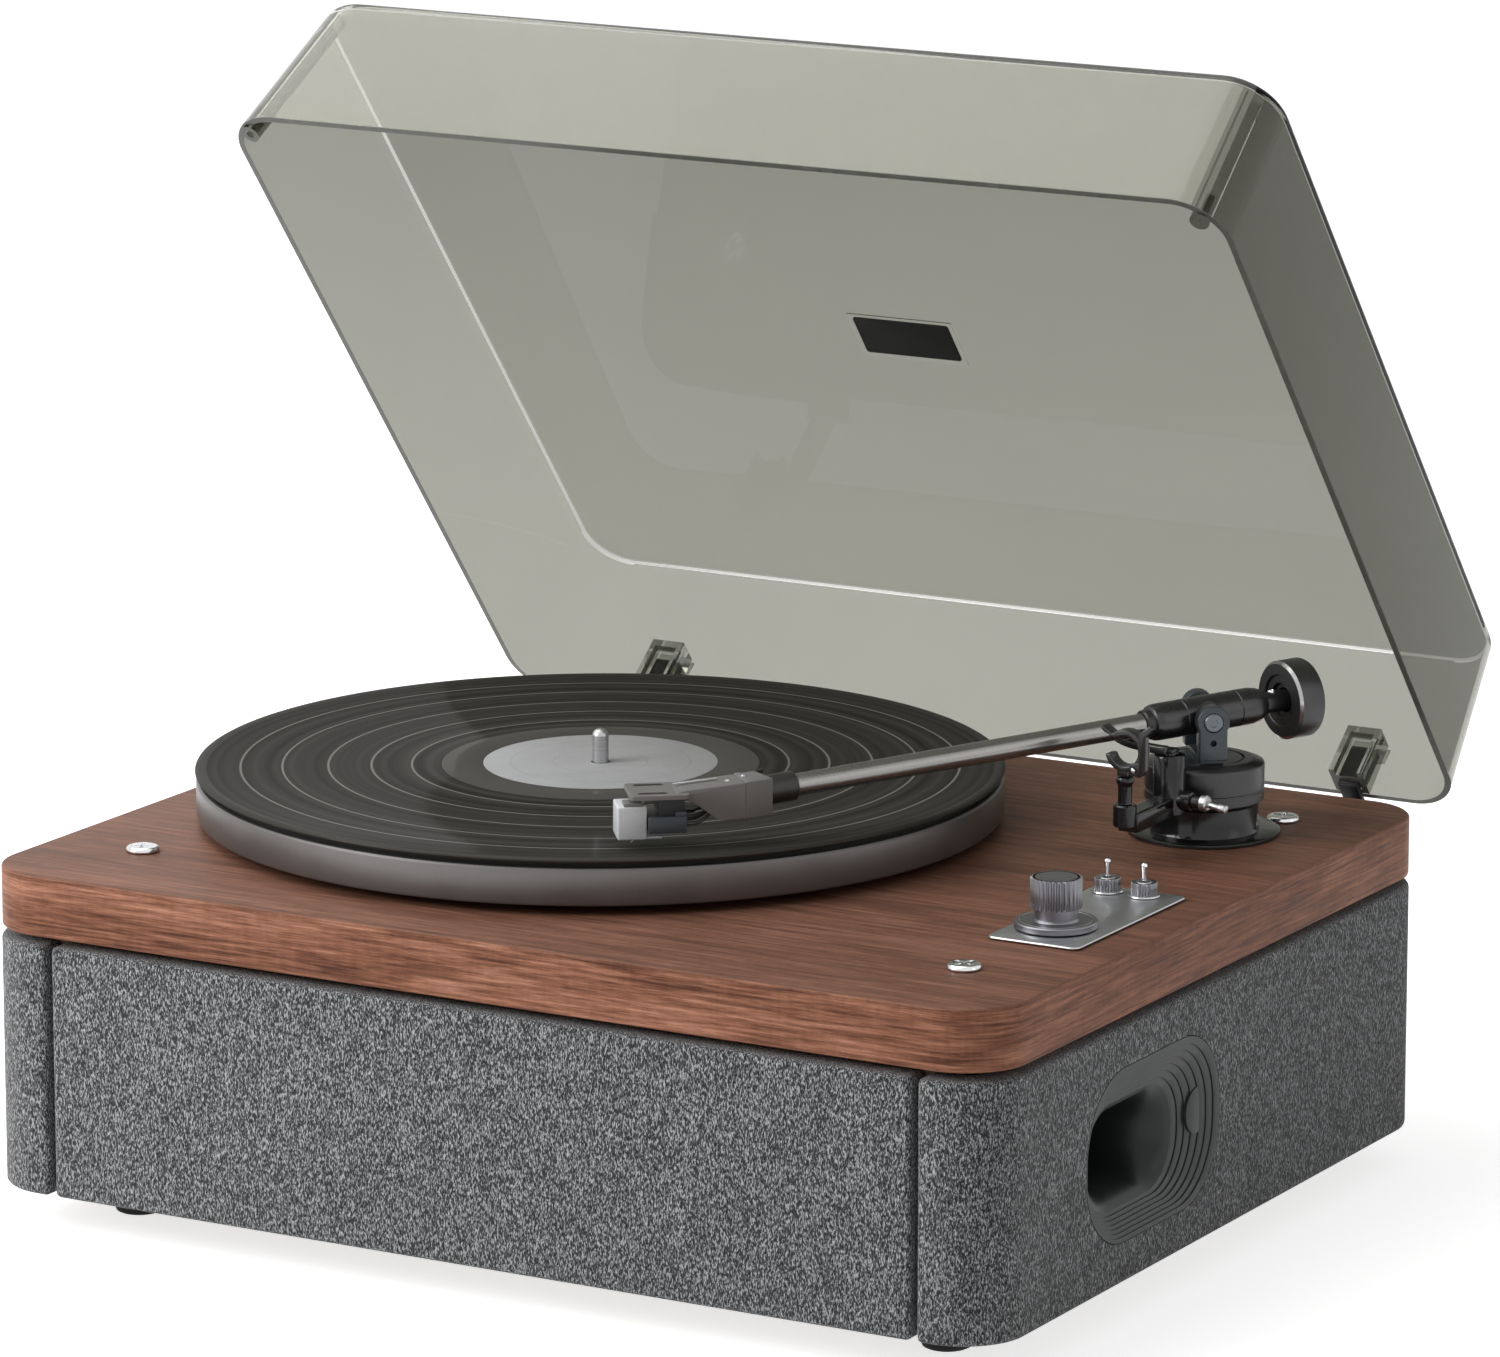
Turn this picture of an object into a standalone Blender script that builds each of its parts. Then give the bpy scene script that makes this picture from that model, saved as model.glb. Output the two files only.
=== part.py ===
"""Record player with built-in speakers: cabinet, deck, tonearm and opened dust cover, in metres with +Z up.

The row's origin is the centre of the base panel's underside. X runs to the right, Y to the back.
"""

import math

import bmesh
import bpy
from mathutils import Matrix, Vector

# Clearances between neighbouring pieces
SEAT_GAP = 0.0003
RUNNING_GAP = 0.0004

# Cabinet
CABINET_WIDTH = 0.4195
CABINET_DEPTH = 0.3461
CABINET_HEIGHT = 0.0953
CABINET_CORNER = 0.0243
CABINET_WALL = 0.0120
FABRIC_EDGE = 0.0020
SHELL_RETURN = 0.02975
SHELL_FRONT_END_X = CABINET_WIDTH / 2 - SHELL_RETURN
GRILLE_SIDE_GAP = 0.0027
BAFFLE_THICKNESS = 0.0100
BAFFLE_INSET = 0.02275
BAFFLE_WIDTH = CABINET_WIDTH - 2 * BAFFLE_INSET
BASE_THICKNESS = 0.0090
BASE_CORNER = 0.0130
BACK_RECESS = 0.0045
BACK_THICKNESS = 0.0075
SHADOW_GAP = 0.0018
DECK_PLATE_WIDTH = 0.4100
DECK_PLATE_INSET_Y = 0.00415
DECK_PLATE_DEPTH = CABINET_DEPTH - 2 * DECK_PLATE_INSET_Y
BOARD_WIDTH = 0.4196
BOARD_INSET_Y = 0.0005
BOARD_DEPTH = CABINET_DEPTH - 2 * BOARD_INSET_Y
BOARD_THICKNESS = 0.0227
BOARD_EDGE = 0.0011
DECK_Z = CABINET_HEIGHT + SHADOW_GAP + BOARD_THICKNESS

# Feet and deck screws
FOOT_RADIUS = 0.0091
FOOT_HEIGHT = 0.0142
FOOT_EDGE = 0.0012
FOOT_INSET_X = 0.04075
FOOT_INSET_Y = 0.04305
FOOT_SPACING_X = CABINET_WIDTH - 2 * FOOT_INSET_X
FOOT_SPACING_Y = CABINET_DEPTH - 2 * FOOT_INSET_Y
DECK_SCREW_INSET_X = 0.0392
DECK_SCREW_X = BOARD_WIDTH / 2 - DECK_SCREW_INSET_X
DECK_SCREW_FRONT_Y = -0.1220
DECK_SCREW_BACK_Y = 0.1270
DECK_SCREW_RADIUS = 0.0062
DECK_SCREW_HEIGHT = 0.0030
DECK_SCREW_SLOT = 0.0013
DECK_SCREW_SHANK_RADIUS = 0.0026
DECK_SCREW_SHANK_LENGTH = 0.0150

# Speakers
DRIVER_INSET = 0.08575
DRIVER_X = CABINET_WIDTH / 2 - DRIVER_INSET
DRIVER_RADIUS = 0.0370
DRIVER_DEPTH = 0.0380
DRIVER_MAGNET_RADIUS = 0.0210
DRIVER_CONE_RADIUS = 0.0310
DRIVER_CONE_DEPTH = 0.0130
DRIVER_FLANGE = 0.0030
PORT_CENTRE_Y = -0.0527
PORT_CENTRE_Z = 0.0470
PORT_LENGTH_Y = 0.1026
PORT_HEIGHT = 0.0633
PORT_CORNER = 0.0290
PORT_MOUTH_Y = -0.0670
PORT_MOUTH_Z = 0.0468
PORT_MOUTH_LENGTH = 0.0651
PORT_MOUTH_HEIGHT = 0.0389
PORT_MOUTH_CORNER = 0.0165
PORT_TERRACES = 7
PORT_TERRACE_STEP = 0.0005
PORT_FLARE_DEPTH = 0.0300
PORT_THROAT_SHARE = 0.62
PORT_LENGTH = 0.0620
PORT_WALL = 0.0025
PORT_FLANGE_DEPTH = 0.0110
PORT_PAD_Y = -0.0172
PORT_PAD_Z = 0.0489
PORT_PAD_RADIUS = 0.0085
PORT_PAD_DEPTH = 0.0060

# Amplifier and rear jacks
AMPLIFIER_SIZE = (0.1100, 0.0700, 0.0016)
AMPLIFIER_CENTRE = (0.0600, 0.0900)
AMPLIFIER_LIFT = 0.0060
AMPLIFIER_PILLAR_RADIUS = 0.0030
HEAT_SINK_SIZE = (0.0600, 0.0180, 0.0240)
JACK_PLATE_SIZE = (0.1100, 0.0360, 0.0020)
JACK_PLATE_X = -0.0500
JACK_PLATE_Z = 0.0400
JACK_SPACING = 0.0200
JACK_BARREL_RADIUS = 0.0044
JACK_BORE_RADIUS = 0.0018
JACK_BARREL_LENGTH = 0.0080
JACK_PLATE_TONGUE = 0.0060

# Platter and drive
PLATTER_X = -0.0525
PLATTER_Y = 0.0069
PLATTER_RADIUS = 0.1500
PLATTER_LIFT = 0.0035
PLATTER_HEIGHT = 0.0139
PLATTER_EDGE = 0.0010
PLATTER_RIM = 0.0120
PLATTER_MAT_RECESS_RADIUS = 0.1475
PLATTER_MAT_RECESS = 0.0010
MAT_RADIUS = 0.1470
MAT_THICKNESS = 0.0020
RECORD_RADIUS = 0.1504
RECORD_THICKNESS = 0.0021
RECORD_EDGE = 0.0006
SPINDLE_RADIUS = 0.00305
SPINDLE_TOP = 0.0338
SHAFT_RADIUS = 0.0040
SHAFT_LENGTH = 0.0460
BEARING_RADIUS = 0.0100
BEARING_FLANGE_RADIUS = 0.0200
BEARING_FLANGE = 0.0020
BEARING_FLOOR = 0.0030
SUB_PLATTER_RADIUS = 0.0620
SUB_PLATTER_RIM = 0.0080
MOTOR_DISTANCE = 0.1000
MOTOR_BEARING_DEG = 135.0
MOTOR_RADIUS = 0.0175
MOTOR_LENGTH = 0.0260
MOTOR_FLANGE_RADIUS = 0.0220
MOTOR_FLANGE = 0.0014
MOTOR_SHAFT_RADIUS = 0.0010
PULLEY_RADIUS = 0.0058
PULLEY_FLANGE_RADIUS = 0.0072
PULLEY_HEIGHT = 0.0074
BELT_WIDTH = 0.0044
BELT_THICKNESS = 0.0009

# Controls
CONTROL_PLATE_X = (0.1578, 0.1940)
CONTROL_PLATE_Y = (-0.0826, 0.0025)
CONTROL_PLATE_THICKNESS = 0.0014
CONTROL_PLATE_CHAMFER = 0.0030
CONTROL_POCKET_DEPTH = 0.0142
KNOB_X = 0.1740
KNOB_Y = -0.0602
KNOB_SKIRT_RADIUS = 0.0149
KNOB_SKIRT_HEIGHT = 0.0025
KNOB_NECK_RADIUS = 0.0076
KNOB_NECK_HEIGHT = 0.0052
KNOB_GRIP_RADIUS = 0.0093
KNOB_GRIP_HEIGHT = 0.0103
KNOB_RIBS = 30
KNOB_RIB_DEPTH = 0.0006
POT_RADIUS = 0.0082
POT_HEIGHT = 0.0090
POT_BUSH_RADIUS = 0.0035
POT_SHAFT_RADIUS = 0.0026
TOGGLES = {"left": (0.1659, -0.0055), "right": (0.1805, -0.0052)}
TOGGLE_BODY_SIZE = (0.0076, 0.0106, 0.0100)
TOGGLE_BUSH_RADIUS = 0.0030
TOGGLE_NUT_RADIUS = 0.0048
TOGGLE_NUT_HEIGHT = 0.0050
TOGGLE_NUT_RIBS = 20
TOGGLE_NUT_RIB_DEPTH = 0.0003
TOGGLE_CUP_RADIUS = 0.0021
TOGGLE_CUP_DEPTH = 0.0030
TOGGLE_LEVER_RADIUS = 0.0012
TOGGLE_LEVER_TOP = 0.0137

# Tonearm: the swing axis stands at the pivot, the rest pose plays the record
ARM_X = 0.1530
ARM_Y = 0.0967
ARM_FLANGE_RADIUS = 0.0283
ARM_FLANGE_HEIGHT = 0.0018
ARM_PILLAR_RADIUS = 0.0201
ARM_PILLAR_TOP = 0.0123
ARM_SLEEVE_RADIUS = 0.0095
ARM_SLEEVE_BORE = 0.0070
ARM_SLEEVE_LENGTH = 0.0200
COLLAR_RADIUS = 0.02215
COLLAR_SIDE_TOP = 0.0269
COLLAR_TOP = 0.0285
COLLAR_FLAT_RADIUS = 0.0182
YOKE_DISC_RADIUS = 0.0145
YOKE_DISC_THICKNESS = 0.0040
YOKE_SPINDLE_RADIUS = 0.0060
YOKE_SPINDLE_LENGTH = 0.0300
YOKE_FOOT_WIDTH = 0.0086
YOKE_FOOT_REACH = 0.0140
GIMBAL_RISE = 0.0448
GIMBAL_BEARING_DEG = -52.0
EAR_INNER = 0.0104
TRUNNION_REACH = 0.0100
TRUNNION_RADIUS = 0.0056
EAR_OUTER = 0.0163
EAR_WIDTH = 0.0105
EAR_RADIUS = 0.00605
EAR_DROP = 0.0144
EAR_HOLE_RADIUS = 0.0013
EAR_HOLE_DROP = 0.00765
EAR_HOLE_DEPTH = 0.0040
PIVOT_SCREW_RADIUS = 0.00345
PIVOT_SCREW_PROUD = 0.0006
PIVOT_SCREW_SEAT = 0.0030
ARM_BEARING_DEG = 240.5
ARM_SLOPE_DEG = 1.8
TUBE_RADIUS = 0.0041
TUBE_END = 0.1770
TUBE_COLLAR_RADIUS = 0.0054
TUBE_COLLAR_END = 0.1890
HOUSING_RADIUS = 0.00685
HOUSING_HALF = 0.0250
HOUSING_END_RADIUS = 0.0050
HOUSING_TAPER = 0.0035
FERRULE_RADIUS = 0.0052
FERRULE_LENGTH = 0.0030
STUB_RADIUS = 0.0040
STUB_END = -0.0400
WEIGHT_FRONT = -0.0330
WEIGHT_RADIUS = 0.0147
WEIGHT_LENGTH = 0.0110
WEIGHT_EDGE = 0.0006
WEIGHT_HUB_RADIUS = 0.0070
WEIGHT_HUB_LENGTH = 0.0020
WEIGHT_RECESS_RADIUS = 0.0095
WEIGHT_RECESS_DEPTH = 0.0008
WEIGHT_BORE_RADIUS = 0.0043
SHELL_BEND = 0.1990
SHELL_OFFSET_DEG = -22.5
SHELL_BLOCK_WIDTH = 0.0140
SHELL_BLOCK_TOP = 0.0064
SHELL_BLOCK_BOTTOM = -0.0072
SHELL_WEDGE_LENGTH = 0.0202
SHELL_WEDGE_FLAT = 0.0087
SHELL_WEDGE_NOSE_TOP = 0.0040
SHELL_PLATE_TOP = 0.0031
SHELL_PLATE_BOTTOM = 0.0012
SHELL_PLATE_END = 0.0405
SHELL_PLATE_WIDTH = 0.0195
SHELL_SLOT_SPACING = 0.0127
SHELL_SLOT_WIDTH = 0.0026
SHELL_SLOT_LENGTH = 0.0110
SHELL_SLOT_CENTRE = 0.0320
CARTRIDGE_REAR = 0.0205
CARTRIDGE_FRONT = 0.0338
CARTRIDGE_NECK_FRONT = 0.0300
CARTRIDGE_WIDTH = 0.0165
CARTRIDGE_STEP = -0.0051
CARTRIDGE_BOTTOM = -0.0113
STYLUS_FRONT = 0.0447
STYLUS_TOP = -0.0016
STYLUS_BOTTOM = -0.0138
STYLUS_WIDTH = 0.0135
STYLUS_EDGE = 0.0006
STYLUS_TIP_X = 0.0390
STYLUS_TIP_DROP = 0.0032
STYLUS_TIP_RADIUS = 0.0005

# Cueing and arm rest, offsets from the pivot
LIFT_Y = -0.0285
LIFT_CYLINDER_RADIUS = 0.0059
LIFT_CYLINDER_TOP = 0.0354
LIFT_BORE_RADIUS = 0.0031
LIFT_ROD_RADIUS = 0.0027
LIFT_ROD_LENGTH = 0.0120
LIFT_BAR_INNER = 0.0312
LIFT_BAR_OUTER = 0.0346
LIFT_BAR_TOP = 0.0392
LIFT_BAR_THICKNESS = 0.0030
LIFT_BAR_BEARINGS_DEG = (218.0, 272.0)
LIFT_BRIDGE_THICKNESS = 0.0014
LIFT_BRIDGE_LAP = 0.0006
BRACKET_BOTTOM = 0.0129
BRACKET_TOP = 0.0200
BRACKET_WIDTH = 0.0080
CUE_SHAFT_Z = 0.0185
CUE_SHAFT_RADIUS = 0.0022
CUE_BOSS_RADIUS = 0.0036
CUE_BOSS_END = 0.0095
CUE_CAP_RADIUS = 0.0030
CUE_CAP_X = (0.0130, 0.0160)
CUE_HANDLE_RADIUS = 0.0013
CUE_HANDLE_LENGTH = 0.0080
CUE_HANDLE_OFFSET = 0.0012
REST_X = -0.0012
REST_Y = -0.0615
REST_CUP_RADIUS = 0.0043
REST_CUP_BOTTOM = 0.0150
REST_CUP_TOP = 0.0233
REST_POST_RADIUS = 0.00335
REST_POST_TOP = 0.0337
CLIP_CENTRE_Z = 0.0428
CLIP_INNER = 0.0048
CLIP_OUTER = 0.0070
CLIP_WIDTH = 0.0056
CLIP_OPENING_DEG = 69.0
CLIP_FINGER_LENGTH = 0.0065
CLIP_STEM_WIDTH = 0.0044
LATCH_PIN_X = 0.0062
LATCH_PIN_Z = -0.0052
LATCH_PIN_RADIUS = 0.0010
LATCH_WIDTH = 0.0028
LATCH_OUTLINE = (
    (-0.0020, -0.0020), (0.0028, -0.0024), (0.0050, 0.0000), (0.0050, 0.0128), (0.0078, 0.0160),
    (0.0064, 0.0172), (0.0021, 0.0138), (0.0021, 0.0030), (-0.0018, 0.0020),
)

# Dust cover, in the closed position: distances from its back rim and up from the rim
COVER_OPEN_DEG = 51.0
COVER_SIDE_INSET = 0.00225
COVER_WIDTH = CABINET_WIDTH - 2 * COVER_SIDE_INSET
COVER_BACK_INSET = 0.0044
COVER_FRONT_INSET = 0.0044
COVER_DEPTH = CABINET_DEPTH - COVER_BACK_INSET - COVER_FRONT_INSET
COVER_HEIGHT = 0.0669
COVER_WALL = 0.0026
COVER_CORNER = 0.0205
COVER_TOP_EDGE = 0.0044
COVER_DRAFT_DEG = 4.85
COVER_BACK_Y = CABINET_DEPTH / 2 - COVER_BACK_INSET
COVER_RIM_LIFT = 0.0024
HINGE_INSET_LEFT = 0.0632
HINGE_INSET_RIGHT = 0.0451
SOCKETS = {"left": HINGE_INSET_LEFT - COVER_WIDTH / 2, "right": COVER_WIDTH / 2 - HINGE_INSET_RIGHT}
SOCKET_WIDTH = 0.0140
SOCKET_DEPTH = 0.0120
SOCKET_HEIGHT = 0.0196
SOCKET_RECESS_WIDTH = 0.0098
SOCKET_RECESS_DEPTH = 0.0030
SOCKET_RECESS_TOP = 0.0170
SOCKET_BORE_WIDTH = 0.0090
SOCKET_BORE_NEAR = 0.0056
SOCKET_BORE_FAR = 0.0098
SOCKET_BORE_TOP = 0.0160
POST_RADIUS = 0.0037
POST_BORE_RADIUS = 0.0018
POST_BORE_DEPTH = 0.0120
POST_INSET_X = 0.0095
POST_INSET_Y = 0.0088
POST_FOOT_CLEARANCE = 0.0008
PLATE_RECESS_SIZE = (0.0410, 0.0210)
PLATE_RECESS_DEPTH = 0.0006
PLATE_RECESS_FORWARD = 0.1650
PLATE_RECESS_X = -0.0015

# Hinges
PIVOT_REACH = 0.0031
PIVOT_DROP = 0.01723
PIVOT_Y = CABINET_DEPTH / 2 + PIVOT_REACH
PIVOT_Z = CABINET_HEIGHT - PIVOT_DROP
HINGE_ARM_WIDTH = 0.0084
HINGE_EYE_RADIUS = 0.0036
HINGE_LEG_FRONT = -0.00285
HINGE_LEG_BACK = 0.00250
HINGE_CRANK_THICKNESS = 0.0016
HINGE_PIN_RADIUS = 0.0014
HINGE_BORE_RADIUS = 0.0018
HINGE_LUG_GAP = 0.0005
HINGE_LUG_THICKNESS = 0.0030
HINGE_BRACKET_WIDTH = 0.0260
HINGE_BRACKET_HEIGHT = 0.0280
HINGE_BRACKET_THICKNESS = 0.0022

ROUND_STEPS = 24
ROD_STEPS = 20
SMALL_STEPS = 16
TINY_STEPS = 12
TIP_STEPS = 8
BASE_CORNER_STEPS = 6
LIFT_BAR_STEPS = 14
COVER_CORNER_STEPS = 8
COVER_EDGE_STEPS = 4
MERGE_DISTANCE = 0.00001
RIGHT_ANGLE_DEG = 90.0
JACK_MIDDLE = 1.5
JACK_BORE_SHARE = 0.8
PULLEY_FLANGE_SHARE = 0.125
DOME_WIDE_SHARE = 0.87
DOME_SHARE = 0.5
DOME_SLIM_SHARE = 0.14
LEVER_TIP_SHARE = 0.75
LEVER_CROWN_SHARE = 0.2
LEVER_WAIST_SHARE = 0.7
FINE_STEPS = 72
RING_STEPS = 44
PORT_CORNER_STEPS = 5
CABINET_CORNER_STEPS = 6

COLOURS = {
    "fabric": ((0.105, 0.108, 0.112), 0.95, 0.0),
    "walnut": ((0.235, 0.095, 0.052), 0.45, 0.0),
    "board": ((0.280, 0.200, 0.130), 0.80, 0.0),
    "dark_plate": ((0.050, 0.030, 0.022), 0.70, 0.0),
    "rubber": ((0.020, 0.020, 0.020), 0.85, 0.0),
    "chrome": ((0.780, 0.780, 0.780), 0.12, 1.0),
    "black_plastic": ((0.025, 0.026, 0.027), 0.38, 0.0),
    "port_plastic": ((0.050, 0.056, 0.058), 0.35, 0.0),
    "paper_cone": ((0.040, 0.040, 0.042), 0.90, 0.0),
    "circuit_board": ((0.020, 0.120, 0.060), 0.55, 0.0),
    "dark_aluminium": ((0.085, 0.080, 0.080), 0.40, 0.6),
    "plate_aluminium": ((0.520, 0.530, 0.540), 0.30, 0.9),
    "knob_aluminium": ((0.150, 0.155, 0.165), 0.32, 0.8),
    "steel": ((0.500, 0.500, 0.510), 0.30, 1.0),
    "mat_rubber": ((0.015, 0.015, 0.015), 0.80, 0.0),
    "vinyl": ((0.022, 0.020, 0.019), 0.28, 0.0),
    "belt_rubber": ((0.018, 0.018, 0.018), 0.60, 0.0),
    "arm_black": ((0.022, 0.023, 0.024), 0.34, 0.2),
    "arm_grey": ((0.210, 0.205, 0.200), 0.36, 0.8),
    "shell_grey": ((0.105, 0.100, 0.098), 0.48, 0.1),
    "screw_blue": ((0.190, 0.210, 0.230), 0.40, 0.6),
    "cartridge_blue": ((0.045, 0.058, 0.072), 0.45, 0.0),
    "stylus_white": ((0.620, 0.640, 0.660), 0.42, 0.0),
    "smoked_acrylic": ((0.360, 0.360, 0.320), 0.06, 0.0),
}

def clear_scene():
    """Remove every object that the session starts with."""
    for obj in list(bpy.data.objects):
        bpy.data.objects.remove(obj, do_unlink=True)

def new_collection(name, hidden=False):
    """Return a collection linked to the scene."""
    collection = bpy.data.collections.new(name)
    collection.hide_render = hidden
    bpy.context.scene.collection.children.link(collection)
    return collection

def surface(name):
    """Return the named material, made on first use from its colour, roughness and metallic value."""
    if name in bpy.data.materials:
        return bpy.data.materials[name]
    colour, roughness, metallic = COLOURS[name]
    material = bpy.data.materials.new(name)
    material.use_nodes = True
    shader = material.node_tree.nodes["Principled BSDF"]
    shader.inputs["Base Color"].default_value = (*colour, 1.0)
    shader.inputs["Roughness"].default_value = roughness
    shader.inputs["Metallic"].default_value = metallic
    material.diffuse_color = (*colour, 1.0)
    return material

def add_part(name, mesh, finish, location=(0, 0, 0), rotation=(0, 0, 0), parent=None):
    """Link a finished mesh as a part of the player."""
    mesh.name = name
    obj = bpy.data.objects.new(name, mesh)
    PARTS.objects.link(obj)
    obj.location = location
    obj.rotation_euler = rotation
    obj.parent = parent
    mesh.materials.clear()
    mesh.materials.append(surface(finish))
    return obj

def add_cutter(mesh, target, location=(0, 0, 0), rotation=(0, 0, 0), operation="DIFFERENCE"):
    """Cut a mesh out of a part, or join it on, with an exact boolean in the part's own frame."""
    count = len(target.modifiers)
    obj = bpy.data.objects.new(f"{target.name}_tool_{count}", mesh)
    CUTTERS.objects.link(obj)
    obj.hide_render = True
    obj.display_type = "WIRE"
    obj.location = location
    obj.rotation_euler = rotation
    obj.parent = target
    modifier = target.modifiers.new(f"{operation.lower()}_{count}", "BOOLEAN")
    modifier.operation = operation
    modifier.solver = "EXACT"
    modifier.object = obj
    return obj

def join_on(mesh, target, location=(0, 0, 0), rotation=(0, 0, 0)):
    """Join a mesh on to a part."""
    return add_cutter(mesh, target, location, rotation, "UNION")

def add_pivot(name, location, rotation=(0, 0, 0), parent=None):
    """Return an empty that carries the pieces of one moving body."""
    pivot = bpy.data.objects.new(name, None)
    pivot.empty_display_size = SPINDLE_RADIUS
    PARTS.objects.link(pivot)
    pivot.location = location
    pivot.rotation_euler = rotation
    pivot.parent = parent
    return pivot

def mesh_from(bm):
    """Turn a bmesh into a mesh with its faces outwards."""
    bmesh.ops.recalc_face_normals(bm, faces=bm.faces)
    mesh = bpy.data.meshes.new("shape")
    bm.to_mesh(mesh)
    bm.free()
    return mesh

def rounded_rectangle(width, depth, radius, steps=BASE_CORNER_STEPS, centre=(0, 0)):
    """Return a rounded rectangle's outline, anticlockwise from the right side's lower corner."""
    points = []
    corners = ((1, -1, -1), (1, 1, 0), (-1, 1, 1), (-1, -1, 2))
    for side_x, side_y, start in corners:
        corner_x = centre[0] + side_x * (width / 2 - radius)
        corner_y = centre[1] + side_y * (depth / 2 - radius)
        for step in range(steps + 1):
            angle = math.radians(RIGHT_ANGLE_DEG * (start + step / steps))
            points.append((corner_x + radius * math.cos(angle), corner_y + radius * math.sin(angle)))
    return points

def circle(radius, steps=ROUND_STEPS, centre=(0, 0)):
    """Return a circle's outline, anticlockwise."""
    angles = [math.tau * step / steps for step in range(steps)]
    return [(centre[0] + radius * math.cos(a), centre[1] + radius * math.sin(a)) for a in angles]

def ribbed_circle(radius, depth, ribs):
    """Return the outline of a ribbed grip: each rib has a crest and a groove of equal width."""
    points = []
    for step in range(ribs * 4):
        rib_radius = radius if step % 4 < 2 else radius - depth
        angle = math.tau * step / (ribs * 4)
        points.append((rib_radius * math.cos(angle), rib_radius * math.sin(angle)))
    return points

def prism(outline, bottom, top, edge=0.0, edge_steps=2):
    """Raise an outline without holes from bottom to top, with its end edges rounded if asked."""
    bm = bmesh.new()
    face = bm.faces.new([bm.verts.new((x, y, bottom)) for x, y in outline])
    raised = bmesh.ops.extrude_face_region(bm, geom=[face])
    moved = [item for item in raised["geom"] if isinstance(item, bmesh.types.BMVert)]
    bmesh.ops.translate(bm, vec=(0, 0, top - bottom), verts=moved)
    bmesh.ops.recalc_face_normals(bm, faces=bm.faces)
    if edge:
        flat = [e for e in bm.edges if abs(e.verts[0].co.z - e.verts[1].co.z) < MERGE_DISTANCE]
        bmesh.ops.bevel(bm, geom=flat, offset=edge, segments=edge_steps, profile=0.5, affect="EDGES")
    return mesh_from(bm)

def cylinder(radius, bottom, top, steps=ROUND_STEPS, edge=0.0):
    """Return an upright round rod."""
    return prism(circle(radius, steps), bottom, top, edge)

def block(size, centre=(0, 0, 0), edge=0.0):
    """Return a box about its centre."""
    bm = bmesh.new()
    bmesh.ops.create_cube(bm, size=1.0)
    bmesh.ops.scale(bm, vec=size, verts=bm.verts)
    if edge:
        bmesh.ops.bevel(bm, geom=bm.edges[:], offset=edge, segments=2, profile=0.5, affect="EDGES")
    bmesh.ops.translate(bm, vec=centre, verts=bm.verts)
    return mesh_from(bm)

def turned(profile, steps=ROUND_STEPS, bored=False):
    """Turn a profile of (radius, height) points about Z; a bored profile closes on itself."""
    bm = bmesh.new()
    verts = [bm.verts.new((radius, 0, height)) for radius, height in profile]
    edges = [bm.edges.new(pair) for pair in zip(verts, verts[1:])]
    if bored:
        edges.append(bm.edges.new((verts[-1], verts[0])))
    bmesh.ops.spin(
        bm, geom=verts + edges, cent=(0, 0, 0), axis=(0, 0, 1), angle=math.tau, steps=steps, use_merge=True
    )
    bmesh.ops.remove_doubles(bm, verts=bm.verts, dist=MERGE_DISTANCE)
    return mesh_from(bm)

def lofted(loops):
    """Join loops of equal length in a ring, the last back to the first."""
    bm = bmesh.new()
    rows = [[bm.verts.new(point) for point in loop] for loop in loops]
    count = len(rows[0])
    for row, following in zip(rows, rows[1:] + rows[:1]):
        for index in range(count):
            after = (index + 1) % count
            bm.faces.new((row[index], row[after], following[after], following[index]))
    return mesh_from(bm)

def plate(outlines, bottom, top):
    """Raise a flat outline with holes: the first outline is the rim, the others are the holes."""
    curve = bpy.data.curves.new("plate", "CURVE")
    curve.dimensions = "2D"
    curve.fill_mode = "BOTH"
    curve.extrude = (top - bottom) / 2
    for outline in outlines:
        spline = curve.splines.new("POLY")
        spline.points.add(len(outline) - 1)
        spline.use_cyclic_u = True
        for point, (x, y) in zip(spline.points, outline):
            point.co = (x, y, 0, 1)
    holder = bpy.data.objects.new("plate", curve)
    bpy.context.scene.collection.objects.link(holder)
    evaluated = holder.evaluated_get(bpy.context.evaluated_depsgraph_get())
    mesh = bpy.data.meshes.new_from_object(evaluated)
    bpy.data.objects.remove(holder, do_unlink=True)
    bm = bmesh.new()
    bm.from_mesh(mesh)
    bmesh.ops.remove_doubles(bm, verts=bm.verts, dist=MERGE_DISTANCE)
    bmesh.ops.translate(bm, vec=(0, 0, (top + bottom) / 2), verts=bm.verts)
    return mesh_from(bm)

def rod_between(start, end, radius, steps=ROUND_STEPS):
    """Return a round rod from one point to another."""
    start = Vector(start)
    direction = Vector(end) - start
    bm = bmesh.new()
    bmesh.ops.create_cone(
        bm, cap_ends=True, segments=steps, radius1=radius, radius2=radius, depth=direction.length
    )
    bmesh.ops.translate(bm, vec=(0, 0, direction.length / 2), verts=bm.verts)
    bmesh.ops.rotate(
        bm, cent=(0, 0, 0), matrix=direction.to_track_quat("Z", "Y").to_matrix(), verts=bm.verts
    )
    bmesh.ops.translate(bm, vec=start, verts=bm.verts)
    return mesh_from(bm)

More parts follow.
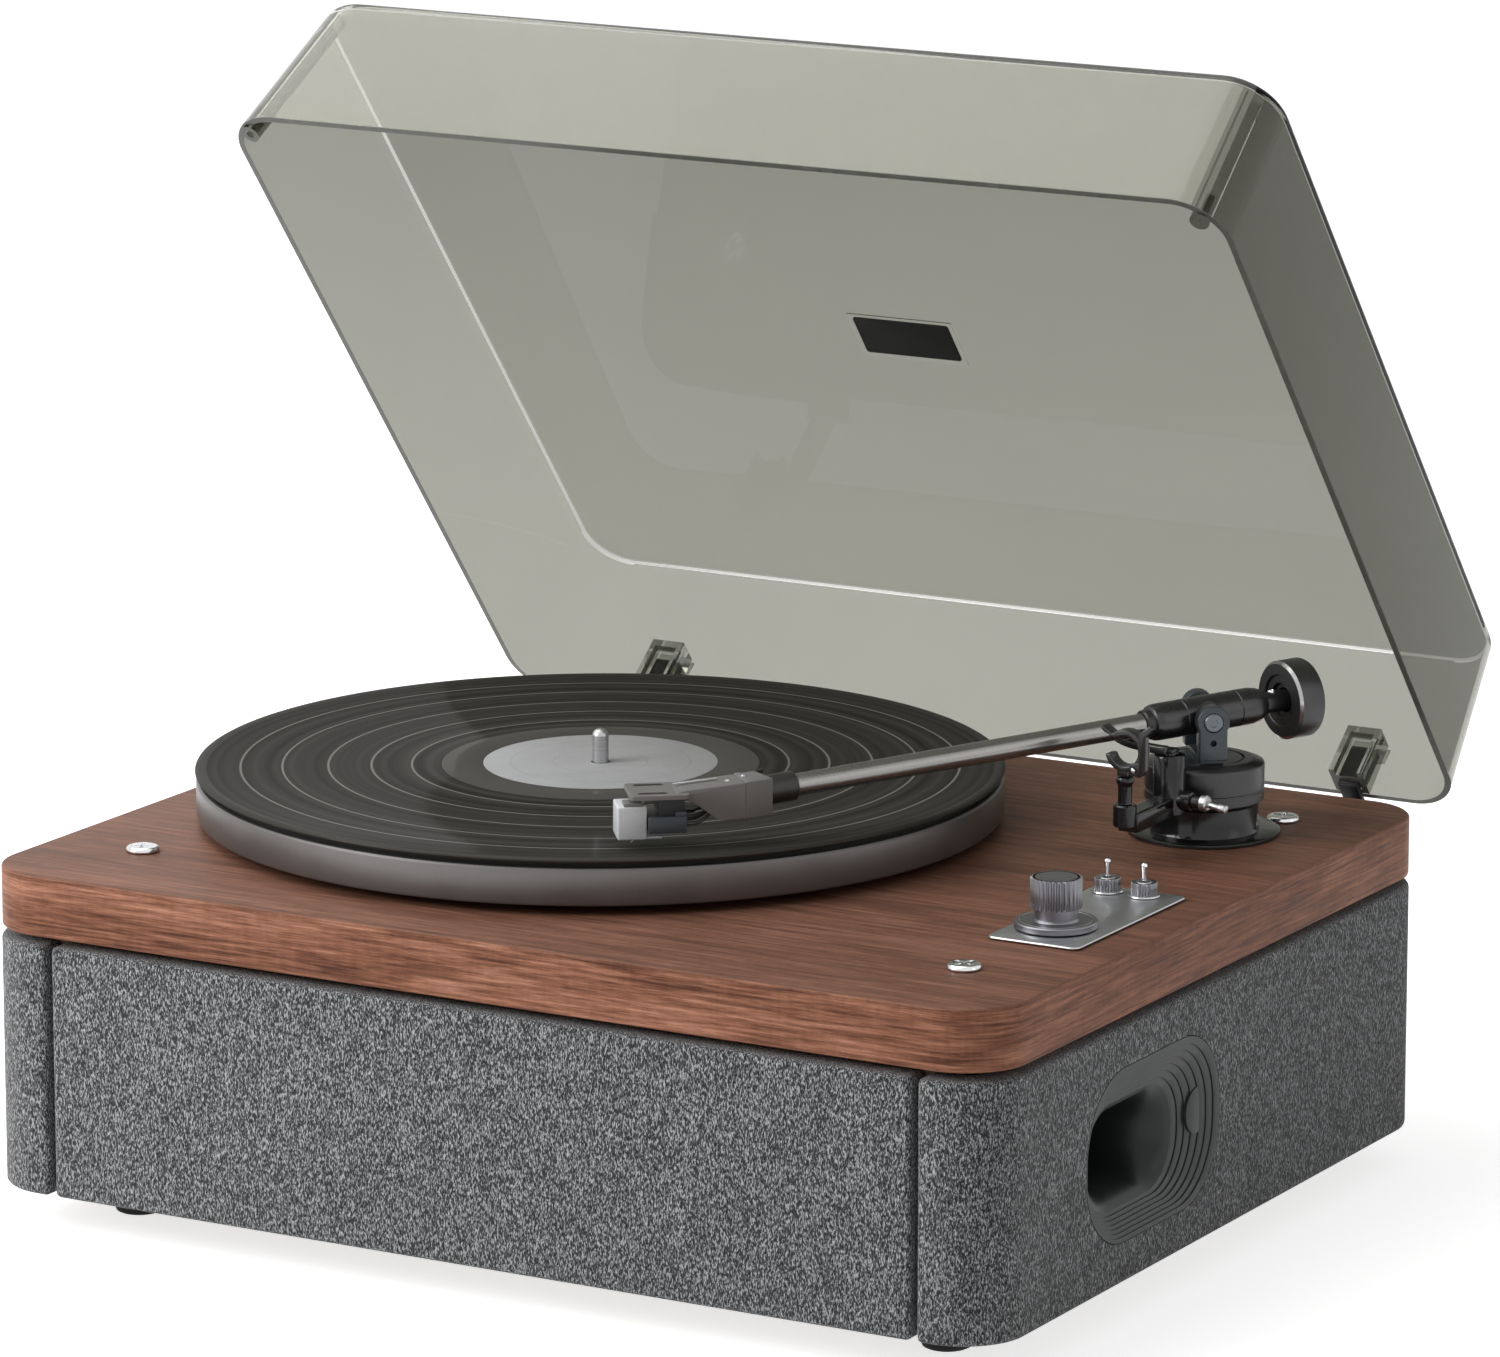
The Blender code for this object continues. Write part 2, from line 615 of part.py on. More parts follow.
def side_shell_outline():
    """Return the plan of the right side shell, which wraps round both of its corners."""
    half_x = CABINET_WIDTH / 2
    half_y = CABINET_DEPTH / 2
    outer = rounded_rectangle(CABINET_WIDTH, CABINET_DEPTH, CABINET_CORNER, CABINET_CORNER_STEPS)
    inner = rounded_rectangle(
        CABINET_WIDTH - 2 * CABINET_WALL, CABINET_DEPTH - 2 * CABINET_WALL, CABINET_CORNER - CABINET_WALL,
        CABINET_CORNER_STEPS,
    )
    right_outer = [point for point in outer if point[0] > half_x / 2]
    right_inner = [point for point in inner if point[0] > half_x / 2]
    ends_outer = [(SHELL_FRONT_END_X, -half_y)] + right_outer + [(SHELL_FRONT_END_X, half_y)]
    ends_inner = [(SHELL_FRONT_END_X, half_y - CABINET_WALL)] + right_inner[::-1]
    return ends_outer + ends_inner + [(SHELL_FRONT_END_X, CABINET_WALL - half_y)]

def build_side_shells():
    """Build both fabric side shells with the cut-outs of their bass ports."""
    for side, sign in (("left", -1), ("right", 1)):
        outline = [(sign * x, y) for x, y in side_shell_outline()]
        shell = add_part(f"side_shell_{side}", prism(outline, 0, CABINET_HEIGHT, FABRIC_EDGE), "fabric")
        cut_out = rounded_rectangle(
            PORT_LENGTH_Y + 2 * SEAT_GAP, PORT_HEIGHT + 2 * SEAT_GAP,
            PORT_CORNER + SEAT_GAP, PORT_CORNER_STEPS,
        )
        upright = [(-z, y) for y, z in cut_out]
        add_cutter(
            prism(upright, -CABINET_WALL, CABINET_WALL), shell,
            (sign * (CABINET_WIDTH - CABINET_WALL) / 2, PORT_CENTRE_Y, PORT_CENTRE_Z), (0, math.pi / 2, 0),
        )

def build_cabinet():
    """Build the panels of the cabinet and the dark plate on top of them."""
    half_y = CABINET_DEPTH / 2
    grille_width = 2 * (SHELL_FRONT_END_X - GRILLE_SIDE_GAP)
    baffle_front = CABINET_WALL + SEAT_GAP - half_y
    baffle_back = baffle_front + BAFFLE_THICKNESS
    base_front = baffle_back + SEAT_GAP
    base_back = half_y - CABINET_WALL - SEAT_GAP
    grille = rounded_rectangle(grille_width, CABINET_WALL, FABRIC_EDGE, 3)
    add_part(
        "grille_panel", prism(grille, 0, CABINET_HEIGHT, FABRIC_EDGE), "fabric",
        (0, CABINET_WALL / 2 - half_y, 0),
    )
    holes = [circle(DRIVER_CONE_RADIUS, ROUND_STEPS, (x, 0)) for x in (-DRIVER_X, DRIVER_X)]
    face = rounded_rectangle(BAFFLE_WIDTH, CABINET_HEIGHT - 2 * SEAT_GAP, BAFFLE_THICKNESS / 4, 1)
    add_part(
        "front_baffle", plate([face] + holes, -BAFFLE_THICKNESS, 0), "board",
        (0, baffle_front, CABINET_HEIGHT / 2), (math.pi / 2, 0, 0),
    )
    base_width = CABINET_WIDTH - 2 * CABINET_WALL - 2 * SEAT_GAP
    base = rounded_rectangle(
        base_width, base_back - base_front, BASE_CORNER, BASE_CORNER_STEPS, (
            0, (base_back + base_front) / 2,
        )
    )
    add_part("base_panel", prism(base, 0, BASE_THICKNESS), "board")
    back_width = 2 * (SHELL_FRONT_END_X - SEAT_GAP)
    back_face = half_y - BACK_RECESS
    back = add_part(
        "back_panel",
        block(
            (back_width, BACK_THICKNESS, CABINET_HEIGHT),
            (0, back_face - BACK_THICKNESS / 2, CABINET_HEIGHT / 2),
        ),
        "fabric",
    )
    opening = (
        JACK_PLATE_SIZE[0] - 2 * JACK_PLATE_TONGUE, 2 * BACK_THICKNESS,
        JACK_PLATE_SIZE[1] - 2 * JACK_PLATE_TONGUE,
    )
    add_cutter(block(opening, (JACK_PLATE_X, back_face - BACK_THICKNESS / 2, JACK_PLATE_Z)), back)
    build_side_shells()
    build_deck_plate()

def build_deck_plate():
    """Build the dark plate between the cabinet and the wooden board."""
    motor_x, motor_y = motor_place()
    rim = rounded_rectangle(DECK_PLATE_WIDTH, DECK_PLATE_DEPTH, BOARD_EDGE, 1)
    pocket_x = (CONTROL_PLATE_X[0] + CONTROL_PLATE_X[1]) / 2
    pocket_y = (CONTROL_PLATE_Y[0] + CONTROL_PLATE_Y[1]) / 2
    holes = [
        circle(BEARING_RADIUS + RUNNING_GAP, ROUND_STEPS, (PLATTER_X, PLATTER_Y)),
        circle(MOTOR_RADIUS + RUNNING_GAP, ROUND_STEPS, (motor_x, motor_y)),
        circle(ARM_SLEEVE_RADIUS + RUNNING_GAP, ROUND_STEPS, (ARM_X, ARM_Y)),
        rounded_rectangle(*pocket_size(), CONTROL_PLATE_CHAMFER, 2, (pocket_x, pocket_y)),
    ]
    bottom = CABINET_HEIGHT + SEAT_GAP
    add_part(
        "deck_plate", plate([rim] + holes, bottom, CABINET_HEIGHT + SHADOW_GAP - SEAT_GAP), "dark_plate"
    )

def pocket_size():
    """Return the width and depth of the pocket under the control plate."""
    width = CONTROL_PLATE_X[1] - CONTROL_PLATE_X[0] - CONTROL_PLATE_CHAMFER
    depth = CONTROL_PLATE_Y[1] - CONTROL_PLATE_Y[0] - CONTROL_PLATE_CHAMFER
    return width, depth

def motor_place():
    """Return the motor's place beside the sub-platter."""
    bearing = math.radians(MOTOR_BEARING_DEG)
    return PLATTER_X + MOTOR_DISTANCE * math.cos(bearing), PLATTER_Y + MOTOR_DISTANCE * math.sin(bearing)

def build_top_board():
    """Build the wooden board with its holes and the pocket of the controls."""
    outline = rounded_rectangle(BOARD_WIDTH, BOARD_DEPTH, CABINET_CORNER, CABINET_CORNER_STEPS)
    bottom = DECK_Z - BOARD_THICKNESS
    board = add_part("top_board", prism(outline, bottom, DECK_Z, BOARD_EDGE), "walnut")
    motor_x, motor_y = motor_place()
    bores = [
        (PLATTER_X, PLATTER_Y, BEARING_RADIUS + RUNNING_GAP),
        (motor_x, motor_y, MOTOR_RADIUS + RUNNING_GAP),
        (ARM_X, ARM_Y, ARM_SLEEVE_RADIUS + RUNNING_GAP),
        (KNOB_X, KNOB_Y, POT_BUSH_RADIUS + RUNNING_GAP),
    ]
    bores += [(x, y, TOGGLE_BUSH_RADIUS + RUNNING_GAP) for x, y in TOGGLES.values()]
    for x, y, radius in bores:
        add_cutter(
            cylinder(radius, -BOARD_THICKNESS, BOARD_THICKNESS), board,
            (x, y, DECK_Z - BOARD_THICKNESS / 2),
        )
    for x, y in deck_screw_places():
        add_cutter(
            cylinder(
                DECK_SCREW_SHANK_RADIUS + RUNNING_GAP, -DECK_SCREW_SHANK_LENGTH - SEAT_GAP, BOARD_EDGE,
            ),
            board, (x, y, DECK_Z),
        )
    pocket_x = (CONTROL_PLATE_X[0] + CONTROL_PLATE_X[1]) / 2
    pocket_y = (CONTROL_PLATE_Y[0] + CONTROL_PLATE_Y[1]) / 2
    pocket = rounded_rectangle(*pocket_size(), CONTROL_PLATE_CHAMFER, 2)
    add_cutter(prism(pocket, -BOARD_THICKNESS, CONTROL_POCKET_DEPTH), board, (pocket_x, pocket_y, bottom))

def deck_screw_places():
    """Return the four deck screws' places."""
    return [(sign * DECK_SCREW_X, y) for y in (DECK_SCREW_FRONT_Y, DECK_SCREW_BACK_Y) for sign in (-1, 1)]

def build_feet_and_screws():
    """Build the four rubber feet and the four slotted deck screws."""
    places = [(x * FOOT_SPACING_X / 2, y * FOOT_SPACING_Y / 2) for y in (-1, 1) for x in (-1, 1)]
    for index, (x, y) in enumerate(places, 1):
        foot = cylinder(FOOT_RADIUS, -FOOT_HEIGHT, -SEAT_GAP, SMALL_STEPS, FOOT_EDGE)
        add_part(
            f"foot_{index}", foot, "rubber", (x, y, 0)

        )
    head_profile = [
        (0, DECK_SCREW_HEIGHT), (DECK_SCREW_RADIUS - FOOT_EDGE, DECK_SCREW_HEIGHT),
        (DECK_SCREW_RADIUS, DECK_SCREW_HEIGHT - FOOT_EDGE), (DECK_SCREW_RADIUS, SEAT_GAP),
        (DECK_SCREW_SHANK_RADIUS, SEAT_GAP), (DECK_SCREW_SHANK_RADIUS, -DECK_SCREW_SHANK_LENGTH),
        (0, -DECK_SCREW_SHANK_LENGTH),
    ]
    for index, (x, y) in enumerate(deck_screw_places(), 1):
        screw = add_part(f"deck_screw_{index}", turned(head_profile, ROUND_STEPS), "chrome", (x, y, DECK_Z))
        slot = block((3 * DECK_SCREW_RADIUS, DECK_SCREW_SLOT, DECK_SCREW_SLOT * 2))
        add_cutter(slot, screw, (0, 0, DECK_SCREW_HEIGHT))

def build_speakers():
    """Build the two full-range drivers behind the baffle."""
    profile = [
        (0, -DRIVER_CONE_DEPTH), (DRIVER_MAGNET_RADIUS / 3, -DRIVER_CONE_DEPTH),
        (DRIVER_CONE_RADIUS - DRIVER_FLANGE, 0), (DRIVER_RADIUS, 0), (DRIVER_RADIUS, -DRIVER_FLANGE),
        (DRIVER_CONE_RADIUS, -DRIVER_FLANGE), (DRIVER_MAGNET_RADIUS, -DRIVER_DEPTH / 2),
        (DRIVER_MAGNET_RADIUS, -DRIVER_DEPTH), (0, -DRIVER_DEPTH),
    ]
    front = CABINET_WALL + 2 * SEAT_GAP + BAFFLE_THICKNESS - CABINET_DEPTH / 2
    for side, sign in (("left", -1), ("right", 1)):
        add_part(
            f"driver_{side}", turned(profile, ROUND_STEPS), "paper_cone",
            (sign * DRIVER_X, front, CABINET_HEIGHT / 2), (math.pi / 2, 0, 0),
        )

def port_loop(share, depth, inset=0.0, shrink=1.0):
    """Return one loop of the port between its rim (share 0) and its mouth (share 1)."""
    length = (PORT_LENGTH_Y + (PORT_MOUTH_LENGTH - PORT_LENGTH_Y) * share) * shrink - 2 * inset
    height = (PORT_HEIGHT + (PORT_MOUTH_HEIGHT - PORT_HEIGHT) * share) * shrink - 2 * inset
    corner = (PORT_CORNER + (PORT_MOUTH_CORNER - PORT_CORNER) * share) * shrink - inset
    centre_y = PORT_CENTRE_Y + (PORT_MOUTH_Y - PORT_CENTRE_Y) * share
    centre_z = PORT_CENTRE_Z + (PORT_MOUTH_Z - PORT_CENTRE_Z) * share
    outline = rounded_rectangle(length, height, corner, PORT_CORNER_STEPS, (centre_y, centre_z))
    return [(CABINET_WIDTH / 2 - depth, y, z) for y, z in outline]

def port_loops():
    """Return the loops of the right port: terraces, flared mouth, tube and the tube's outer side."""
    loops = []
    for terrace in range(PORT_TERRACES):
        depth = terrace * PORT_TERRACE_STEP
        loops.append(port_loop(terrace / PORT_TERRACES, depth))
        loops.append(port_loop((terrace + 1) / PORT_TERRACES, depth))
    lip = PORT_TERRACES * PORT_TERRACE_STEP
    for step in range(1, 5):
        angle = math.pi / 2 * step / 4
        shrink = PORT_THROAT_SHARE + (1 - PORT_THROAT_SHARE) * (1 - math.sin(angle))
        loops.append(port_loop(1, lip + PORT_FLARE_DEPTH * (1 - math.cos(angle)), 0, shrink))
    loops.append(port_loop(1, PORT_LENGTH, 0, PORT_THROAT_SHARE))
    loops.append(port_loop(1, PORT_LENGTH, -PORT_WALL, PORT_THROAT_SHARE))
    loops.append(port_loop(1, PORT_FLARE_DEPTH, -PORT_WALL, PORT_THROAT_SHARE))
    loops.append(port_loop(1, PORT_FLANGE_DEPTH, -PORT_WALL))
    loops.append(port_loop(0, PORT_FLANGE_DEPTH))
    return loops

def build_ports():
    """Build the stepped bass port inserts of both sides."""
    for side, sign in (("left", -1), ("right", 1)):
        loops = [[(sign * x, y, z) for x, y, z in loop] for loop in port_loops()]
        port = add_part(f"port_{side}", lofted(loops), "port_plastic")
        pad = rod_between(
            (sign * (CABINET_WIDTH / 2 - PORT_TERRACE_STEP), PORT_PAD_Y, PORT_PAD_Z),
            (sign * (CABINET_WIDTH / 2 - PORT_PAD_DEPTH), PORT_PAD_Y, PORT_PAD_Z), PORT_PAD_RADIUS,
            ROUND_STEPS,
        )
        join_on(pad, port)

def build_electronics():
    """Build the amplifier board on its pillars and the rear jack plate."""
    width, depth, thickness = AMPLIFIER_SIZE
    bottom = BASE_THICKNESS + AMPLIFIER_LIFT
    board = add_part(
        "amplifier_board", block(AMPLIFIER_SIZE, (0, 0, thickness / 2)), "circuit_board",
        (*AMPLIFIER_CENTRE, bottom),
    )
    for side_x in (-1, 1):
        for side_y in (-1, 1):
            x = side_x * (width / 2 - 2 * AMPLIFIER_PILLAR_RADIUS)
            y = side_y * (depth / 2 - 2 * AMPLIFIER_PILLAR_RADIUS)
            pillar = cylinder(AMPLIFIER_PILLAR_RADIUS, SEAT_GAP - AMPLIFIER_LIFT, thickness / 2, TINY_STEPS)
            join_on(pillar, board, (x, y, 0))
    join_on(block(HEAT_SINK_SIZE, (0, 0, HEAT_SINK_SIZE[2] / 2)), board)
    plate_width, plate_height, plate_thickness = JACK_PLATE_SIZE
    back_face = CABINET_DEPTH / 2 - BACK_RECESS + SEAT_GAP
    jacks = add_part(
        "jack_plate", block((plate_width, plate_height, plate_thickness), (0, 0, plate_thickness / 2)),
        "black_plastic", (JACK_PLATE_X, back_face, JACK_PLATE_Z), (-math.pi / 2, 0, 0),
    )
    for index in range(4):
        x = (index - JACK_MIDDLE) * JACK_SPACING
        barrel_top = plate_thickness if index == 3 else plate_thickness + JACK_BARREL_LENGTH / 4
        if index != 3:
            join_on(
                cylinder(JACK_BARREL_RADIUS, plate_thickness / 2, barrel_top, SMALL_STEPS), jacks,
                (x, 0, 0),
            )
        join_on(
            cylinder(JACK_BARREL_RADIUS, -JACK_BARREL_LENGTH, plate_thickness / 2, SMALL_STEPS), jacks,
            (x, 0, 0),
        )
        bore_bottom = -JACK_BARREL_LENGTH * JACK_BORE_SHARE
        add_cutter(cylinder(JACK_BORE_RADIUS, bore_bottom, 2 * barrel_top, SMALL_STEPS), jacks, (x, 0, 0))

def build_drive():
    """Build the bearing housing, the motor and the belt, which stay in place."""
    housing_profile = [
        (0, -SHAFT_LENGTH - SEAT_GAP), (SHAFT_RADIUS + RUNNING_GAP, -SHAFT_LENGTH - SEAT_GAP),
        (SHAFT_RADIUS + RUNNING_GAP, BEARING_FLANGE + SEAT_GAP),
        (BEARING_FLANGE_RADIUS, BEARING_FLANGE + SEAT_GAP),
        (BEARING_FLANGE_RADIUS, SEAT_GAP), (BEARING_RADIUS, SEAT_GAP),
        (BEARING_RADIUS, -SHAFT_LENGTH - BEARING_FLOOR), (0, -SHAFT_LENGTH - BEARING_FLOOR),
    ]
    add_part("bearing_housing", turned(housing_profile), "steel", (PLATTER_X, PLATTER_Y, DECK_Z))
    motor_x, motor_y = motor_place()
    top = MOTOR_FLANGE + SEAT_GAP
    belt_middle = sub_platter_bottom() + SUB_PLATTER_RIM / 2
    shaft_top = belt_middle - DECK_Z + PULLEY_HEIGHT / 2
    motor_profile = [
        (0, shaft_top), (MOTOR_SHAFT_RADIUS, shaft_top), (MOTOR_SHAFT_RADIUS, top),
        (MOTOR_FLANGE_RADIUS, top), (MOTOR_FLANGE_RADIUS, SEAT_GAP), (MOTOR_RADIUS, SEAT_GAP),
        (MOTOR_RADIUS, -MOTOR_LENGTH), (0, -MOTOR_LENGTH),
    ]
    add_part("motor", turned(motor_profile), "steel", (motor_x, motor_y, DECK_Z))
    inner = belt_outline(SEAT_GAP)
    outer = belt_outline(SEAT_GAP + BELT_THICKNESS)
    add_part(
        "drive_belt", plate([outer, inner], belt_middle - BELT_WIDTH / 2, belt_middle + BELT_WIDTH / 2),
        "belt_rubber", (PLATTER_X, PLATTER_Y, 0),
    )

def belt_outline(offset):
    """Return the belt's loop round the sub-platter and the pulley, at an offset from both."""
    spread = math.acos((SUB_PLATTER_RADIUS - PULLEY_RADIUS) / MOTOR_DISTANCE)
    bearing = math.radians(MOTOR_BEARING_DEG)
    large = SUB_PLATTER_RADIUS + offset
    small = PULLEY_RADIUS + offset
    centre = (MOTOR_DISTANCE * math.cos(bearing), MOTOR_DISTANCE * math.sin(bearing))
    points = []
    for step in range(FINE_STEPS // 2 + 1):
        angle = bearing + spread + (math.tau - 2 * spread) * step * 2 / FINE_STEPS
        points.append((large * math.cos(angle), large * math.sin(angle)))
    for step in range(ROUND_STEPS // 4 + 1):
        angle = bearing - spread + 2 * spread * step * 4 / ROUND_STEPS
        points.append((centre[0] + small * math.cos(angle), centre[1] + small * math.sin(angle)))
    return points

def sub_platter_bottom():
    """Return the height of the sub-platter's rim above the row's origin."""
    return DECK_Z + BEARING_FLANGE + 2 * SEAT_GAP + RUNNING_GAP

def build_platter():
    """Build the turning pieces: sub-platter, spindle, platter, slip mat and record."""
    pivot = add_pivot("platter_axis", (PLATTER_X, PLATTER_Y, DECK_Z))
    sub_bottom = sub_platter_bottom() - DECK_Z
    sub_top = sub_bottom + SUB_PLATTER_RIM
    bore = SHAFT_RADIUS + SEAT_GAP
    sub_profile = [
        (bore, sub_top), (SUB_PLATTER_RADIUS, sub_top), (SUB_PLATTER_RADIUS, sub_bottom),
        (bore, sub_bottom),
    ]
    add_part("sub_platter", turned(sub_profile, RING_STEPS, True), "black_plastic", parent=pivot)
    spindle_profile = [
        (0, SPINDLE_TOP), (SPINDLE_RADIUS * DOME_SHARE, SPINDLE_TOP - SPINDLE_RADIUS * DOME_SLIM_SHARE),
        (SPINDLE_RADIUS * DOME_WIDE_SHARE, SPINDLE_TOP - SPINDLE_RADIUS * DOME_SHARE),
        (SPINDLE_RADIUS, SPINDLE_TOP - SPINDLE_RADIUS),
        (SPINDLE_RADIUS, sub_top), (SHAFT_RADIUS, sub_top), (SHAFT_RADIUS, -SHAFT_LENGTH),
        (0, -SHAFT_LENGTH),
    ]
    add_part("spindle", turned(spindle_profile, SMALL_STEPS), "chrome", parent=pivot)
    top = PLATTER_LIFT + PLATTER_HEIGHT
    mat_bottom = top - PLATTER_MAT_RECESS
    hole = SPINDLE_RADIUS + SEAT_GAP
    ceiling = sub_top + SEAT_GAP
    rim_inside = PLATTER_RADIUS - PLATTER_RIM
    platter_profile = [
        (hole, mat_bottom), (PLATTER_MAT_RECESS_RADIUS, mat_bottom), (PLATTER_MAT_RECESS_RADIUS, top),
        (PLATTER_RADIUS - PLATTER_EDGE, top), (PLATTER_RADIUS, top - PLATTER_EDGE),
        (PLATTER_RADIUS, PLATTER_LIFT + PLATTER_EDGE), (PLATTER_RADIUS - PLATTER_EDGE, PLATTER_LIFT),
        (rim_inside, PLATTER_LIFT), (rim_inside, ceiling), (hole, ceiling),
    ]
    add_part("platter", turned(platter_profile, FINE_STEPS, True), "dark_aluminium", parent=pivot)
    mat_top = mat_bottom + SEAT_GAP + MAT_THICKNESS
    mat_profile = [
        (hole, mat_top), (MAT_RADIUS, mat_top), (MAT_RADIUS, mat_bottom + SEAT_GAP),
        (hole, mat_bottom + SEAT_GAP),
    ]
    add_part("slip_mat", turned(mat_profile, FINE_STEPS, True), "mat_rubber", parent=pivot)
    record_bottom = mat_top + SEAT_GAP
    record_top = record_bottom + RECORD_THICKNESS
    record_profile = [
        (hole, record_top), (RECORD_RADIUS - RECORD_EDGE, record_top),
        (RECORD_RADIUS, record_top - RECORD_EDGE),
        (RECORD_RADIUS, record_bottom + RECORD_EDGE), (RECORD_RADIUS - RECORD_EDGE, record_bottom),
        (hole, record_bottom),
    ]
    add_part("record", turned(record_profile, FINE_STEPS, True), "vinyl", parent=pivot)
    motor_x, motor_y = motor_place()
    pulley_bottom = (sub_bottom + sub_top - PULLEY_HEIGHT) / 2
    pulley_top = pulley_bottom + PULLEY_HEIGHT
    flange = PULLEY_HEIGHT * PULLEY_FLANGE_SHARE
    pulley_bore = MOTOR_SHAFT_RADIUS + RUNNING_GAP
    pulley_profile = [
        (pulley_bore, pulley_top), (PULLEY_FLANGE_RADIUS, pulley_top),
        (PULLEY_FLANGE_RADIUS, pulley_top - flange),
        (PULLEY_RADIUS, pulley_top - flange), (PULLEY_RADIUS, pulley_bottom + flange),
        (PULLEY_FLANGE_RADIUS, pulley_bottom + flange), (PULLEY_FLANGE_RADIUS, pulley_bottom),
        (pulley_bore, pulley_bottom),
    ]
    add_part("motor_pulley", turned(pulley_profile, SMALL_STEPS, True), "steel", (motor_x, motor_y, DECK_Z))

def build_controls():
    """Build the control plate, the volume knob on its potentiometer and the two toggle switches."""
    centre_x = sum(CONTROL_PLATE_X) / 2
    centre_y = sum(CONTROL_PLATE_Y) / 2
    rim = rounded_rectangle(
        CONTROL_PLATE_X[1] - CONTROL_PLATE_X[0], CONTROL_PLATE_Y[1] - CONTROL_PLATE_Y[0],
        CONTROL_PLATE_CHAMFER,
        1, (centre_x, centre_y),
    )
    holes = [circle(POT_BUSH_RADIUS + RUNNING_GAP, ROUND_STEPS, (KNOB_X, KNOB_Y))]
    holes += [circle(TOGGLE_BUSH_RADIUS + RUNNING_GAP, ROUND_STEPS, place) for place in TOGGLES.values()]
    add_part(
        "control_plate", plate([rim] + holes, SEAT_GAP, CONTROL_PLATE_THICKNESS), "plate_aluminium",
        (0, 0, DECK_Z),
    )
    ceiling = CONTROL_POCKET_DEPTH - BOARD_THICKNESS - SEAT_GAP
    bush_top = CONTROL_PLATE_THICKNESS
    pot_bore = POT_SHAFT_RADIUS + RUNNING_GAP
    pot_profile = [
        (0, ceiling), (pot_bore, ceiling), (pot_bore, bush_top), (POT_BUSH_RADIUS, bush_top),
        (POT_BUSH_RADIUS, ceiling - SEAT_GAP), (POT_RADIUS, ceiling - SEAT_GAP),
        (POT_RADIUS, ceiling - POT_HEIGHT),
        (0, ceiling - POT_HEIGHT),
    ]
    add_part("volume_pot", turned(pot_profile), "steel", (KNOB_X, KNOB_Y, DECK_Z))
    build_knob(ceiling)
    for side, (x, y) in TOGGLES.items():
        build_toggle(side, x, y, ceiling)

def build_knob(shaft_bottom):
    """Build the volume knob in one piece with its shaft."""
    bottom = CONTROL_PLATE_THICKNESS + RUNNING_GAP
    skirt_top = bottom + KNOB_SKIRT_HEIGHT
    neck_top = skirt_top + KNOB_NECK_HEIGHT
    knob_profile = [
        (0, neck_top), (KNOB_NECK_RADIUS, neck_top), (KNOB_NECK_RADIUS, skirt_top),
        (KNOB_SKIRT_RADIUS - SEAT_GAP, skirt_top), (KNOB_SKIRT_RADIUS, skirt_top - SEAT_GAP),
        (KNOB_SKIRT_RADIUS, bottom), (POT_SHAFT_RADIUS, bottom),
        (POT_SHAFT_RADIUS, shaft_bottom + SEAT_GAP), (0, shaft_bottom + SEAT_GAP),
    ]
    knob = add_part(
        "volume_knob", turned(knob_profile, RING_STEPS), "knob_aluminium", (KNOB_X, KNOB_Y, DECK_Z),
    )
    grip = prism(
        ribbed_circle(KNOB_GRIP_RADIUS, KNOB_RIB_DEPTH, KNOB_RIBS), neck_top - KNOB_RIB_DEPTH,
        neck_top + KNOB_GRIP_HEIGHT,
    )
    join_on(grip, knob)

def build_toggle(side, x, y, ceiling):
    """Build one toggle switch with its knurled nut, and its lever."""
    nut_top = CONTROL_PLATE_THICKNESS + SEAT_GAP + TOGGLE_NUT_HEIGHT
    nut = prism(
        ribbed_circle(TOGGLE_NUT_RADIUS, TOGGLE_NUT_RIB_DEPTH, TOGGLE_NUT_RIBS),
        CONTROL_PLATE_THICKNESS + SEAT_GAP, nut_top,
    )
    switch = add_part(f"toggle_switch_{side}", nut, "steel", (x, y, DECK_Z))
    join_on(
        cylinder(TOGGLE_BUSH_RADIUS, ceiling - SEAT_GAP, nut_top - TOGGLE_NUT_RIB_DEPTH, ROUND_STEPS),
        switch,
    )
    join_on(block(TOGGLE_BODY_SIZE, (0, 0, ceiling - TOGGLE_BODY_SIZE[2] / 2)), switch)
    add_cutter(
        cylinder(TOGGLE_CUP_RADIUS, nut_top - TOGGLE_CUP_DEPTH, nut_top + TOGGLE_CUP_DEPTH, ROUND_STEPS),
        switch,
    )
    pivot_z = nut_top - TOGGLE_CUP_DEPTH / 2
    length = TOGGLE_LEVER_TOP - pivot_z
    lever_profile = [
        (0, length),
        (TOGGLE_LEVER_RADIUS * LEVER_TIP_SHARE, length - TOGGLE_LEVER_RADIUS * LEVER_CROWN_SHARE),
        (TOGGLE_LEVER_RADIUS, length - TOGGLE_LEVER_RADIUS * LEVER_TIP_SHARE),
        (TOGGLE_LEVER_RADIUS * LEVER_WAIST_SHARE, TOGGLE_CUP_DEPTH),
        (TOGGLE_LEVER_RADIUS * LEVER_WAIST_SHARE, TOGGLE_LEVER_RADIUS), (TOGGLE_LEVER_RADIUS, 0),
        (0, -TOGGLE_LEVER_RADIUS * LEVER_WAIST_SHARE),
    ]
    add_part(f"toggle_lever_{side}", turned(lever_profile, SMALL_STEPS), "chrome", (x, y, DECK_Z + pivot_z))

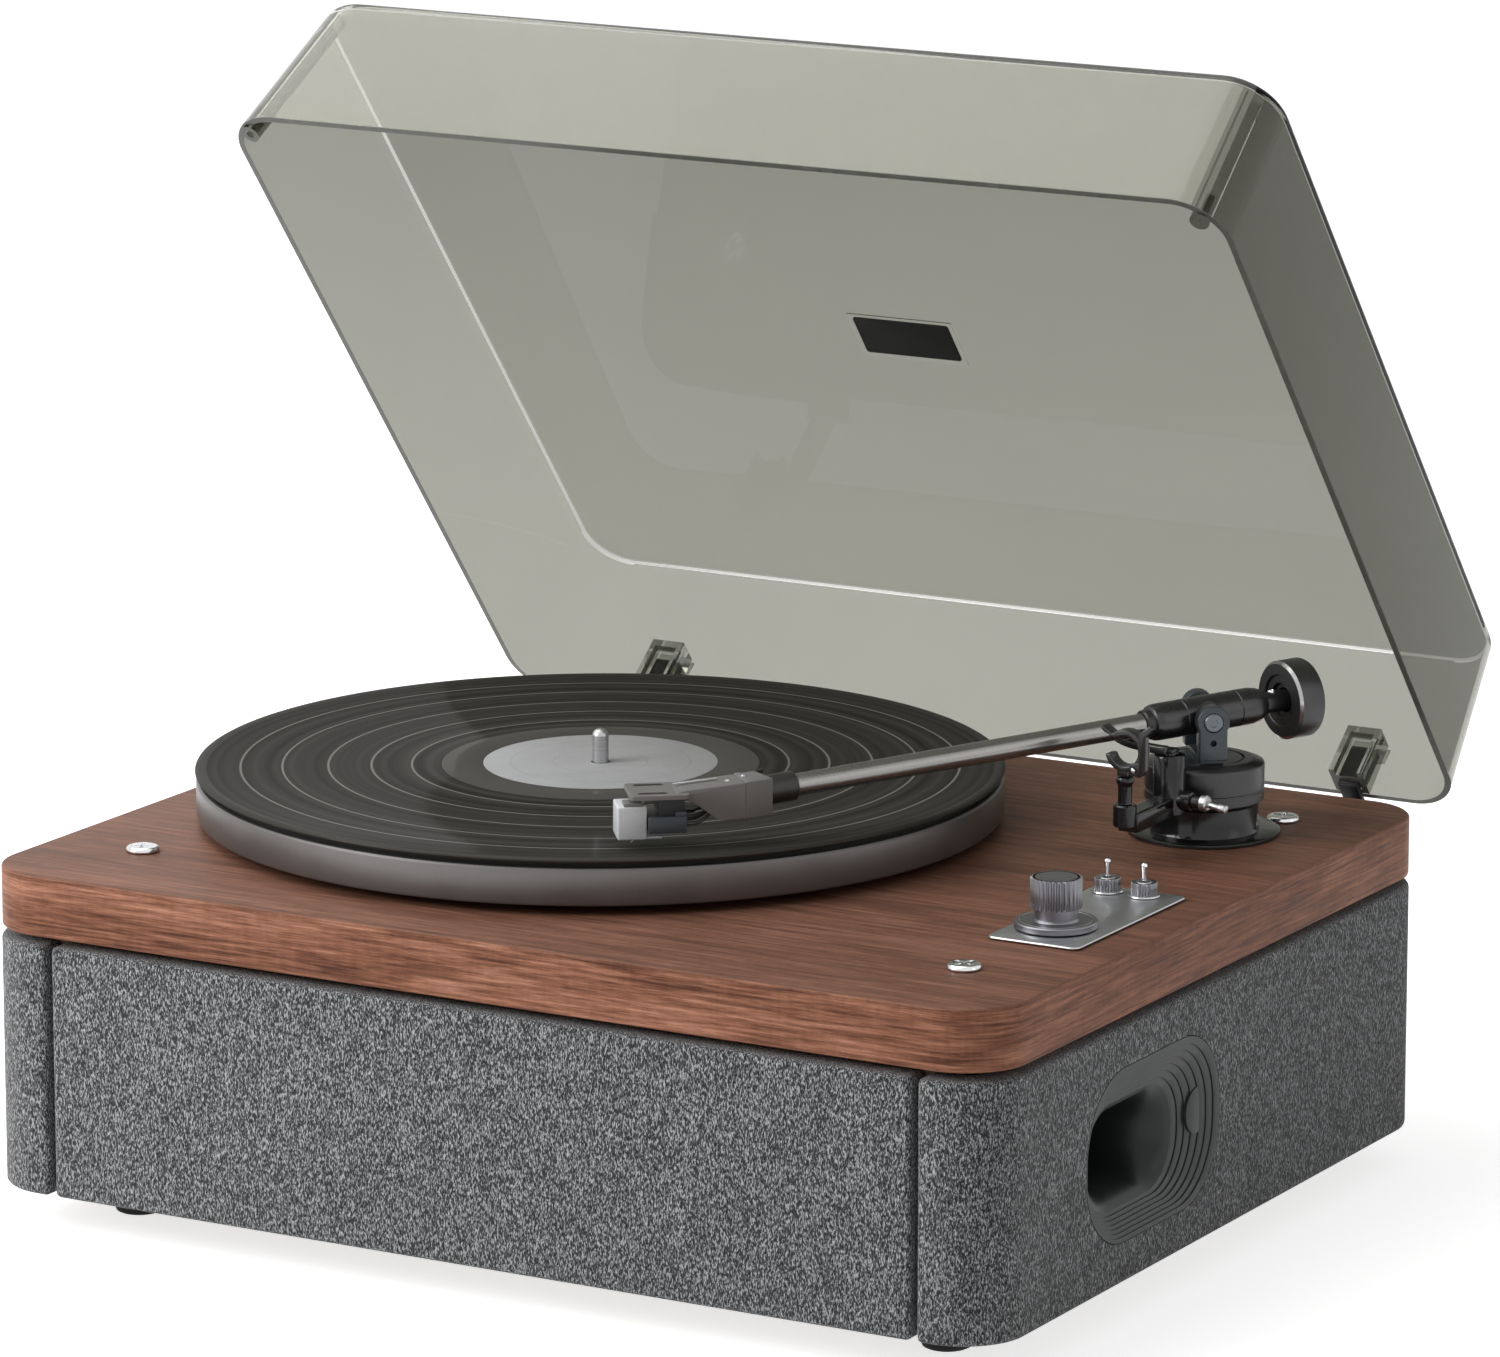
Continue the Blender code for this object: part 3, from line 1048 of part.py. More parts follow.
def build_arm_base():
    """Build the tonearm's flanged pillar with its sleeve, and the height collar on it."""
    base_profile = [
        (ARM_SLEEVE_BORE, ARM_PILLAR_TOP), (ARM_PILLAR_RADIUS, ARM_PILLAR_TOP),
        (ARM_PILLAR_RADIUS, ARM_FLANGE_HEIGHT),
        (ARM_FLANGE_RADIUS - SEAT_GAP, ARM_FLANGE_HEIGHT), (ARM_FLANGE_RADIUS, ARM_FLANGE_HEIGHT / 2),
        (ARM_FLANGE_RADIUS, SEAT_GAP), (ARM_SLEEVE_RADIUS, SEAT_GAP),
        (ARM_SLEEVE_RADIUS, -ARM_SLEEVE_LENGTH),
        (ARM_SLEEVE_BORE, -ARM_SLEEVE_LENGTH),
    ]
    add_part("arm_base", turned(base_profile, RING_STEPS, True), "arm_black", (ARM_X, ARM_Y, DECK_Z))
    bore = YOKE_DISC_RADIUS + SEAT_GAP
    bottom = ARM_PILLAR_TOP + SEAT_GAP
    edge = COLLAR_TOP - COLLAR_SIDE_TOP
    collar_profile = [
        (bore, COLLAR_TOP), (COLLAR_FLAT_RADIUS, COLLAR_TOP), (COLLAR_RADIUS, COLLAR_SIDE_TOP),
        (COLLAR_RADIUS, bottom + edge / 2), (COLLAR_RADIUS - edge / 2, bottom), (ARM_SLEEVE_BORE, bottom),
        (ARM_SLEEVE_BORE, COLLAR_TOP - YOKE_DISC_THICKNESS - RUNNING_GAP),
        (bore, COLLAR_TOP - YOKE_DISC_THICKNESS - RUNNING_GAP),
    ]
    add_part("arm_collar", turned(collar_profile, RING_STEPS, True), "arm_black", (ARM_X, ARM_Y, DECK_Z))

def ear_outline():
    """Return one ear of the yoke seen along the gimbal axis: a block with a round boss on top."""
    half = EAR_WIDTH / 2
    start = math.asin(half / EAR_RADIUS)
    points = [(-half, -EAR_DROP), (half, -EAR_DROP)]
    for step in range(ROD_STEPS + 1):
        angle = -math.pi / 2 + start + (math.tau - 2 * start) * step / ROD_STEPS
        points.append((EAR_RADIUS * math.cos(angle), EAR_RADIUS * math.sin(angle)))
    return points

def build_yoke(swing):
    """Build the turning yoke with its two ears and the pivot screws in them."""
    turn = math.radians(GIMBAL_BEARING_DEG - ARM_BEARING_DEG)
    disc_top = COLLAR_TOP - GIMBAL_RISE
    disc_profile = [
        (0, disc_top), (YOKE_DISC_RADIUS, disc_top), (YOKE_DISC_RADIUS, disc_top - YOKE_DISC_THICKNESS),
        (YOKE_SPINDLE_RADIUS, disc_top - YOKE_DISC_THICKNESS),
        (YOKE_SPINDLE_RADIUS, disc_top - YOKE_SPINDLE_LENGTH),
        (0, disc_top - YOKE_SPINDLE_LENGTH),
    ]
    yoke = add_part(
        "arm_yoke", turned(disc_profile, ROUND_STEPS), "screw_blue", rotation=(0, 0, turn), parent=swing,
    )
    foot_height = 2 * SEAT_GAP - EAR_DROP - disc_top
    foot_size = (2 * YOKE_FOOT_REACH, YOKE_FOOT_WIDTH, foot_height)
    foot = block(foot_size, (0, 0, disc_top + foot_height / 2 - SEAT_GAP))
    join_on(foot, yoke)
    upright = (math.pi / 2, 0, math.pi / 2)
    for sign, side in ((1, "near"), (-1, "far")):
        ear = prism(ear_outline(), sign * EAR_INNER, sign * EAR_OUTER)
        join_on(ear, yoke, rotation=upright)
        seat = cylinder(
            PIVOT_SCREW_RADIUS + SEAT_GAP, sign * (EAR_OUTER - PIVOT_SCREW_SEAT),
            sign * 2 * EAR_OUTER, ROUND_STEPS,
        )
        add_cutter(seat, yoke, rotation=upright)
        hole = prism(
            circle(EAR_HOLE_RADIUS, TINY_STEPS, (0, -EAR_HOLE_DROP)),
            sign * (EAR_OUTER - EAR_HOLE_DEPTH), sign * 2 * EAR_OUTER,
        )
        add_cutter(hole, yoke, rotation=upright)
        screw = cylinder(
            PIVOT_SCREW_RADIUS, sign * (EAR_OUTER - PIVOT_SCREW_SEAT + SEAT_GAP),
            sign * (EAR_OUTER + PIVOT_SCREW_PROUD), ROUND_STEPS,
        )
        screw_part = add_part(f"pivot_screw_{side}", screw, "screw_blue", rotation=upright, parent=swing)
        screw_part.rotation_euler = (math.pi / 2, 0, math.pi / 2 + turn)

def build_arm():
    """Build the tonearm on its two axes, with headshell, cartridge and counterweight."""
    swing = add_pivot(
        "arm_swing_axis", (ARM_X, ARM_Y, DECK_Z + GIMBAL_RISE), (0, 0, math.radians(ARM_BEARING_DEG)),
    )
    build_yoke(swing)
    lift = add_pivot("arm_lift_axis", (0, 0, 0), (0, math.radians(ARM_SLOPE_DEG), 0), swing)
    forward = (0, math.pi / 2, 0)
    housing_profile = [
        (0, HOUSING_HALF + FERRULE_LENGTH), (FERRULE_RADIUS, HOUSING_HALF + FERRULE_LENGTH),
        (FERRULE_RADIUS, HOUSING_HALF), (HOUSING_RADIUS - SEAT_GAP, HOUSING_HALF - HOUSING_TAPER / 3),
        (HOUSING_RADIUS, HOUSING_HALF - HOUSING_TAPER), (HOUSING_RADIUS, HOUSING_TAPER * 2 - HOUSING_HALF),
        (HOUSING_RADIUS - SEAT_GAP * 2, HOUSING_TAPER - HOUSING_HALF), (HOUSING_END_RADIUS, -HOUSING_HALF),
        (STUB_RADIUS, -HOUSING_HALF), (STUB_RADIUS, STUB_END), (0, STUB_END),
    ]
    housing = add_part("arm_housing", turned(housing_profile), "arm_black", rotation=forward, parent=lift)
    slope = math.radians(ARM_SLOPE_DEG)
    turn = math.radians(GIMBAL_BEARING_DEG - ARM_BEARING_DEG)
    axis = Vector((math.cos(turn) * math.cos(slope), math.sin(turn), math.cos(turn) * math.sin(slope)))
    axis_in_housing = Vector((-axis.z, axis.y, axis.x))
    trunnion = rod_between(
        -TRUNNION_REACH * axis_in_housing, TRUNNION_REACH * axis_in_housing, TRUNNION_RADIUS,
    )
    join_on(trunnion, housing)
    tube_profile = [
        (0, TUBE_COLLAR_END), (TUBE_COLLAR_RADIUS, TUBE_COLLAR_END), (TUBE_COLLAR_RADIUS, TUBE_END),
        (TUBE_RADIUS, TUBE_END), (TUBE_RADIUS, HOUSING_HALF + FERRULE_LENGTH + SEAT_GAP),
        (0, HOUSING_HALF + FERRULE_LENGTH + SEAT_GAP),
    ]
    add_part("arm_tube", turned(tube_profile, ROUND_STEPS), "arm_grey", rotation=forward, parent=lift)
    build_headshell(lift)
    build_counterweight(lift)

def build_counterweight(lift):
    """Build the counterweight, bored from its front face for the rear stub."""
    front = WEIGHT_FRONT
    rear = front - WEIGHT_LENGTH
    hub = rear - WEIGHT_HUB_LENGTH
    profile = [
        (0, rear + WEIGHT_EDGE), (WEIGHT_BORE_RADIUS, rear + WEIGHT_EDGE),
        (WEIGHT_BORE_RADIUS, front - WEIGHT_RECESS_DEPTH),
        (WEIGHT_RECESS_RADIUS, front - WEIGHT_RECESS_DEPTH),
        (WEIGHT_RECESS_RADIUS, front), (WEIGHT_RADIUS - WEIGHT_EDGE, front),
        (WEIGHT_RADIUS, front - WEIGHT_EDGE),
        (WEIGHT_RADIUS, rear + WEIGHT_EDGE), (WEIGHT_RADIUS - WEIGHT_EDGE, rear), (WEIGHT_HUB_RADIUS, rear),
        (WEIGHT_HUB_RADIUS - WEIGHT_EDGE, hub), (0, hub),
    ]
    add_part(
        "counterweight", turned(profile, RING_STEPS), "arm_black", rotation=(0, math.pi / 2, 0),
        parent=lift,
    )

def build_headshell(lift):
    """Build the angled headshell with the cartridge and its stylus block under it."""
    bend = add_pivot("headshell_bend", (SHELL_BEND, 0, 0), (0, 0, 0), lift)
    bend.rotation_euler = (0, -math.radians(ARM_SLOPE_DEG), math.radians(SHELL_OFFSET_DEG))
    upright = (math.pi / 2, 0, 0)
    wedge_outline = [
        (-SHELL_PLATE_BOTTOM, SHELL_BLOCK_BOTTOM), (SHELL_WEDGE_FLAT, SHELL_BLOCK_BOTTOM),
        (SHELL_WEDGE_LENGTH, SHELL_PLATE_BOTTOM), (SHELL_PLATE_END, SHELL_PLATE_BOTTOM),
        (SHELL_PLATE_END, SHELL_PLATE_TOP), (SHELL_WEDGE_LENGTH + SHELL_PLATE_TOP, SHELL_PLATE_TOP),
        (SHELL_WEDGE_LENGTH, SHELL_WEDGE_NOSE_TOP), (-SHELL_PLATE_BOTTOM, SHELL_BLOCK_TOP),
    ]
    half = SHELL_PLATE_WIDTH / 2
    headshell = add_part(
        "headshell", prism(wedge_outline, -half, half), "shell_grey", rotation=upright, parent=bend
    )
    side_cut = SHELL_PLATE_WIDTH - SHELL_BLOCK_WIDTH
    for sign in (-1, 1):
        cut = block(
            (SHELL_PLATE_END, 4 * SHELL_BLOCK_TOP, side_cut), (
                SHELL_WEDGE_LENGTH - SHELL_PLATE_END / 2, 0, sign * half,
            )
        )
        add_cutter(cut, headshell)
        slot = rounded_rectangle(SHELL_SLOT_LENGTH, SHELL_SLOT_WIDTH, SHELL_SLOT_WIDTH / 2, 4)
        add_cutter(
            prism(slot, -SHELL_BLOCK_TOP, SHELL_BLOCK_TOP), headshell,
            (SHELL_SLOT_CENTRE, 0, sign * SHELL_SLOT_SPACING / 2), (-math.pi / 2, 0, 0),
        )
    block_length = SHELL_BEND - TUBE_COLLAR_END - SEAT_GAP
    end_block = block(
        (block_length, SHELL_BLOCK_TOP - SHELL_BLOCK_BOTTOM, SHELL_BLOCK_WIDTH),
        (-block_length / 2, (SHELL_BLOCK_TOP + SHELL_BLOCK_BOTTOM) / 2, 0),
    )
    join_on(end_block, headshell, rotation=(0, -math.radians(SHELL_OFFSET_DEG), 0))
    build_cartridge(bend, upright)

def build_cartridge(bend, upright):
    """Build the cartridge body and the white stylus block with its tip."""
    half = CARTRIDGE_WIDTH / 2
    top = SHELL_PLATE_BOTTOM - SEAT_GAP
    body = [
        (CARTRIDGE_REAR, CARTRIDGE_BOTTOM), (CARTRIDGE_FRONT, CARTRIDGE_BOTTOM),
        (CARTRIDGE_FRONT, CARTRIDGE_STEP),
        (CARTRIDGE_NECK_FRONT, CARTRIDGE_STEP), (CARTRIDGE_NECK_FRONT, top), (CARTRIDGE_REAR, top),
    ]
    add_part("cartridge", prism(body, -half, half), "cartridge_blue", rotation=upright, parent=bend)
    rear = CARTRIDGE_FRONT + SEAT_GAP
    stylus = add_part(
        "stylus_block",
        block(
            (STYLUS_FRONT - rear, STYLUS_WIDTH, STYLUS_TOP - STYLUS_BOTTOM),
            ((STYLUS_FRONT + rear) / 2, 0, (STYLUS_TOP + STYLUS_BOTTOM) / 2), STYLUS_EDGE,
        ),
        "stylus_white", parent=bend,
    )
    tip = rod_between(
        (CARTRIDGE_FRONT + STYLUS_TIP_RADIUS * 4, 0, STYLUS_BOTTOM + STYLUS_TIP_RADIUS),
        (STYLUS_TIP_X, 0, STYLUS_BOTTOM - STYLUS_TIP_DROP), STYLUS_TIP_RADIUS, TIP_STEPS,
    )
    join_on(tip, stylus)

def build_cueing():
    """Build the cueing bracket with its lift cylinder, the lift bar and the cueing lever."""
    start_y = -COLLAR_RADIUS - SEAT_GAP
    bracket = add_part(
        "cue_bracket", cylinder(REST_CUP_RADIUS, REST_CUP_BOTTOM, REST_CUP_TOP, ROUND_STEPS, SEAT_GAP),
        "arm_black",
        (ARM_X, ARM_Y, DECK_Z),
    )
    bracket.data.transform(Matrix.Translation((REST_X, REST_Y, 0)))
    bar_top = BRACKET_TOP
    bar = block(
        (BRACKET_WIDTH, start_y - REST_Y, bar_top - BRACKET_BOTTOM),
        (0, (start_y + REST_Y) / 2, (bar_top + BRACKET_BOTTOM) / 2),
    )
    join_on(bar, bracket)
    clearance = cylinder(COLLAR_RADIUS + SEAT_GAP, 0, 2 * BRACKET_TOP, RING_STEPS)
    join_on(cylinder(LIFT_CYLINDER_RADIUS, BRACKET_BOTTOM, LIFT_CYLINDER_TOP), bracket, (0, LIFT_Y, 0))
    boss = rod_between(
        (0, LIFT_Y, CUE_SHAFT_Z), (CUE_BOSS_END, LIFT_Y, CUE_SHAFT_Z), CUE_BOSS_RADIUS, ROD_STEPS,
    )
    join_on(boss, bracket)
    add_cutter(clearance, bracket)
    bore_bottom = LIFT_BAR_TOP - LIFT_BAR_THICKNESS - LIFT_ROD_LENGTH - RUNNING_GAP
    add_cutter(
        cylinder(LIFT_BORE_RADIUS, bore_bottom, 2 * LIFT_CYLINDER_TOP, ROUND_STEPS), bracket,
        (0, LIFT_Y, 0),
    )
    shaft_bore = rod_between(
        (LIFT_CYLINDER_RADIUS / 2, LIFT_Y, CUE_SHAFT_Z), (2 * CUE_BOSS_END, LIFT_Y, CUE_SHAFT_Z),
        CUE_SHAFT_RADIUS + RUNNING_GAP, ROD_STEPS,
    )
    add_cutter(shaft_bore, bracket)
    build_lift_bar()
    build_cue_lever()

def build_lift_bar():
    """Build the curved lift bar with the rod that slides in the cylinder."""
    start, end = (math.radians(bearing) for bearing in LIFT_BAR_BEARINGS_DEG)
    shares = [step / LIFT_BAR_STEPS for step in range(LIFT_BAR_STEPS + 1)]
    bearings = [start + (end - start) * share for share in shares]
    outline = [(LIFT_BAR_OUTER * math.cos(b), LIFT_BAR_OUTER * math.sin(b)) for b in bearings]
    outline += [(LIFT_BAR_INNER * math.cos(b), LIFT_BAR_INNER * math.sin(b)) for b in reversed(bearings)]
    bottom = LIFT_BAR_TOP - LIFT_BAR_THICKNESS
    bar = add_part(
        "lift_bar", prism(outline, bottom, LIFT_BAR_TOP, SEAT_GAP), "arm_black", (ARM_X, ARM_Y, DECK_Z),
    )
    near = LIFT_Y + LIFT_ROD_RADIUS
    far = -LIFT_BAR_INNER - LIFT_BRIDGE_LAP
    size = (2 * LIFT_ROD_RADIUS, near - far, LIFT_BRIDGE_THICKNESS)
    join_on(block(size, (0, (near + far) / 2, bottom + LIFT_BRIDGE_LAP)), bar)
    rod_top = bottom + LIFT_BRIDGE_LAP / 2
    join_on(cylinder(LIFT_ROD_RADIUS, bottom - LIFT_ROD_LENGTH, rod_top, ROD_STEPS), bar, (0, LIFT_Y, 0))

def build_cue_lever():
    """Build the cueing lever: shaft, chrome cap and cranked handle."""
    pivot = add_pivot("cue_lever_axis", (ARM_X, ARM_Y + LIFT_Y, DECK_Z + CUE_SHAFT_Z))
    shaft_start = LIFT_CYLINDER_RADIUS / 2 + RUNNING_GAP
    lever = add_part(
        "cue_lever",
        rod_between((shaft_start, 0, 0), (CUE_CAP_X[0] + SEAT_GAP, 0, 0), CUE_SHAFT_RADIUS, ROD_STEPS),
        "chrome", parent=pivot,
    )
    join_on(rod_between((CUE_CAP_X[0], 0, 0), (CUE_CAP_X[1], 0, 0), CUE_CAP_RADIUS, ROD_STEPS), lever)
    handle_start = (sum(CUE_CAP_X) / 2, 0, 0)
    handle_end = (CUE_CAP_X[1] + CUE_HANDLE_LENGTH, -CUE_HANDLE_OFFSET, -CUE_HANDLE_OFFSET)
    join_on(rod_between(handle_start, handle_end, CUE_HANDLE_RADIUS, SMALL_STEPS), lever)

def build_arm_rest():
    """Build the rest post, its C-shaped clip and the hook latch on the clip's pin."""
    x = ARM_X + REST_X
    y = ARM_Y + REST_Y
    post_bottom = REST_CUP_TOP + SEAT_GAP
    post_profile = [
        (0, REST_POST_TOP), (REST_POST_RADIUS * LEVER_TIP_SHARE, REST_POST_TOP),
        (REST_POST_RADIUS, REST_POST_TOP - FOOT_EDGE),
        (REST_POST_RADIUS, post_bottom), (0, post_bottom),
    ]
    add_part("rest_post", turned(post_profile, SMALL_STEPS), "arm_black", (x, y, DECK_Z))
    outline = clip_outline()
    upright = (math.pi / 2, 0, 0)
    clip = add_part(
        "rest_clip", prism(outline, -CLIP_WIDTH / 2, CLIP_WIDTH / 2), "arm_black",
        (x, y, DECK_Z + CLIP_CENTRE_Z), upright,
    )
    stem_bottom = REST_POST_TOP + SEAT_GAP - CLIP_CENTRE_Z
    stem_top = -CLIP_INNER - SEAT_GAP * 2
    stem = block(
        (CLIP_STEM_WIDTH, stem_top - stem_bottom, CLIP_WIDTH - 2 * SEAT_GAP),
        (0, (stem_top + stem_bottom) / 2, 0)

    )
    join_on(stem, clip)
    lug = cylinder(LATCH_PIN_RADIUS * 2, -CLIP_WIDTH / 2 + SEAT_GAP, CLIP_WIDTH / 2 - SEAT_GAP, SMALL_STEPS)
    join_on(lug, clip, (LATCH_PIN_X, LATCH_PIN_Z, 0))
    pin = cylinder(LATCH_PIN_RADIUS, 0, CLIP_WIDTH / 2 + LATCH_WIDTH + 2 * RUNNING_GAP, SMALL_STEPS)
    join_on(pin, clip, (LATCH_PIN_X, LATCH_PIN_Z, 0))
    latch_front = CLIP_WIDTH / 2 + RUNNING_GAP
    add_part(
        "rest_latch",
        plate(
            [LATCH_OUTLINE, circle(LATCH_PIN_RADIUS + RUNNING_GAP, SMALL_STEPS)], latch_front,
            latch_front + LATCH_WIDTH,
        ),
        "arm_black", (x + LATCH_PIN_X, y, DECK_Z + CLIP_CENTRE_Z + LATCH_PIN_Z), upright,
    )

def clip_outline():
    """Return the clip seen from the front: a C open to the left, with a guide finger on its upper end."""
    opening = math.radians(CLIP_OPENING_DEG)
    steps = ROD_STEPS
    angles = [math.pi + opening + (math.tau - 2 * opening) * step / steps for step in range(steps + 1)]
    outer = [(CLIP_OUTER * math.cos(a), CLIP_OUTER * math.sin(a)) for a in angles]
    inner = [(CLIP_INNER * math.cos(a), CLIP_INNER * math.sin(a)) for a in reversed(angles)]
    tip_outer = outer[-1]
    tip_inner = inner[0]
    finger = [
        (tip_outer[0] - CLIP_FINGER_LENGTH, tip_outer[1] + CLIP_FINGER_LENGTH / 3),
        (tip_inner[0] - CLIP_FINGER_LENGTH, tip_inner[1] + CLIP_FINGER_LENGTH / 2),
    ]
    return outer + finger + inner

def build_cover():
    """Build the dust cover opened on its hinge: shell, hinge sockets, corner posts and plate recess."""
    pivot = add_pivot("cover_axis", (0, PIVOT_Y, PIVOT_Z), (-math.radians(COVER_OPEN_DEG), 0, 0))
    rim_z = DECK_Z + COVER_RIM_LIFT - PIVOT_Z
    back_y = COVER_BACK_Y - PIVOT_Y
    inset = COVER_HEIGHT * math.tan(math.radians(COVER_DRAFT_DEG))
    bm = bmesh.new()
    bmesh.ops.create_cube(bm, size=1.0)
    bmesh.ops.scale(bm, vec=(COVER_WIDTH, COVER_DEPTH, COVER_HEIGHT), verts=bm.verts)
    upper = [vert for vert in bm.verts if vert.co.z > 0]
    share = (1 - 2 * inset / COVER_WIDTH, 1 - 2 * inset / COVER_DEPTH, 1.0)
    bmesh.ops.scale(bm, vec=share, verts=upper)
    uprights = [edge for edge in bm.edges if edge.verts[0].co.z * edge.verts[1].co.z < 0]
    bmesh.ops.bevel(
        bm, geom=uprights, offset=COVER_CORNER, segments=COVER_CORNER_STEPS, profile=0.5, affect="EDGES",
    )
    top_z = max(vert.co.z for vert in bm.verts)
    rim = [edge for edge in bm.edges if all(vert.co.z > top_z - SEAT_GAP for vert in edge.verts)]
    bmesh.ops.bevel(
        bm, geom=rim, offset=COVER_TOP_EDGE, segments=COVER_EDGE_STEPS, profile=0.5, affect="EDGES",
    )
    low_z = SEAT_GAP - COVER_HEIGHT / 2
    bottom = [face for face in bm.faces if all(vert.co.z < low_z for vert in face.verts)]
    bmesh.ops.delete(bm, geom=bottom, context="FACES_ONLY")
    bmesh.ops.translate(bm, vec=(0, -COVER_DEPTH / 2, COVER_HEIGHT / 2), verts=bm.verts)
    mesh = bpy.data.meshes.new("cover")
    bmesh.ops.recalc_face_normals(bm, faces=bm.faces)
    bm.to_mesh(mesh)
    bm.free()
    cover = add_part("dust_cover", mesh, "smoked_acrylic", (0, back_y, rim_z), parent=pivot)
    shell = cover.modifiers.new("wall", "SOLIDIFY")
    shell.thickness = COVER_WALL
    shell.offset = -1
    shell.use_even_offset = True
    add_cover_details(cover, inset)
    for side, x in SOCKETS.items():
        build_hinge_arm(side, x, pivot, rim_z, back_y)
        build_hinge_bracket(side, x)

def add_cover_details(cover, inset):
    """Join the corner posts and hinge sockets on to the cover and cut its plate recess."""
    lean = inset * (COVER_HEIGHT - COVER_WALL / 2) / COVER_HEIGHT
    recess = block(
        (*PLATE_RECESS_SIZE, 2 * PLATE_RECESS_DEPTH),
        (PLATE_RECESS_X, -PLATE_RECESS_FORWARD, COVER_HEIGHT - COVER_WALL),
    )
    add_cutter(recess, cover)
    front_y = POST_INSET_Y - COVER_DEPTH
    for sign in (-1, 1):
        post_x = COVER_WIDTH / 2 - POST_INSET_X
        foot = Vector((sign * post_x, front_y, POST_FOOT_CLEARANCE - COVER_RIM_LIFT))
        head = Vector((sign * (post_x - lean), front_y + lean, COVER_HEIGHT - COVER_WALL / 2))
        join_on(rod_between(foot, head, POST_RADIUS, ROUND_STEPS), cover)
        bore_end = foot + (head - foot).normalized() * POST_BORE_DEPTH
        bore_start = foot - (head - foot).normalized() * POST_BORE_RADIUS
        add_cutter(rod_between(bore_start, bore_end, POST_BORE_RADIUS, SMALL_STEPS), cover)
    for x in SOCKETS.values():
        add_socket(cover, x)

def add_socket(cover, x):
    """Add one hinge socket inside the cover's back wall."""
    near = -COVER_WALL
    far = near - SOCKET_DEPTH
    wall_overlap = COVER_WALL / 2
    body = block(
        (SOCKET_WIDTH, SOCKET_DEPTH + wall_overlap, SOCKET_HEIGHT),
        (x, (near + far + wall_overlap) / 2, SOCKET_HEIGHT / 2),
    )
    join_on(body, cover)
    recess = block(
        (SOCKET_RECESS_WIDTH, 2 * SOCKET_RECESS_DEPTH, SOCKET_RECESS_TOP), (
            x, far, SOCKET_RECESS_TOP / 2 - SEAT_GAP,
        )
    )
    bore = block(
        (SOCKET_BORE_WIDTH, SOCKET_BORE_FAR - SOCKET_BORE_NEAR, 2 * SOCKET_BORE_TOP),
        (x, near - SOCKET_DEPTH + (SOCKET_BORE_FAR + SOCKET_BORE_NEAR) / 2, 0),
    )
    add_cutter(recess, cover)
    add_cutter(bore, cover)

def build_hinge_arm(side, x, pivot, rim_z, back_y):
    """Build one hinge arm: eye round the pin, leg, crank over the board and tongue in the socket."""
    crank_bottom = DECK_Z - PIVOT_Z + RUNNING_GAP
    crank_top = crank_bottom + HINGE_CRANK_THICKNESS
    socket_far = back_y - COVER_WALL - SOCKET_DEPTH
    tongue_front = socket_far + SOCKET_BORE_NEAR + RUNNING_GAP
    tongue_back = socket_far + SOCKET_BORE_FAR - RUNNING_GAP
    tongue_top = rim_z + SOCKET_BORE_TOP - RUNNING_GAP
    eye = []
    start = math.acos(HINGE_LEG_BACK / HINGE_EYE_RADIUS)
    end = math.acos(HINGE_LEG_FRONT / HINGE_EYE_RADIUS)
    for step in range(SMALL_STEPS + 1):
        angle = start - (math.tau - end + start) * step / SMALL_STEPS
        eye.append((HINGE_EYE_RADIUS * math.cos(angle), HINGE_EYE_RADIUS * math.sin(angle)))
    outline = eye + [
        (HINGE_LEG_FRONT, crank_bottom), (tongue_front, crank_bottom), (tongue_front, tongue_top),
        (tongue_back, tongue_top), (tongue_back, crank_top), (HINGE_LEG_BACK, crank_top),
    ]
    hole = circle(HINGE_BORE_RADIUS, SMALL_STEPS)
    half = HINGE_ARM_WIDTH / 2
    add_part(
        f"hinge_arm_{side}", plate([outline, hole], -half, half), "black_plastic", (x, 0, 0),
        (math.pi / 2, 0, math.pi / 2), pivot,
    )

def build_hinge_bracket(side, x):
    """Build one hinge bracket: plate on the back panel, two lugs and the pin between them."""
    plate_front = CABINET_DEPTH / 2 - BACK_RECESS + SEAT_GAP - PIVOT_Y
    plate_back = plate_front + HINGE_BRACKET_THICKNESS
    bracket = add_part(
        f"hinge_bracket_{side}",
        block(
            (HINGE_BRACKET_WIDTH, HINGE_BRACKET_THICKNESS, HINGE_BRACKET_HEIGHT),
            (0, (plate_front + plate_back) / 2, -HINGE_BRACKET_HEIGHT / 4),
        ),
        "black_plastic", (x, PIVOT_Y, PIVOT_Z),
    )
    lug_inner = HINGE_ARM_WIDTH / 2 + HINGE_LUG_GAP
    lug_outer = lug_inner + HINGE_LUG_THICKNESS
    lug_end = HINGE_EYE_RADIUS + SEAT_GAP
    for sign in (-1, 1):
        lug = block(
            (HINGE_LUG_THICKNESS, lug_end - plate_front, 2 * HINGE_EYE_RADIUS),
            (sign * (lug_inner + lug_outer) / 2, (lug_end + plate_front) / 2 + SEAT_GAP, 0),
        )
        join_on(lug, bracket)
    reach = (lug_inner + lug_outer) / 2
    join_on(rod_between((-reach, 0, 0), (reach, 0, 0), HINGE_PIN_RADIUS, SMALL_STEPS), bracket)

def main():
    """Build the whole record player."""
    build_cabinet()
    build_top_board()
    build_feet_and_screws()
    build_speakers()
    build_ports()
    build_electronics()
    build_drive()
    build_platter()
    build_controls()
    build_arm_base()
    build_arm()
    build_cueing()
    build_arm_rest()
    build_cover()

clear_scene()
PARTS = new_collection("record_player_with_speakers")
CUTTERS = new_collection("cutters", hidden=True)
main()
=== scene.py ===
"""Record player with speakers: the finished look of its cabinet, deck, tonearm and dust cover.

Lengths are in metres, with +Z up, X to the right and Y to the back. The origin is the centre of the base
panel's underside, and each piece's place is in its mesh.
"""

from __future__ import annotations

import sys

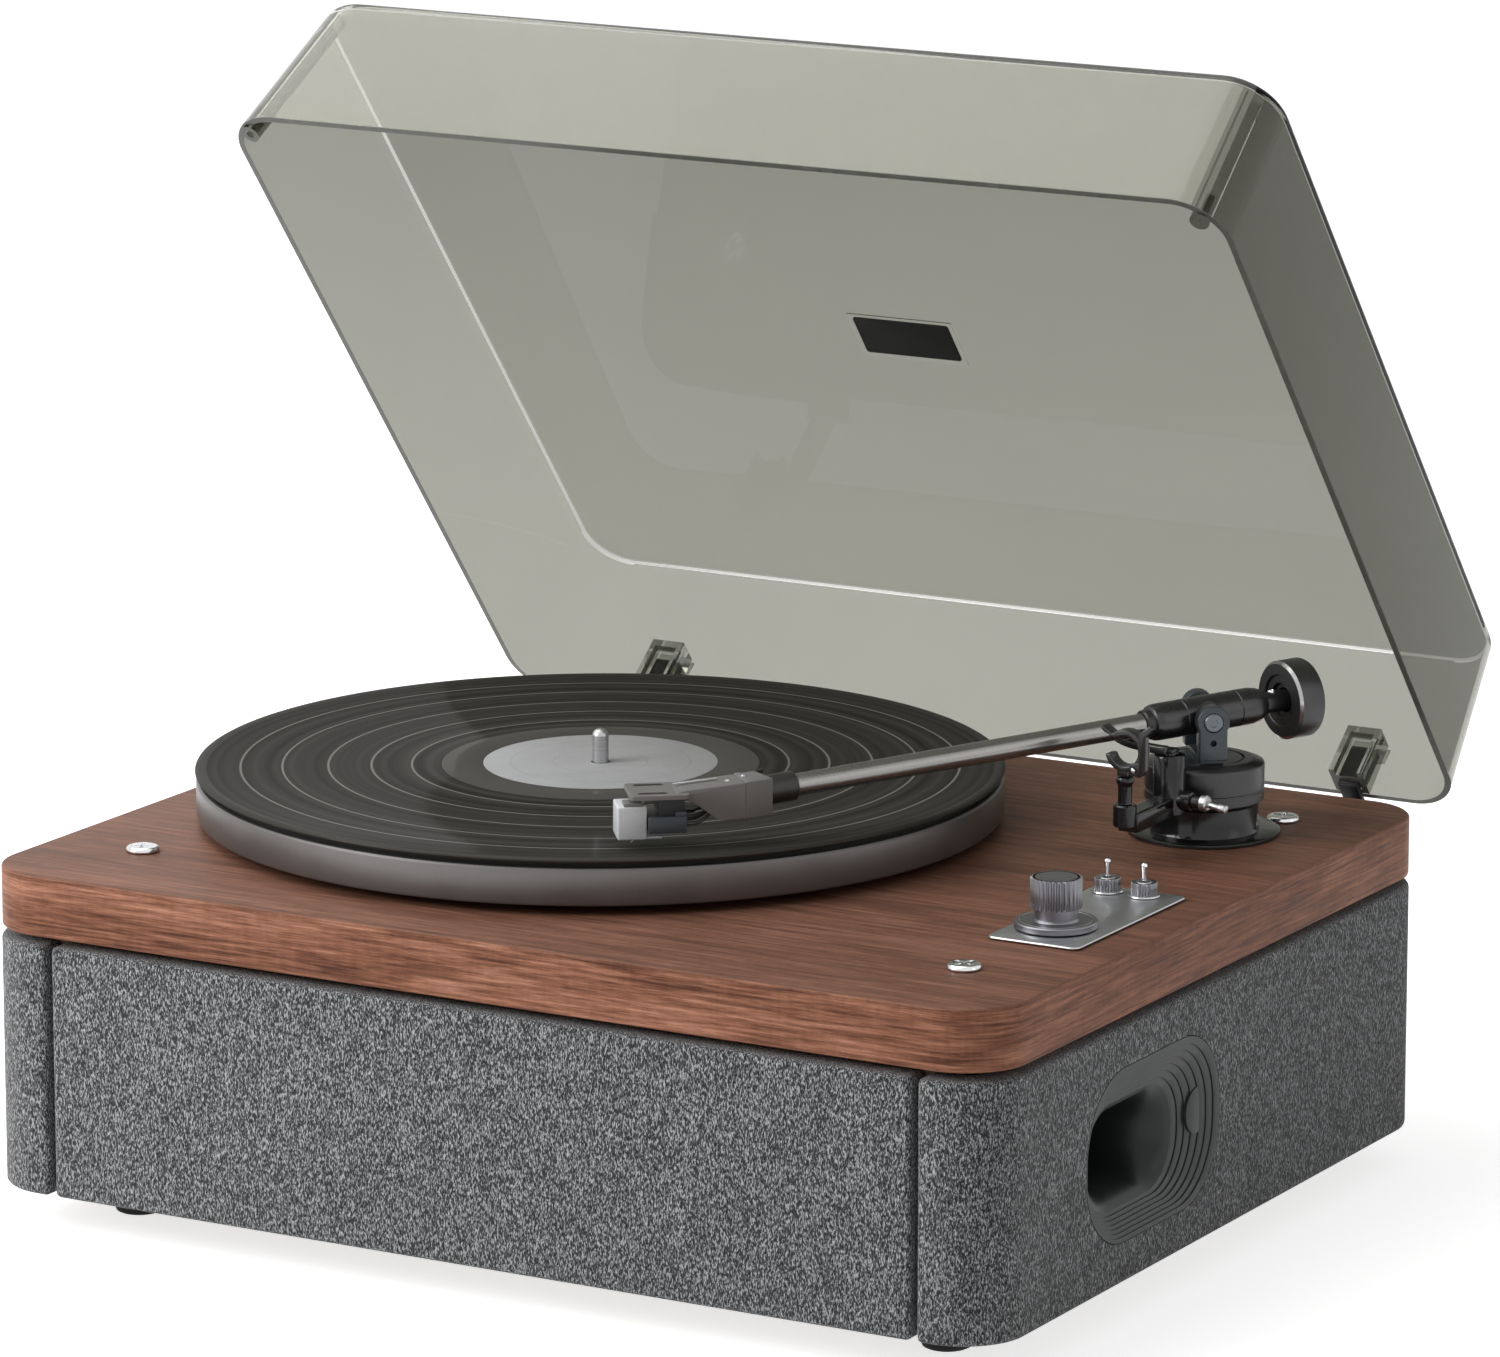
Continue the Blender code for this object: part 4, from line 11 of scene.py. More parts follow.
import logging
import math
from contextlib import contextmanager
from dataclasses import dataclass
from enum import Enum
from typing import Any, Callable, Iterator, Sequence

import bpy
from mathutils import Euler, Matrix, Vector


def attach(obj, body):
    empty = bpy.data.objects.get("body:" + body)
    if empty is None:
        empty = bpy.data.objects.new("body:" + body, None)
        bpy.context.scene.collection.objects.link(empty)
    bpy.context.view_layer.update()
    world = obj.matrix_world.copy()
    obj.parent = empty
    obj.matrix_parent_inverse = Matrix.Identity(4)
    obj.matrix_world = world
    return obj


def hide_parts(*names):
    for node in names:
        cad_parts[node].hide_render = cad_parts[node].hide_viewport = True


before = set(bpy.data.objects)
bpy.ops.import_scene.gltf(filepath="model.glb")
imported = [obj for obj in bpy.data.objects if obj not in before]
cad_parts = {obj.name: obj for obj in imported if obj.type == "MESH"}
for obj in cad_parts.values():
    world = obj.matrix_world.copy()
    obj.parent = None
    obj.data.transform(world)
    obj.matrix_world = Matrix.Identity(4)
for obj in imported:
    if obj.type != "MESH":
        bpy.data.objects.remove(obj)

LOG = logging.getLogger("record_player")
Point = Sequence[float]
Pair = tuple[float, float]
Triple = tuple[float, float, float]
Colour = Triple
Piece = bpy.types.Object
Socket = bpy.types.NodeSocket

# The deck's height, and the axes that stand on it
DECK = 0.1198
PLATTER_AXIS = (-0.0525, 0.0069)
PULLEY_AXIS = (-0.1232, 0.0776)
ARM_AXIS = (0.1530, 0.0967)
KNOB_AXIS = (0.1740, -0.0602)
TOGGLE_AXES = {"left": (0.1659, -0.0055), "right": (0.1805, -0.0052)}

# Bores round those axes, the pocket under the control plate, and how high a tool reaches to cut through
BEARING_BORE, PULLEY_BORE, ARM_BORE, SHAFT_BORE = 0.0104, 0.0179, 0.0099, 0.0039
POCKET_LOW, POCKET_HIGH = (0.1593, -0.0811), (0.1925, 0.0010)
THROUGH = 0.2


class Way(Enum):
    """How a piece drawn flat is stood up, or a piece turned upright is laid down."""

    ACROSS_Y = (math.pi / 2, 0.0, 0.0)
    ACROSS_X = (math.pi / 2, 0.0, math.pi / 2)
    FORWARD = (0.0, math.pi / 2, 0.0)
    BACKWARD = (-math.pi / 2, 0.0, 0.0)

    def matrix(self) -> Matrix:
        """Return the turn as a matrix."""
        return Euler(self.value).to_matrix().to_4x4()


def at(x: float, y: float, z: float = 0.0) -> Matrix:
    """Return the move to a place."""
    return Matrix.Translation((x, y, z))


def turned(degrees: float, axis: str = "Z") -> Matrix:
    """Return the turn about an axis."""
    return Matrix.Rotation(math.radians(degrees), 4, axis)


def arc(centre: Point, radius: float, start: float, end: float, steps: int) -> list[Pair]:
    """Return points on an arc between two bearings in degrees."""
    points = []
    for step in range(steps + 1):
        angle = math.radians(start + (end - start) * step / steps)
        points.append((centre[0] + radius * math.cos(angle), centre[1] + radius * math.sin(angle)))
    return points


class Bench:
    """The modelling tools. Each one works on a single object with the operators of the edit mode."""

    @staticmethod
    def only(piece: Piece) -> None:
        """Select one object alone and make it active."""
        bpy.ops.object.select_all(action="DESELECT")
        piece.select_set(True)
        bpy.context.view_layer.objects.active = piece

    @staticmethod
    @contextmanager
    def editing(piece: Piece, mode: str = "VERT", whole: bool = False) -> Iterator[None]:
        """Open a piece in edit mode for the length of a with block.

        Args:
            piece: the object to edit.
            mode: what is selected: VERT, EDGE or FACE.
            whole: whether everything is selected first.
        """
        Bench.only(piece)
        bpy.context.tool_settings.mesh_select_mode = tuple(mode == kind for kind in ("VERT", "EDGE", "FACE"))
        bpy.ops.object.mode_set(mode="EDIT")
        if whole:
            bpy.ops.mesh.select_all(action="SELECT")
        yield
        bpy.ops.object.mode_set(mode="OBJECT")

    @staticmethod
    def pick(piece: Piece, test: Callable[[Any], bool], kind: str = "vertices") -> None:
        """Select, in object mode, the vertices, edges or polygons that pass a test."""
        for group in (piece.data.vertices, piece.data.edges, piece.data.polygons):
            group.foreach_set("select", [False] * len(group))
        for item in getattr(piece.data, kind):
            item.select = bool(test(item))

    @staticmethod
    def rename(piece: Piece, name: str) -> Piece:
        """Give a piece and its mesh a name."""
        piece.name = piece.data.name = name
        return piece

    @staticmethod
    def named(name: str) -> Piece:
        """Return the primitive just added, under its name and with its place in its mesh."""
        return Bench.seat(Bench.rename(bpy.context.object, name))

    @staticmethod
    def seat(piece: Piece, place: Matrix | None = None) -> Piece:
        """Carry a piece to its place on the player, if one is given, and apply its frame to its mesh."""
        if place is not None:
            piece.matrix_world = place
        Bench.only(piece)
        bpy.ops.object.transform_apply(location=True, rotation=True, scale=True)
        return piece

    @staticmethod
    def tidy(piece: Piece, distance: float = 0.000002) -> None:
        """Merge doubled points and turn the faces outwards."""
        with Bench.editing(piece, whole=True):
            bpy.ops.mesh.remove_doubles(threshold=distance)
            bpy.ops.mesh.normals_make_consistent(inside=False)

    @staticmethod
    def link_ends(piece: Piece) -> None:
        """Join the first and the last point of a traced line with an edge."""
        last = len(piece.data.vertices) - 1
        Bench.pick(piece, lambda vertex: vertex.index in (0, last))
        with Bench.editing(piece):
            bpy.ops.mesh.edge_face_add()

    @staticmethod
    def trace(name: str, points: Sequence[Point]) -> Piece:
        """Draw a line by pulling one corner on from point to point."""
        corners = [Vector(point) for point in points]
        bpy.ops.mesh.primitive_plane_add(size=0.001, location=corners[0])
        piece = Bench.named(name)
        with Bench.editing(piece, whole=True):
            bpy.ops.mesh.merge(type="CENTER")
            for start, end in zip(corners, corners[1:]):
                bpy.ops.mesh.extrude_vertices_move(TRANSFORM_OT_translate={"value": end - start})
        return piece

    @staticmethod
    def extrude(piece: Piece, move: Point) -> Piece:
        """Pull a flat face into a solid along a vector."""
        with Bench.editing(piece, "FACE", whole=True):
            bpy.ops.mesh.extrude_region_move(TRANSFORM_OT_translate={"value": move})
        Bench.tidy(piece)
        return piece

    @staticmethod
    def prism(name: str, outline: Sequence[Point], bottom: float, top: float) -> Piece:
        """Raise a flat outline from bottom to top."""
        piece = Bench.trace(name, [(x, y, bottom) for x, y in outline])
        Bench.link_ends(piece)
        with Bench.editing(piece, whole=True):
            bpy.ops.mesh.edge_face_add()
        return Bench.extrude(piece, (0, 0, top - bottom))

    @staticmethod
    def slab(name: str, size: Point, centre: Point, corner: float, steps: int, bottom: float, top: float) -> Piece:
        """Raise a rectangle with rounded corners.

        Args:
            name: the new object's name.
            size: the rectangle's width and depth.
            centre: the rectangle's middle.
            corner: the radius of its four corners.
            steps: the faces round each corner.
            bottom: the height of the lower face.
            top: the height of the upper face.

        Returns:
            The slab.
        """
        bpy.ops.mesh.primitive_plane_add(size=1.0, location=(*centre, bottom))
        bpy.context.object.scale = (*size, 1.0)
        piece = Bench.named(name)
        with Bench.editing(piece, whole=True):
            bpy.ops.mesh.bevel(offset=corner, segments=steps, affect="VERTICES")
        return Bench.extrude(piece, (0, 0, top - bottom))

    @staticmethod
    def block(name: str, low: Point, high: Point, edge: float = 0.0, steps: int = 3) -> Piece:
        """Add a box between two corners with its edges rounded."""
        low, high = Vector(low), Vector(high)
        bpy.ops.mesh.primitive_cube_add(size=1.0, location=(low + high) / 2)
        bpy.context.object.scale = high - low
        piece = Bench.named(name)
        if edge:
            with Bench.editing(piece, "EDGE", whole=True):
                bpy.ops.mesh.bevel(offset=edge, segments=steps, affect="EDGES")
        return piece

    @staticmethod
    def turn(name: str, profile: Sequence[Point], steps: int = 64, bored: bool = False) -> Piece:
        """Turn a profile about the upright axis, as on a lathe.

        Args:
            name: the new object's name.
            profile: (radius, height) points.
            steps: the faces round the axis.
            bored: whether the profile closes on itself, which leaves a bore.

        Returns:
            The turned piece.
        """
        piece = Bench.trace(name, [(radius, 0.0, height) for radius, height in profile])
        if bored:
            Bench.link_ends(piece)
        with Bench.editing(piece, whole=True):
            bpy.ops.mesh.spin(steps=steps, angle=math.tau, center=(0, 0, 0), axis=(0, 0, 1))
        Bench.tidy(piece)
        return piece

    @staticmethod
    def rod(name: str, start: Point, end: Point, radius: float, steps: int = 32, edge: float = 0.0) -> Piece:
        """Add a round rod between two points, with its end edges rounded if asked."""
        start, end = Vector(start), Vector(end)
        bpy.ops.mesh.primitive_cylinder_add(
            vertices=steps, radius=radius, depth=(end - start).length, location=(start + end) / 2,
            rotation=(end - start).to_track_quat("Z", "Y").to_euler(),
        )
        piece = Bench.named(name)
        return Bench.soften(piece, edge, 2, 60) if edge else piece

    @staticmethod
    def bores(*axes: tuple[Point, float], steps: int = 48) -> list[Piece]:
        """Return tools that bore through the deck, given (axis, radius) for each."""
        return [Bench.rod("bore", (*axis, 0), (*axis, THROUGH), radius, steps) for axis, radius in axes]

    @staticmethod
    def ribbed(name: str, radius: float, depth: float, ribs: int, bottom: float, top: float) -> Piece:
        """Raise a round grip with a crest and a groove of equal width for each rib."""
        bpy.ops.mesh.primitive_circle_add(
            vertices=ribs * 4, radius=radius, fill_type="NGON", location=(0, 0, bottom)
        )
        piece = Bench.named(name)
        Bench.pick(piece, lambda vertex: vertex.index % 4 > 1)
        with Bench.editing(piece):
            share = 1 - depth / radius
            bpy.ops.transform.resize(value=(share, share, 1.0), center_override=(0, 0, bottom))
        return Bench.extrude(piece, (0, 0, top - bottom))

    @staticmethod
    def wire(name: str, points: Sequence[Point], radius: float) -> Piece:
        """Run a round wire smoothly through some points."""
        bpy.ops.curve.primitive_bezier_curve_add(location=(0, 0, 0))
        curve = bpy.context.object.data
        knots = curve.splines[0].bezier_points
        knots.add(len(points) - len(knots))
        for knot, point in zip(knots, points):
            knot.co = point
            knot.handle_left_type = knot.handle_right_type = "AUTO"
        curve.resolution_u = 8
        curve.bevel_depth = radius
        curve.bevel_resolution = 3
        curve.use_fill_caps = True
        Bench.only(bpy.context.object)
        bpy.ops.object.convert(target="MESH")
        piece = Bench.rename(bpy.context.object, name)
        Bench.tidy(piece)
        return piece

    @staticmethod
    def apply(piece: Piece, kind: str, **settings: Any) -> Piece:
        """Add a modifier with its settings and apply it."""
        Bench.only(piece)
        modifier = piece.modifiers.new(kind.lower(), kind)
        for key, value in settings.items():
            setattr(modifier, key, value)
        bpy.ops.object.modifier_apply(modifier=modifier.name)
        return piece

    @staticmethod
    def soften(piece: Piece, width: float, steps: int = 3, angle: float = 40.0) -> Piece:
        """Round the edges that are sharper than an angle in degrees."""
        return Bench.apply(
            piece, "BEVEL", width=width, segments=steps, limit_method="ANGLE", angle_limit=math.radians(angle),
            use_clamp_overlap=True,
        )

    @staticmethod
    def cut(piece: Piece, *tools: Piece, operation: str = "DIFFERENCE") -> Piece:
        """Cut tools out of a piece, or fuse them with it, and throw the tools away."""
        for tool in tools:
            Bench.apply(piece, "BOOLEAN", operation=operation, solver="EXACT", object=tool)
        Bench.discard(*tools)
        Bench.tidy(piece)
        return piece

    @staticmethod
    def discard(*pieces: Piece) -> None:
        """Throw away tools or models that are no longer needed."""
        for piece in pieces:
            bpy.data.objects.remove(piece, do_unlink=True)

    @staticmethod
    def join(name: str, *pieces: Piece) -> Piece:
        """Join pieces into one object."""
        Bench.only(pieces[0])
        for piece in pieces:
            piece.select_set(True)
        bpy.ops.object.join()
        return Bench.rename(pieces[0], name)

    @staticmethod
    def copy(piece: Piece, name: str, place: Matrix) -> Piece:
        """Copy a piece with its own mesh and carry the copy to its place."""
        Bench.only(piece)
        bpy.ops.object.duplicate(linked=False)
        return Bench.seat(Bench.rename(bpy.context.object, name), place)


class Net:
    """A node tree while it is being wired."""

    def __init__(self, tree: bpy.types.NodeTree) -> None:
        """Take the tree to wire."""
        self.tree = tree

    def node(self, kind: str, inputs: dict[Any, Any] | None = None, **settings: Any) -> bpy.types.Node:
        """Add a node.

        Args:
            kind: the node's type.
            inputs: values, or sockets to link, by the input's name or number.
            settings: the node's own settings.

        Returns:
            The node.
        """
        made = self.tree.nodes.new(kind)
        for key, value in settings.items():
            setattr(made, key, value)
        return self.fill(made, inputs or {})

    def fill(self, node: bpy.types.Node, inputs: dict[Any, Any]) -> bpy.types.Node:
        """Set a node's inputs to values, or link them to other nodes' outputs."""
        for key, value in inputs.items():
            if isinstance(value, Socket):
                self.tree.links.new(value, node.inputs[key])
            else:
                node.inputs[key].default_value = value
        return node

    def math(self, operation: str, *values: Any, clamp: bool = False) -> Socket:
        """Return the result of one arithmetic step."""
        return self.node("ShaderNodeMath", dict(enumerate(values)), operation=operation, use_clamp=clamp).outputs[0]

    def times(self, first: Any, second: Any) -> Socket:
        """Return a product."""
        return self.math("MULTIPLY", first, second)

    def line(self, value: Any, slope: Any, shift: Any, clamp: bool = False) -> Socket:
        """Return a value times a slope plus a shift."""
        return self.math("MULTIPLY_ADD", value, slope, shift, clamp=clamp)

    def mix(self, factor: Any, first: Any, second: Any) -> Socket:
        """Return a blend of two colours."""
        tones = [tone if isinstance(tone, Socket) else (*tone, 1.0) for tone in (first, second)]
        inputs = {0: factor, 6: tones[0], 7: tones[1]}
        return self.node("ShaderNodeMix", inputs, data_type="RGBA", blend_type="MIX").outputs[2]

    def ramp(self, factor: Any, stops: Sequence[tuple[float, Colour]]) -> Socket:
        """Return a ramp's colour between stops of (place, colour)."""
        made = self.node("ShaderNodeValToRGB", {0: factor})
        elements = made.color_ramp.elements
        while len(elements) < len(stops):
            elements.new(0.5)
        for element, (place, tone) in zip(elements, stops):
            element.position = place
            element.color = (*tone, 1.0)
        return made.outputs[0]

    def stretched(self, vector: Any, scale: Triple) -> Socket:
        """Return a vector stretched along its axes."""
        return self.node("ShaderNodeMapping", {"Vector": vector, "Scale": scale}).outputs[0]

    def own(self, scale: Triple = (1.0, 1.0, 1.0)) -> Socket:
        """Return the piece's own coordinates, stretched."""
        return self.stretched(self.node("ShaderNodeTexCoord").outputs["Object"], scale)

    def vector(self, operation: str, *values: Any, output: str = "Vector") -> Socket:
        """Return the result of one step of vector arithmetic."""
        return self.node("ShaderNodeVectorMath", dict(enumerate(values)), operation=operation).outputs[output]

    def noise(self, vector: Any, scale: Any, detail: float = 2.0, rough: float = 0.5, bend: float = 0.0) -> Socket:
        """Return plain noise over a vector."""
        inputs = {"Vector": vector, "Scale": scale, "Detail": detail, "Roughness": rough, "Distortion": bend}
        return self.node("ShaderNodeTexNoise", inputs).outputs[0]

    def rings(self, along: Any, scale: float, detail: float) -> Socket:
        """Return noise that depends on one length alone."""
        inputs = {"W": along, "Scale": scale, "Detail": detail}
        return self.node("ShaderNodeTexNoise", inputs, noise_dimensions="1D").outputs[0]

    def bump(self, height: Any, distance: float, strength: float = 1.0) -> Socket:
        """Return a normal raised by a height."""
        inputs = {"Height": height, "Distance": distance, "Strength": strength}
        return self.node("ShaderNodeBump", inputs).outputs[0]

    def group(self, tree: bpy.types.NodeTree, **inputs: Any) -> Any:
        """Place a shared effect in this tree with its own values and return its outputs."""
        return self.node("ShaderNodeGroup", {key.capitalize(): inputs[key] for key in inputs}, node_tree=tree).outputs

    def seen_by(self, *rays: str) -> Socket:
        """Return 1 for the given kinds of ray and 0 for the others."""
        path = self.node("ShaderNodeLightPath").outputs
        seen = path[f"Is {rays[0]} Ray"]
        for ray in rays[1:]:
            seen = self.math("MAXIMUM", seen, path[f"Is {ray} Ray"])
        return seen


class Effects:
    """The surface effects that several finishes share, each built once as a node group."""

    @staticmethod
    def tree(name: str, inputs: dict[str, Any], *outputs: str) -> tuple[Net, Any, bpy.types.Node]:
        """Start a node group.

        Args:
            name: the group's name.
            inputs: the default of each input: a number, or None for a vector or a colour.
            outputs: the name of each output.

        Returns:
            The group's net, the sockets that its inputs arrive at, and its output node.
        """
        made = bpy.data.node_groups.new(name, "ShaderNodeTree")
        kinds = {"Vector": "Vector", "Centre": "Vector", "Dark": "Color", "Light": "Color", "Color": "Color"}
        for label, default in inputs.items():
            kind = f"NodeSocket{kinds.get(label, 'Float')}"
            socket = made.interface.new_socket(label, in_out="INPUT", socket_type=kind)
            if default is not None:
                socket.default_value = default
        for label in outputs:
            kind = f"NodeSocket{kinds.get(label, 'Float')}"
            made.interface.new_socket(label, in_out="OUTPUT", socket_type=kind)
        net = Net(made)
        return net, net.node("NodeGroupInput").outputs, net.node("NodeGroupOutput")

    @staticmethod
    def cast() -> bpy.types.NodeTree:
        """Return the grain of moulded, cast or blasted surfaces: tone, roughness and height that vary finely."""
        if "surface_grain" in bpy.data.node_groups:
            return bpy.data.node_groups["surface_grain"]
        inputs = {"Vector": None, "Scale": 900.0, "Dark": None, "Light": None, "Gloss": 0.3, "Matt": 0.5}
        net, start, end = Effects.tree("surface_grain", inputs, "Color", "Roughness", "Height")
        fine = net.noise(start["Vector"], start["Scale"], 3.0, 0.6)
        cloud = net.noise(start["Vector"], 38.0, 3.0, 0.55)
        blend = net.math("ADD", net.times(fine, 0.55), net.times(cloud, 0.45))
        spread = net.line(blend, 2.4, -0.7, clamp=True)
        smear = net.line(cloud, 2.6, -0.8, clamp=True)
        rough = net.line(net.math("SUBTRACT", start["Matt"], start["Gloss"]), smear, start["Gloss"])
        tone = net.mix(spread, start["Dark"], start["Light"])
        net.fill(end, {"Color": tone, "Roughness": rough, "Height": fine})
        return net.tree

    @staticmethod
    def edges_worn_and_lit() -> bpy.types.NodeTree:
        """Return the mask of edges, broken up by noise, where finishes are lightened: partly wear, partly a painted
        highlight.
        """
        if "edge_wear_and_painted_highlight" in bpy.data.node_groups:
            return bpy.data.node_groups["edge_wear_and_painted_highlight"]
        net, start, end = Effects.tree("edge_wear_and_painted_highlight", {"Width": 0.0004, "Amount": 1.0}, "Mask")
        rounded = net.node("ShaderNodeBevel", {"Radius": start["Width"]}, samples=4).outputs[0]
        true = net.node("ShaderNodeNewGeometry").outputs["True Normal"]
        facing = net.vector("DOT_PRODUCT", rounded, true, output="Value")
        edge = net.line(net.math("SUBTRACT", 1.0, facing), 5.0, -0.1, clamp=True)
        breaks = net.noise(net.own(), 420.0, 3.0, 0.6)
        broken = net.times(edge, net.line(breaks, 2.2, -0.4, clamp=True))
        net.fill(end, {"Mask": net.math("MULTIPLY", broken, start["Amount"], clamp=True)})
        return net.tree

    @staticmethod
    def radius() -> bpy.types.NodeTree:
        """Return the distance from an upright axis through a centre, for rings and grooves."""
        if "ring_radius" in bpy.data.node_groups:
            return bpy.data.node_groups["ring_radius"]
        net, start, end = Effects.tree("ring_radius", {"Centre": None}, "Radius")
        away = net.vector("SUBTRACT", net.own(), start["Centre"])
        flat = net.vector("MULTIPLY", away, (1, 1, 0))
        net.fill(end, {"Radius": net.vector("LENGTH", flat, output="Value")})
        return net.tree


@dataclass(frozen=True)
class Finish:
    """What every finish has: its name, the record's slot for it, and how it catches the light."""

    name: str
    slot: str
    roughness: float = 0.5
    metallic: float = 0.0
    specular: float = 0.5
    anisotropic: float = 0.0

    def material(self) -> bpy.types.Material:
        """Return the material, wired on its first use."""
        made = bpy.data.materials.get(self.name)
        if made is None:
            made = bpy.data.materials.new(self.name)
            made.use_nodes = True
            net = Net(made.node_tree)
            constants = {
                "Roughness": self.roughness, "Metallic": self.metallic, "Specular IOR Level": self.specular,
                "Anisotropic": self.anisotropic,
            }
            net.fill(made.node_tree.nodes["Principled BSDF"], constants | self.wire(net))
        return made

    def wire(self, net: Net) -> dict[str, Any]:
        """Wire this finish's nodes and return what its shader's inputs are set or linked to."""
        raise NotImplementedError


@dataclass(frozen=True)
class Cast(Finish):
    """A moulded, painted or blasted surface with a fine grain, and edges lightened partly by wear and partly by a
    painted highlight.
    """

    dark: Colour = (0.02, 0.02, 0.02)
    light: Colour = (0.03, 0.03, 0.03)
    gloss: float = 0.3
    grain: float = 1400.0
    relief: float = 0.00001
    # A lighter colour for the edges: partly wear, partly a painted highlight.
    worn_and_highlit_edge: Colour | None = None
    # An emission of the surface's own colour: painted light, as no lamp is there.
    painted_glow: float = 0.0

    def wire(self, net: Net) -> dict[str, Any]:
        """Wire grain, tone and the lightened edges, which are partly wear and partly a painted highlight."""
        grain = net.group(
            Effects.cast(), vector=net.own(), scale=self.grain, dark=(*self.dark, 1.0), light=(*self.light, 1.0),
            gloss=self.gloss, matt=self.roughness,
        )
        colour = grain["Color"]
        if self.worn_and_highlit_edge is not None:
            # Lightens the edges: partly wear, partly a painted highlight.
            colour = net.mix(net.group(Effects.edges_worn_and_lit(), width=0.0003, amount=0.8)["Mask"], colour, self.worn_and_highlit_edge)
        normal = net.bump(grain["Height"], self.relief)
        # Makes the surface glow in its own colour: painted light.
        painted_glow_inputs = {"Emission Color": colour, "Emission Strength": self.painted_glow} if self.painted_glow else {}
        return {"Base Color": colour, "Roughness": grain["Roughness"], "Normal": normal, **painted_glow_inputs}


@dataclass(frozen=True)
class Heather(Finish):
    """The heather-grey loudspeaker cloth: short upright threads of dark and pale yarn."""

    thread: float = 2200.0
    slub: float = 0.34
    weave: float = 330.0
    dark: Colour = (0.007, 0.0075, 0.008)
    middle: Colour = (0.064, 0.067, 0.071)
    pale: Colour = (0.600, 0.612, 0.628)

    def wire(self, net: Net) -> dict[str, Any]:
        """Wire the yarn's colours, the weave's height and its dull sheen."""
        upright = net.own((1.0, 1.0, self.slub))
        yarn = net.noise(upright, self.thread, 2.0, 0.62)
        clump = net.noise(upright, self.thread * 0.45, 2.0, 0.55)
        cloud = net.noise(net.own(), 90.0)
        blend = net.line(cloud, 0.04, net.line(yarn, 0.84, net.times(clump, 0.12)))
        inputs = {"Vector": upright, "Scale": self.weave, "Distortion": 3.0, "Detail": 2.0}
        columns = net.node("ShaderNodeTexWave", inputs, bands_direction="DIAGONAL").outputs["Fac"]
        return {
            "Base Color": net.ramp(blend, [(0.39, self.dark), (0.50, self.middle), (0.63, self.pale)]),
            "Roughness": net.line(yarn, 0.2, 0.75),
            "Normal": net.bump(net.line(columns, 0.25, blend), 0.0006, 0.7),
            "Sheen Weight": 0.25, "Sheen Roughness": 0.6,
        }


@dataclass(frozen=True)
class Walnut(Finish):
    """Oiled walnut veneer: the grain runs along the board, and along each banded edge."""

    dark: Colour = (0.098, 0.034, 0.019)
    middle: Colour = (0.300, 0.124, 0.071)
    pale: Colour = (0.600, 0.285, 0.185)
    # Darker tone for upward faces: a painted shade.
    top_painted_shade: Colour = (0.118, 0.062, 0.043)
    half_depth: float = 0.17255
    figure_stretch: Triple = (1.0, 7.0, 7.0)
    streak_stretch: Triple = (1.5, 34.0, 34.0)
    fleck_stretch: Triple = (14.0, 5.0, 3.0)

    def wire(self, net: Net) -> dict[str, Any]:
        """Wire figure, streaks, flecks and pores in the direction of the grain, a painted shade on the top faces, and
        pale edges that are partly wear and partly a painted highlight.
        """
        own = net.node("ShaderNodeTexCoord").outputs
        facing = net.node("ShaderNodeSeparateXYZ", {0: own["Normal"]}).outputs["Z"]
        across = net.node("ShaderNodeSeparateXYZ", {0: own["Object"]}).outputs
        round_edge = net.line(net.math("ADD", across["Y"], self.half_depth), net.math("SIGN", across["X"]), across["X"])
        banded = net.node("ShaderNodeCombineXYZ", {0: round_edge, 2: across["Z"]}).outputs[0]
        along = net.mix(net.line(net.math("ABSOLUTE", facing), -5.0, 4.0, clamp=True), own["Object"], banded)
        narrow = net.stretched(along, self.streak_stretch)
        figure = net.noise(net.stretched(along, self.figure_stretch), 5.5, 4.0, 0.55, 0.9)
        streak = net.noise(narrow, 19.0, 6.0, 0.70)
        pore = net.noise(narrow, 95.0, 2.0, 0.6)
        fleck = net.noise(net.stretched(along, self.fleck_stretch), 22.0, 3.0, 0.6)
        blend = net.line(fleck, 0.06, net.line(figure, 0.28, net.times(streak, 0.66)))
        tone = net.ramp(blend, [(0.40, self.dark), (0.50, self.middle), (0.62, self.pale)])
        pits = net.line(pore, -6.0, 2.7, clamp=True)
        tone = net.mix(net.times(pits, 0.60), tone, self.dark)
        # Upward faces are mixed towards a darker tone: painted shade.
        tone = net.mix(net.times(net.line(facing, 2.5, -1.2, clamp=True), 0.58), tone, self.top_painted_shade)
        # Pale edges: partly wear, partly a painted highlight.
        worn_and_highlit_edge = net.group(Effects.edges_worn_and_lit(), width=0.0006, amount=0.45)["Mask"]
        return {
            "Base Color": net.mix(worn_and_highlit_edge, tone, self.pale),
            "Roughness": net.line(streak, 0.25, self.roughness - 0.12),
            "Normal": net.bump(net.math("SUBTRACT", streak, pits), 0.00005, 0.5),
        }


@dataclass(frozen=True)
class Brushed(Finish):
    """Metal brushed along one direction, with edges lightened partly by wear and partly by a painted highlight."""

    dark: Colour = (0.42, 0.43, 0.44)
    light: Colour = (0.60, 0.61, 0.62)
    # Pale colour for the edges: partly wear, partly a painted highlight.
    worn_and_highlit: Colour = (0.85, 0.86, 0.87)
    lay: Triple = (1.0, 60.0, 60.0)

    def wire(self, net: Net) -> dict[str, Any]:
        """Wire the brush marks and the lightened edges, which are partly wear and partly a painted highlight."""
        marks = net.noise(net.own(self.lay), 55.0, 4.0, 0.7)
        cloud = net.noise(net.own(), 30.0)
        tone = net.mix(net.line(marks, 2.2, -0.6, clamp=True), self.dark, self.light)
        return {
            "Base Color": net.mix(net.group(Effects.edges_worn_and_lit(), width=0.0004, amount=0.7)["Mask"], tone, self.worn_and_highlit),
            "Roughness": net.line(cloud, 0.06, net.line(marks, 0.18, self.roughness - 0.1)),
            "Normal": net.bump(marks, 0.00001, 0.6),
        }


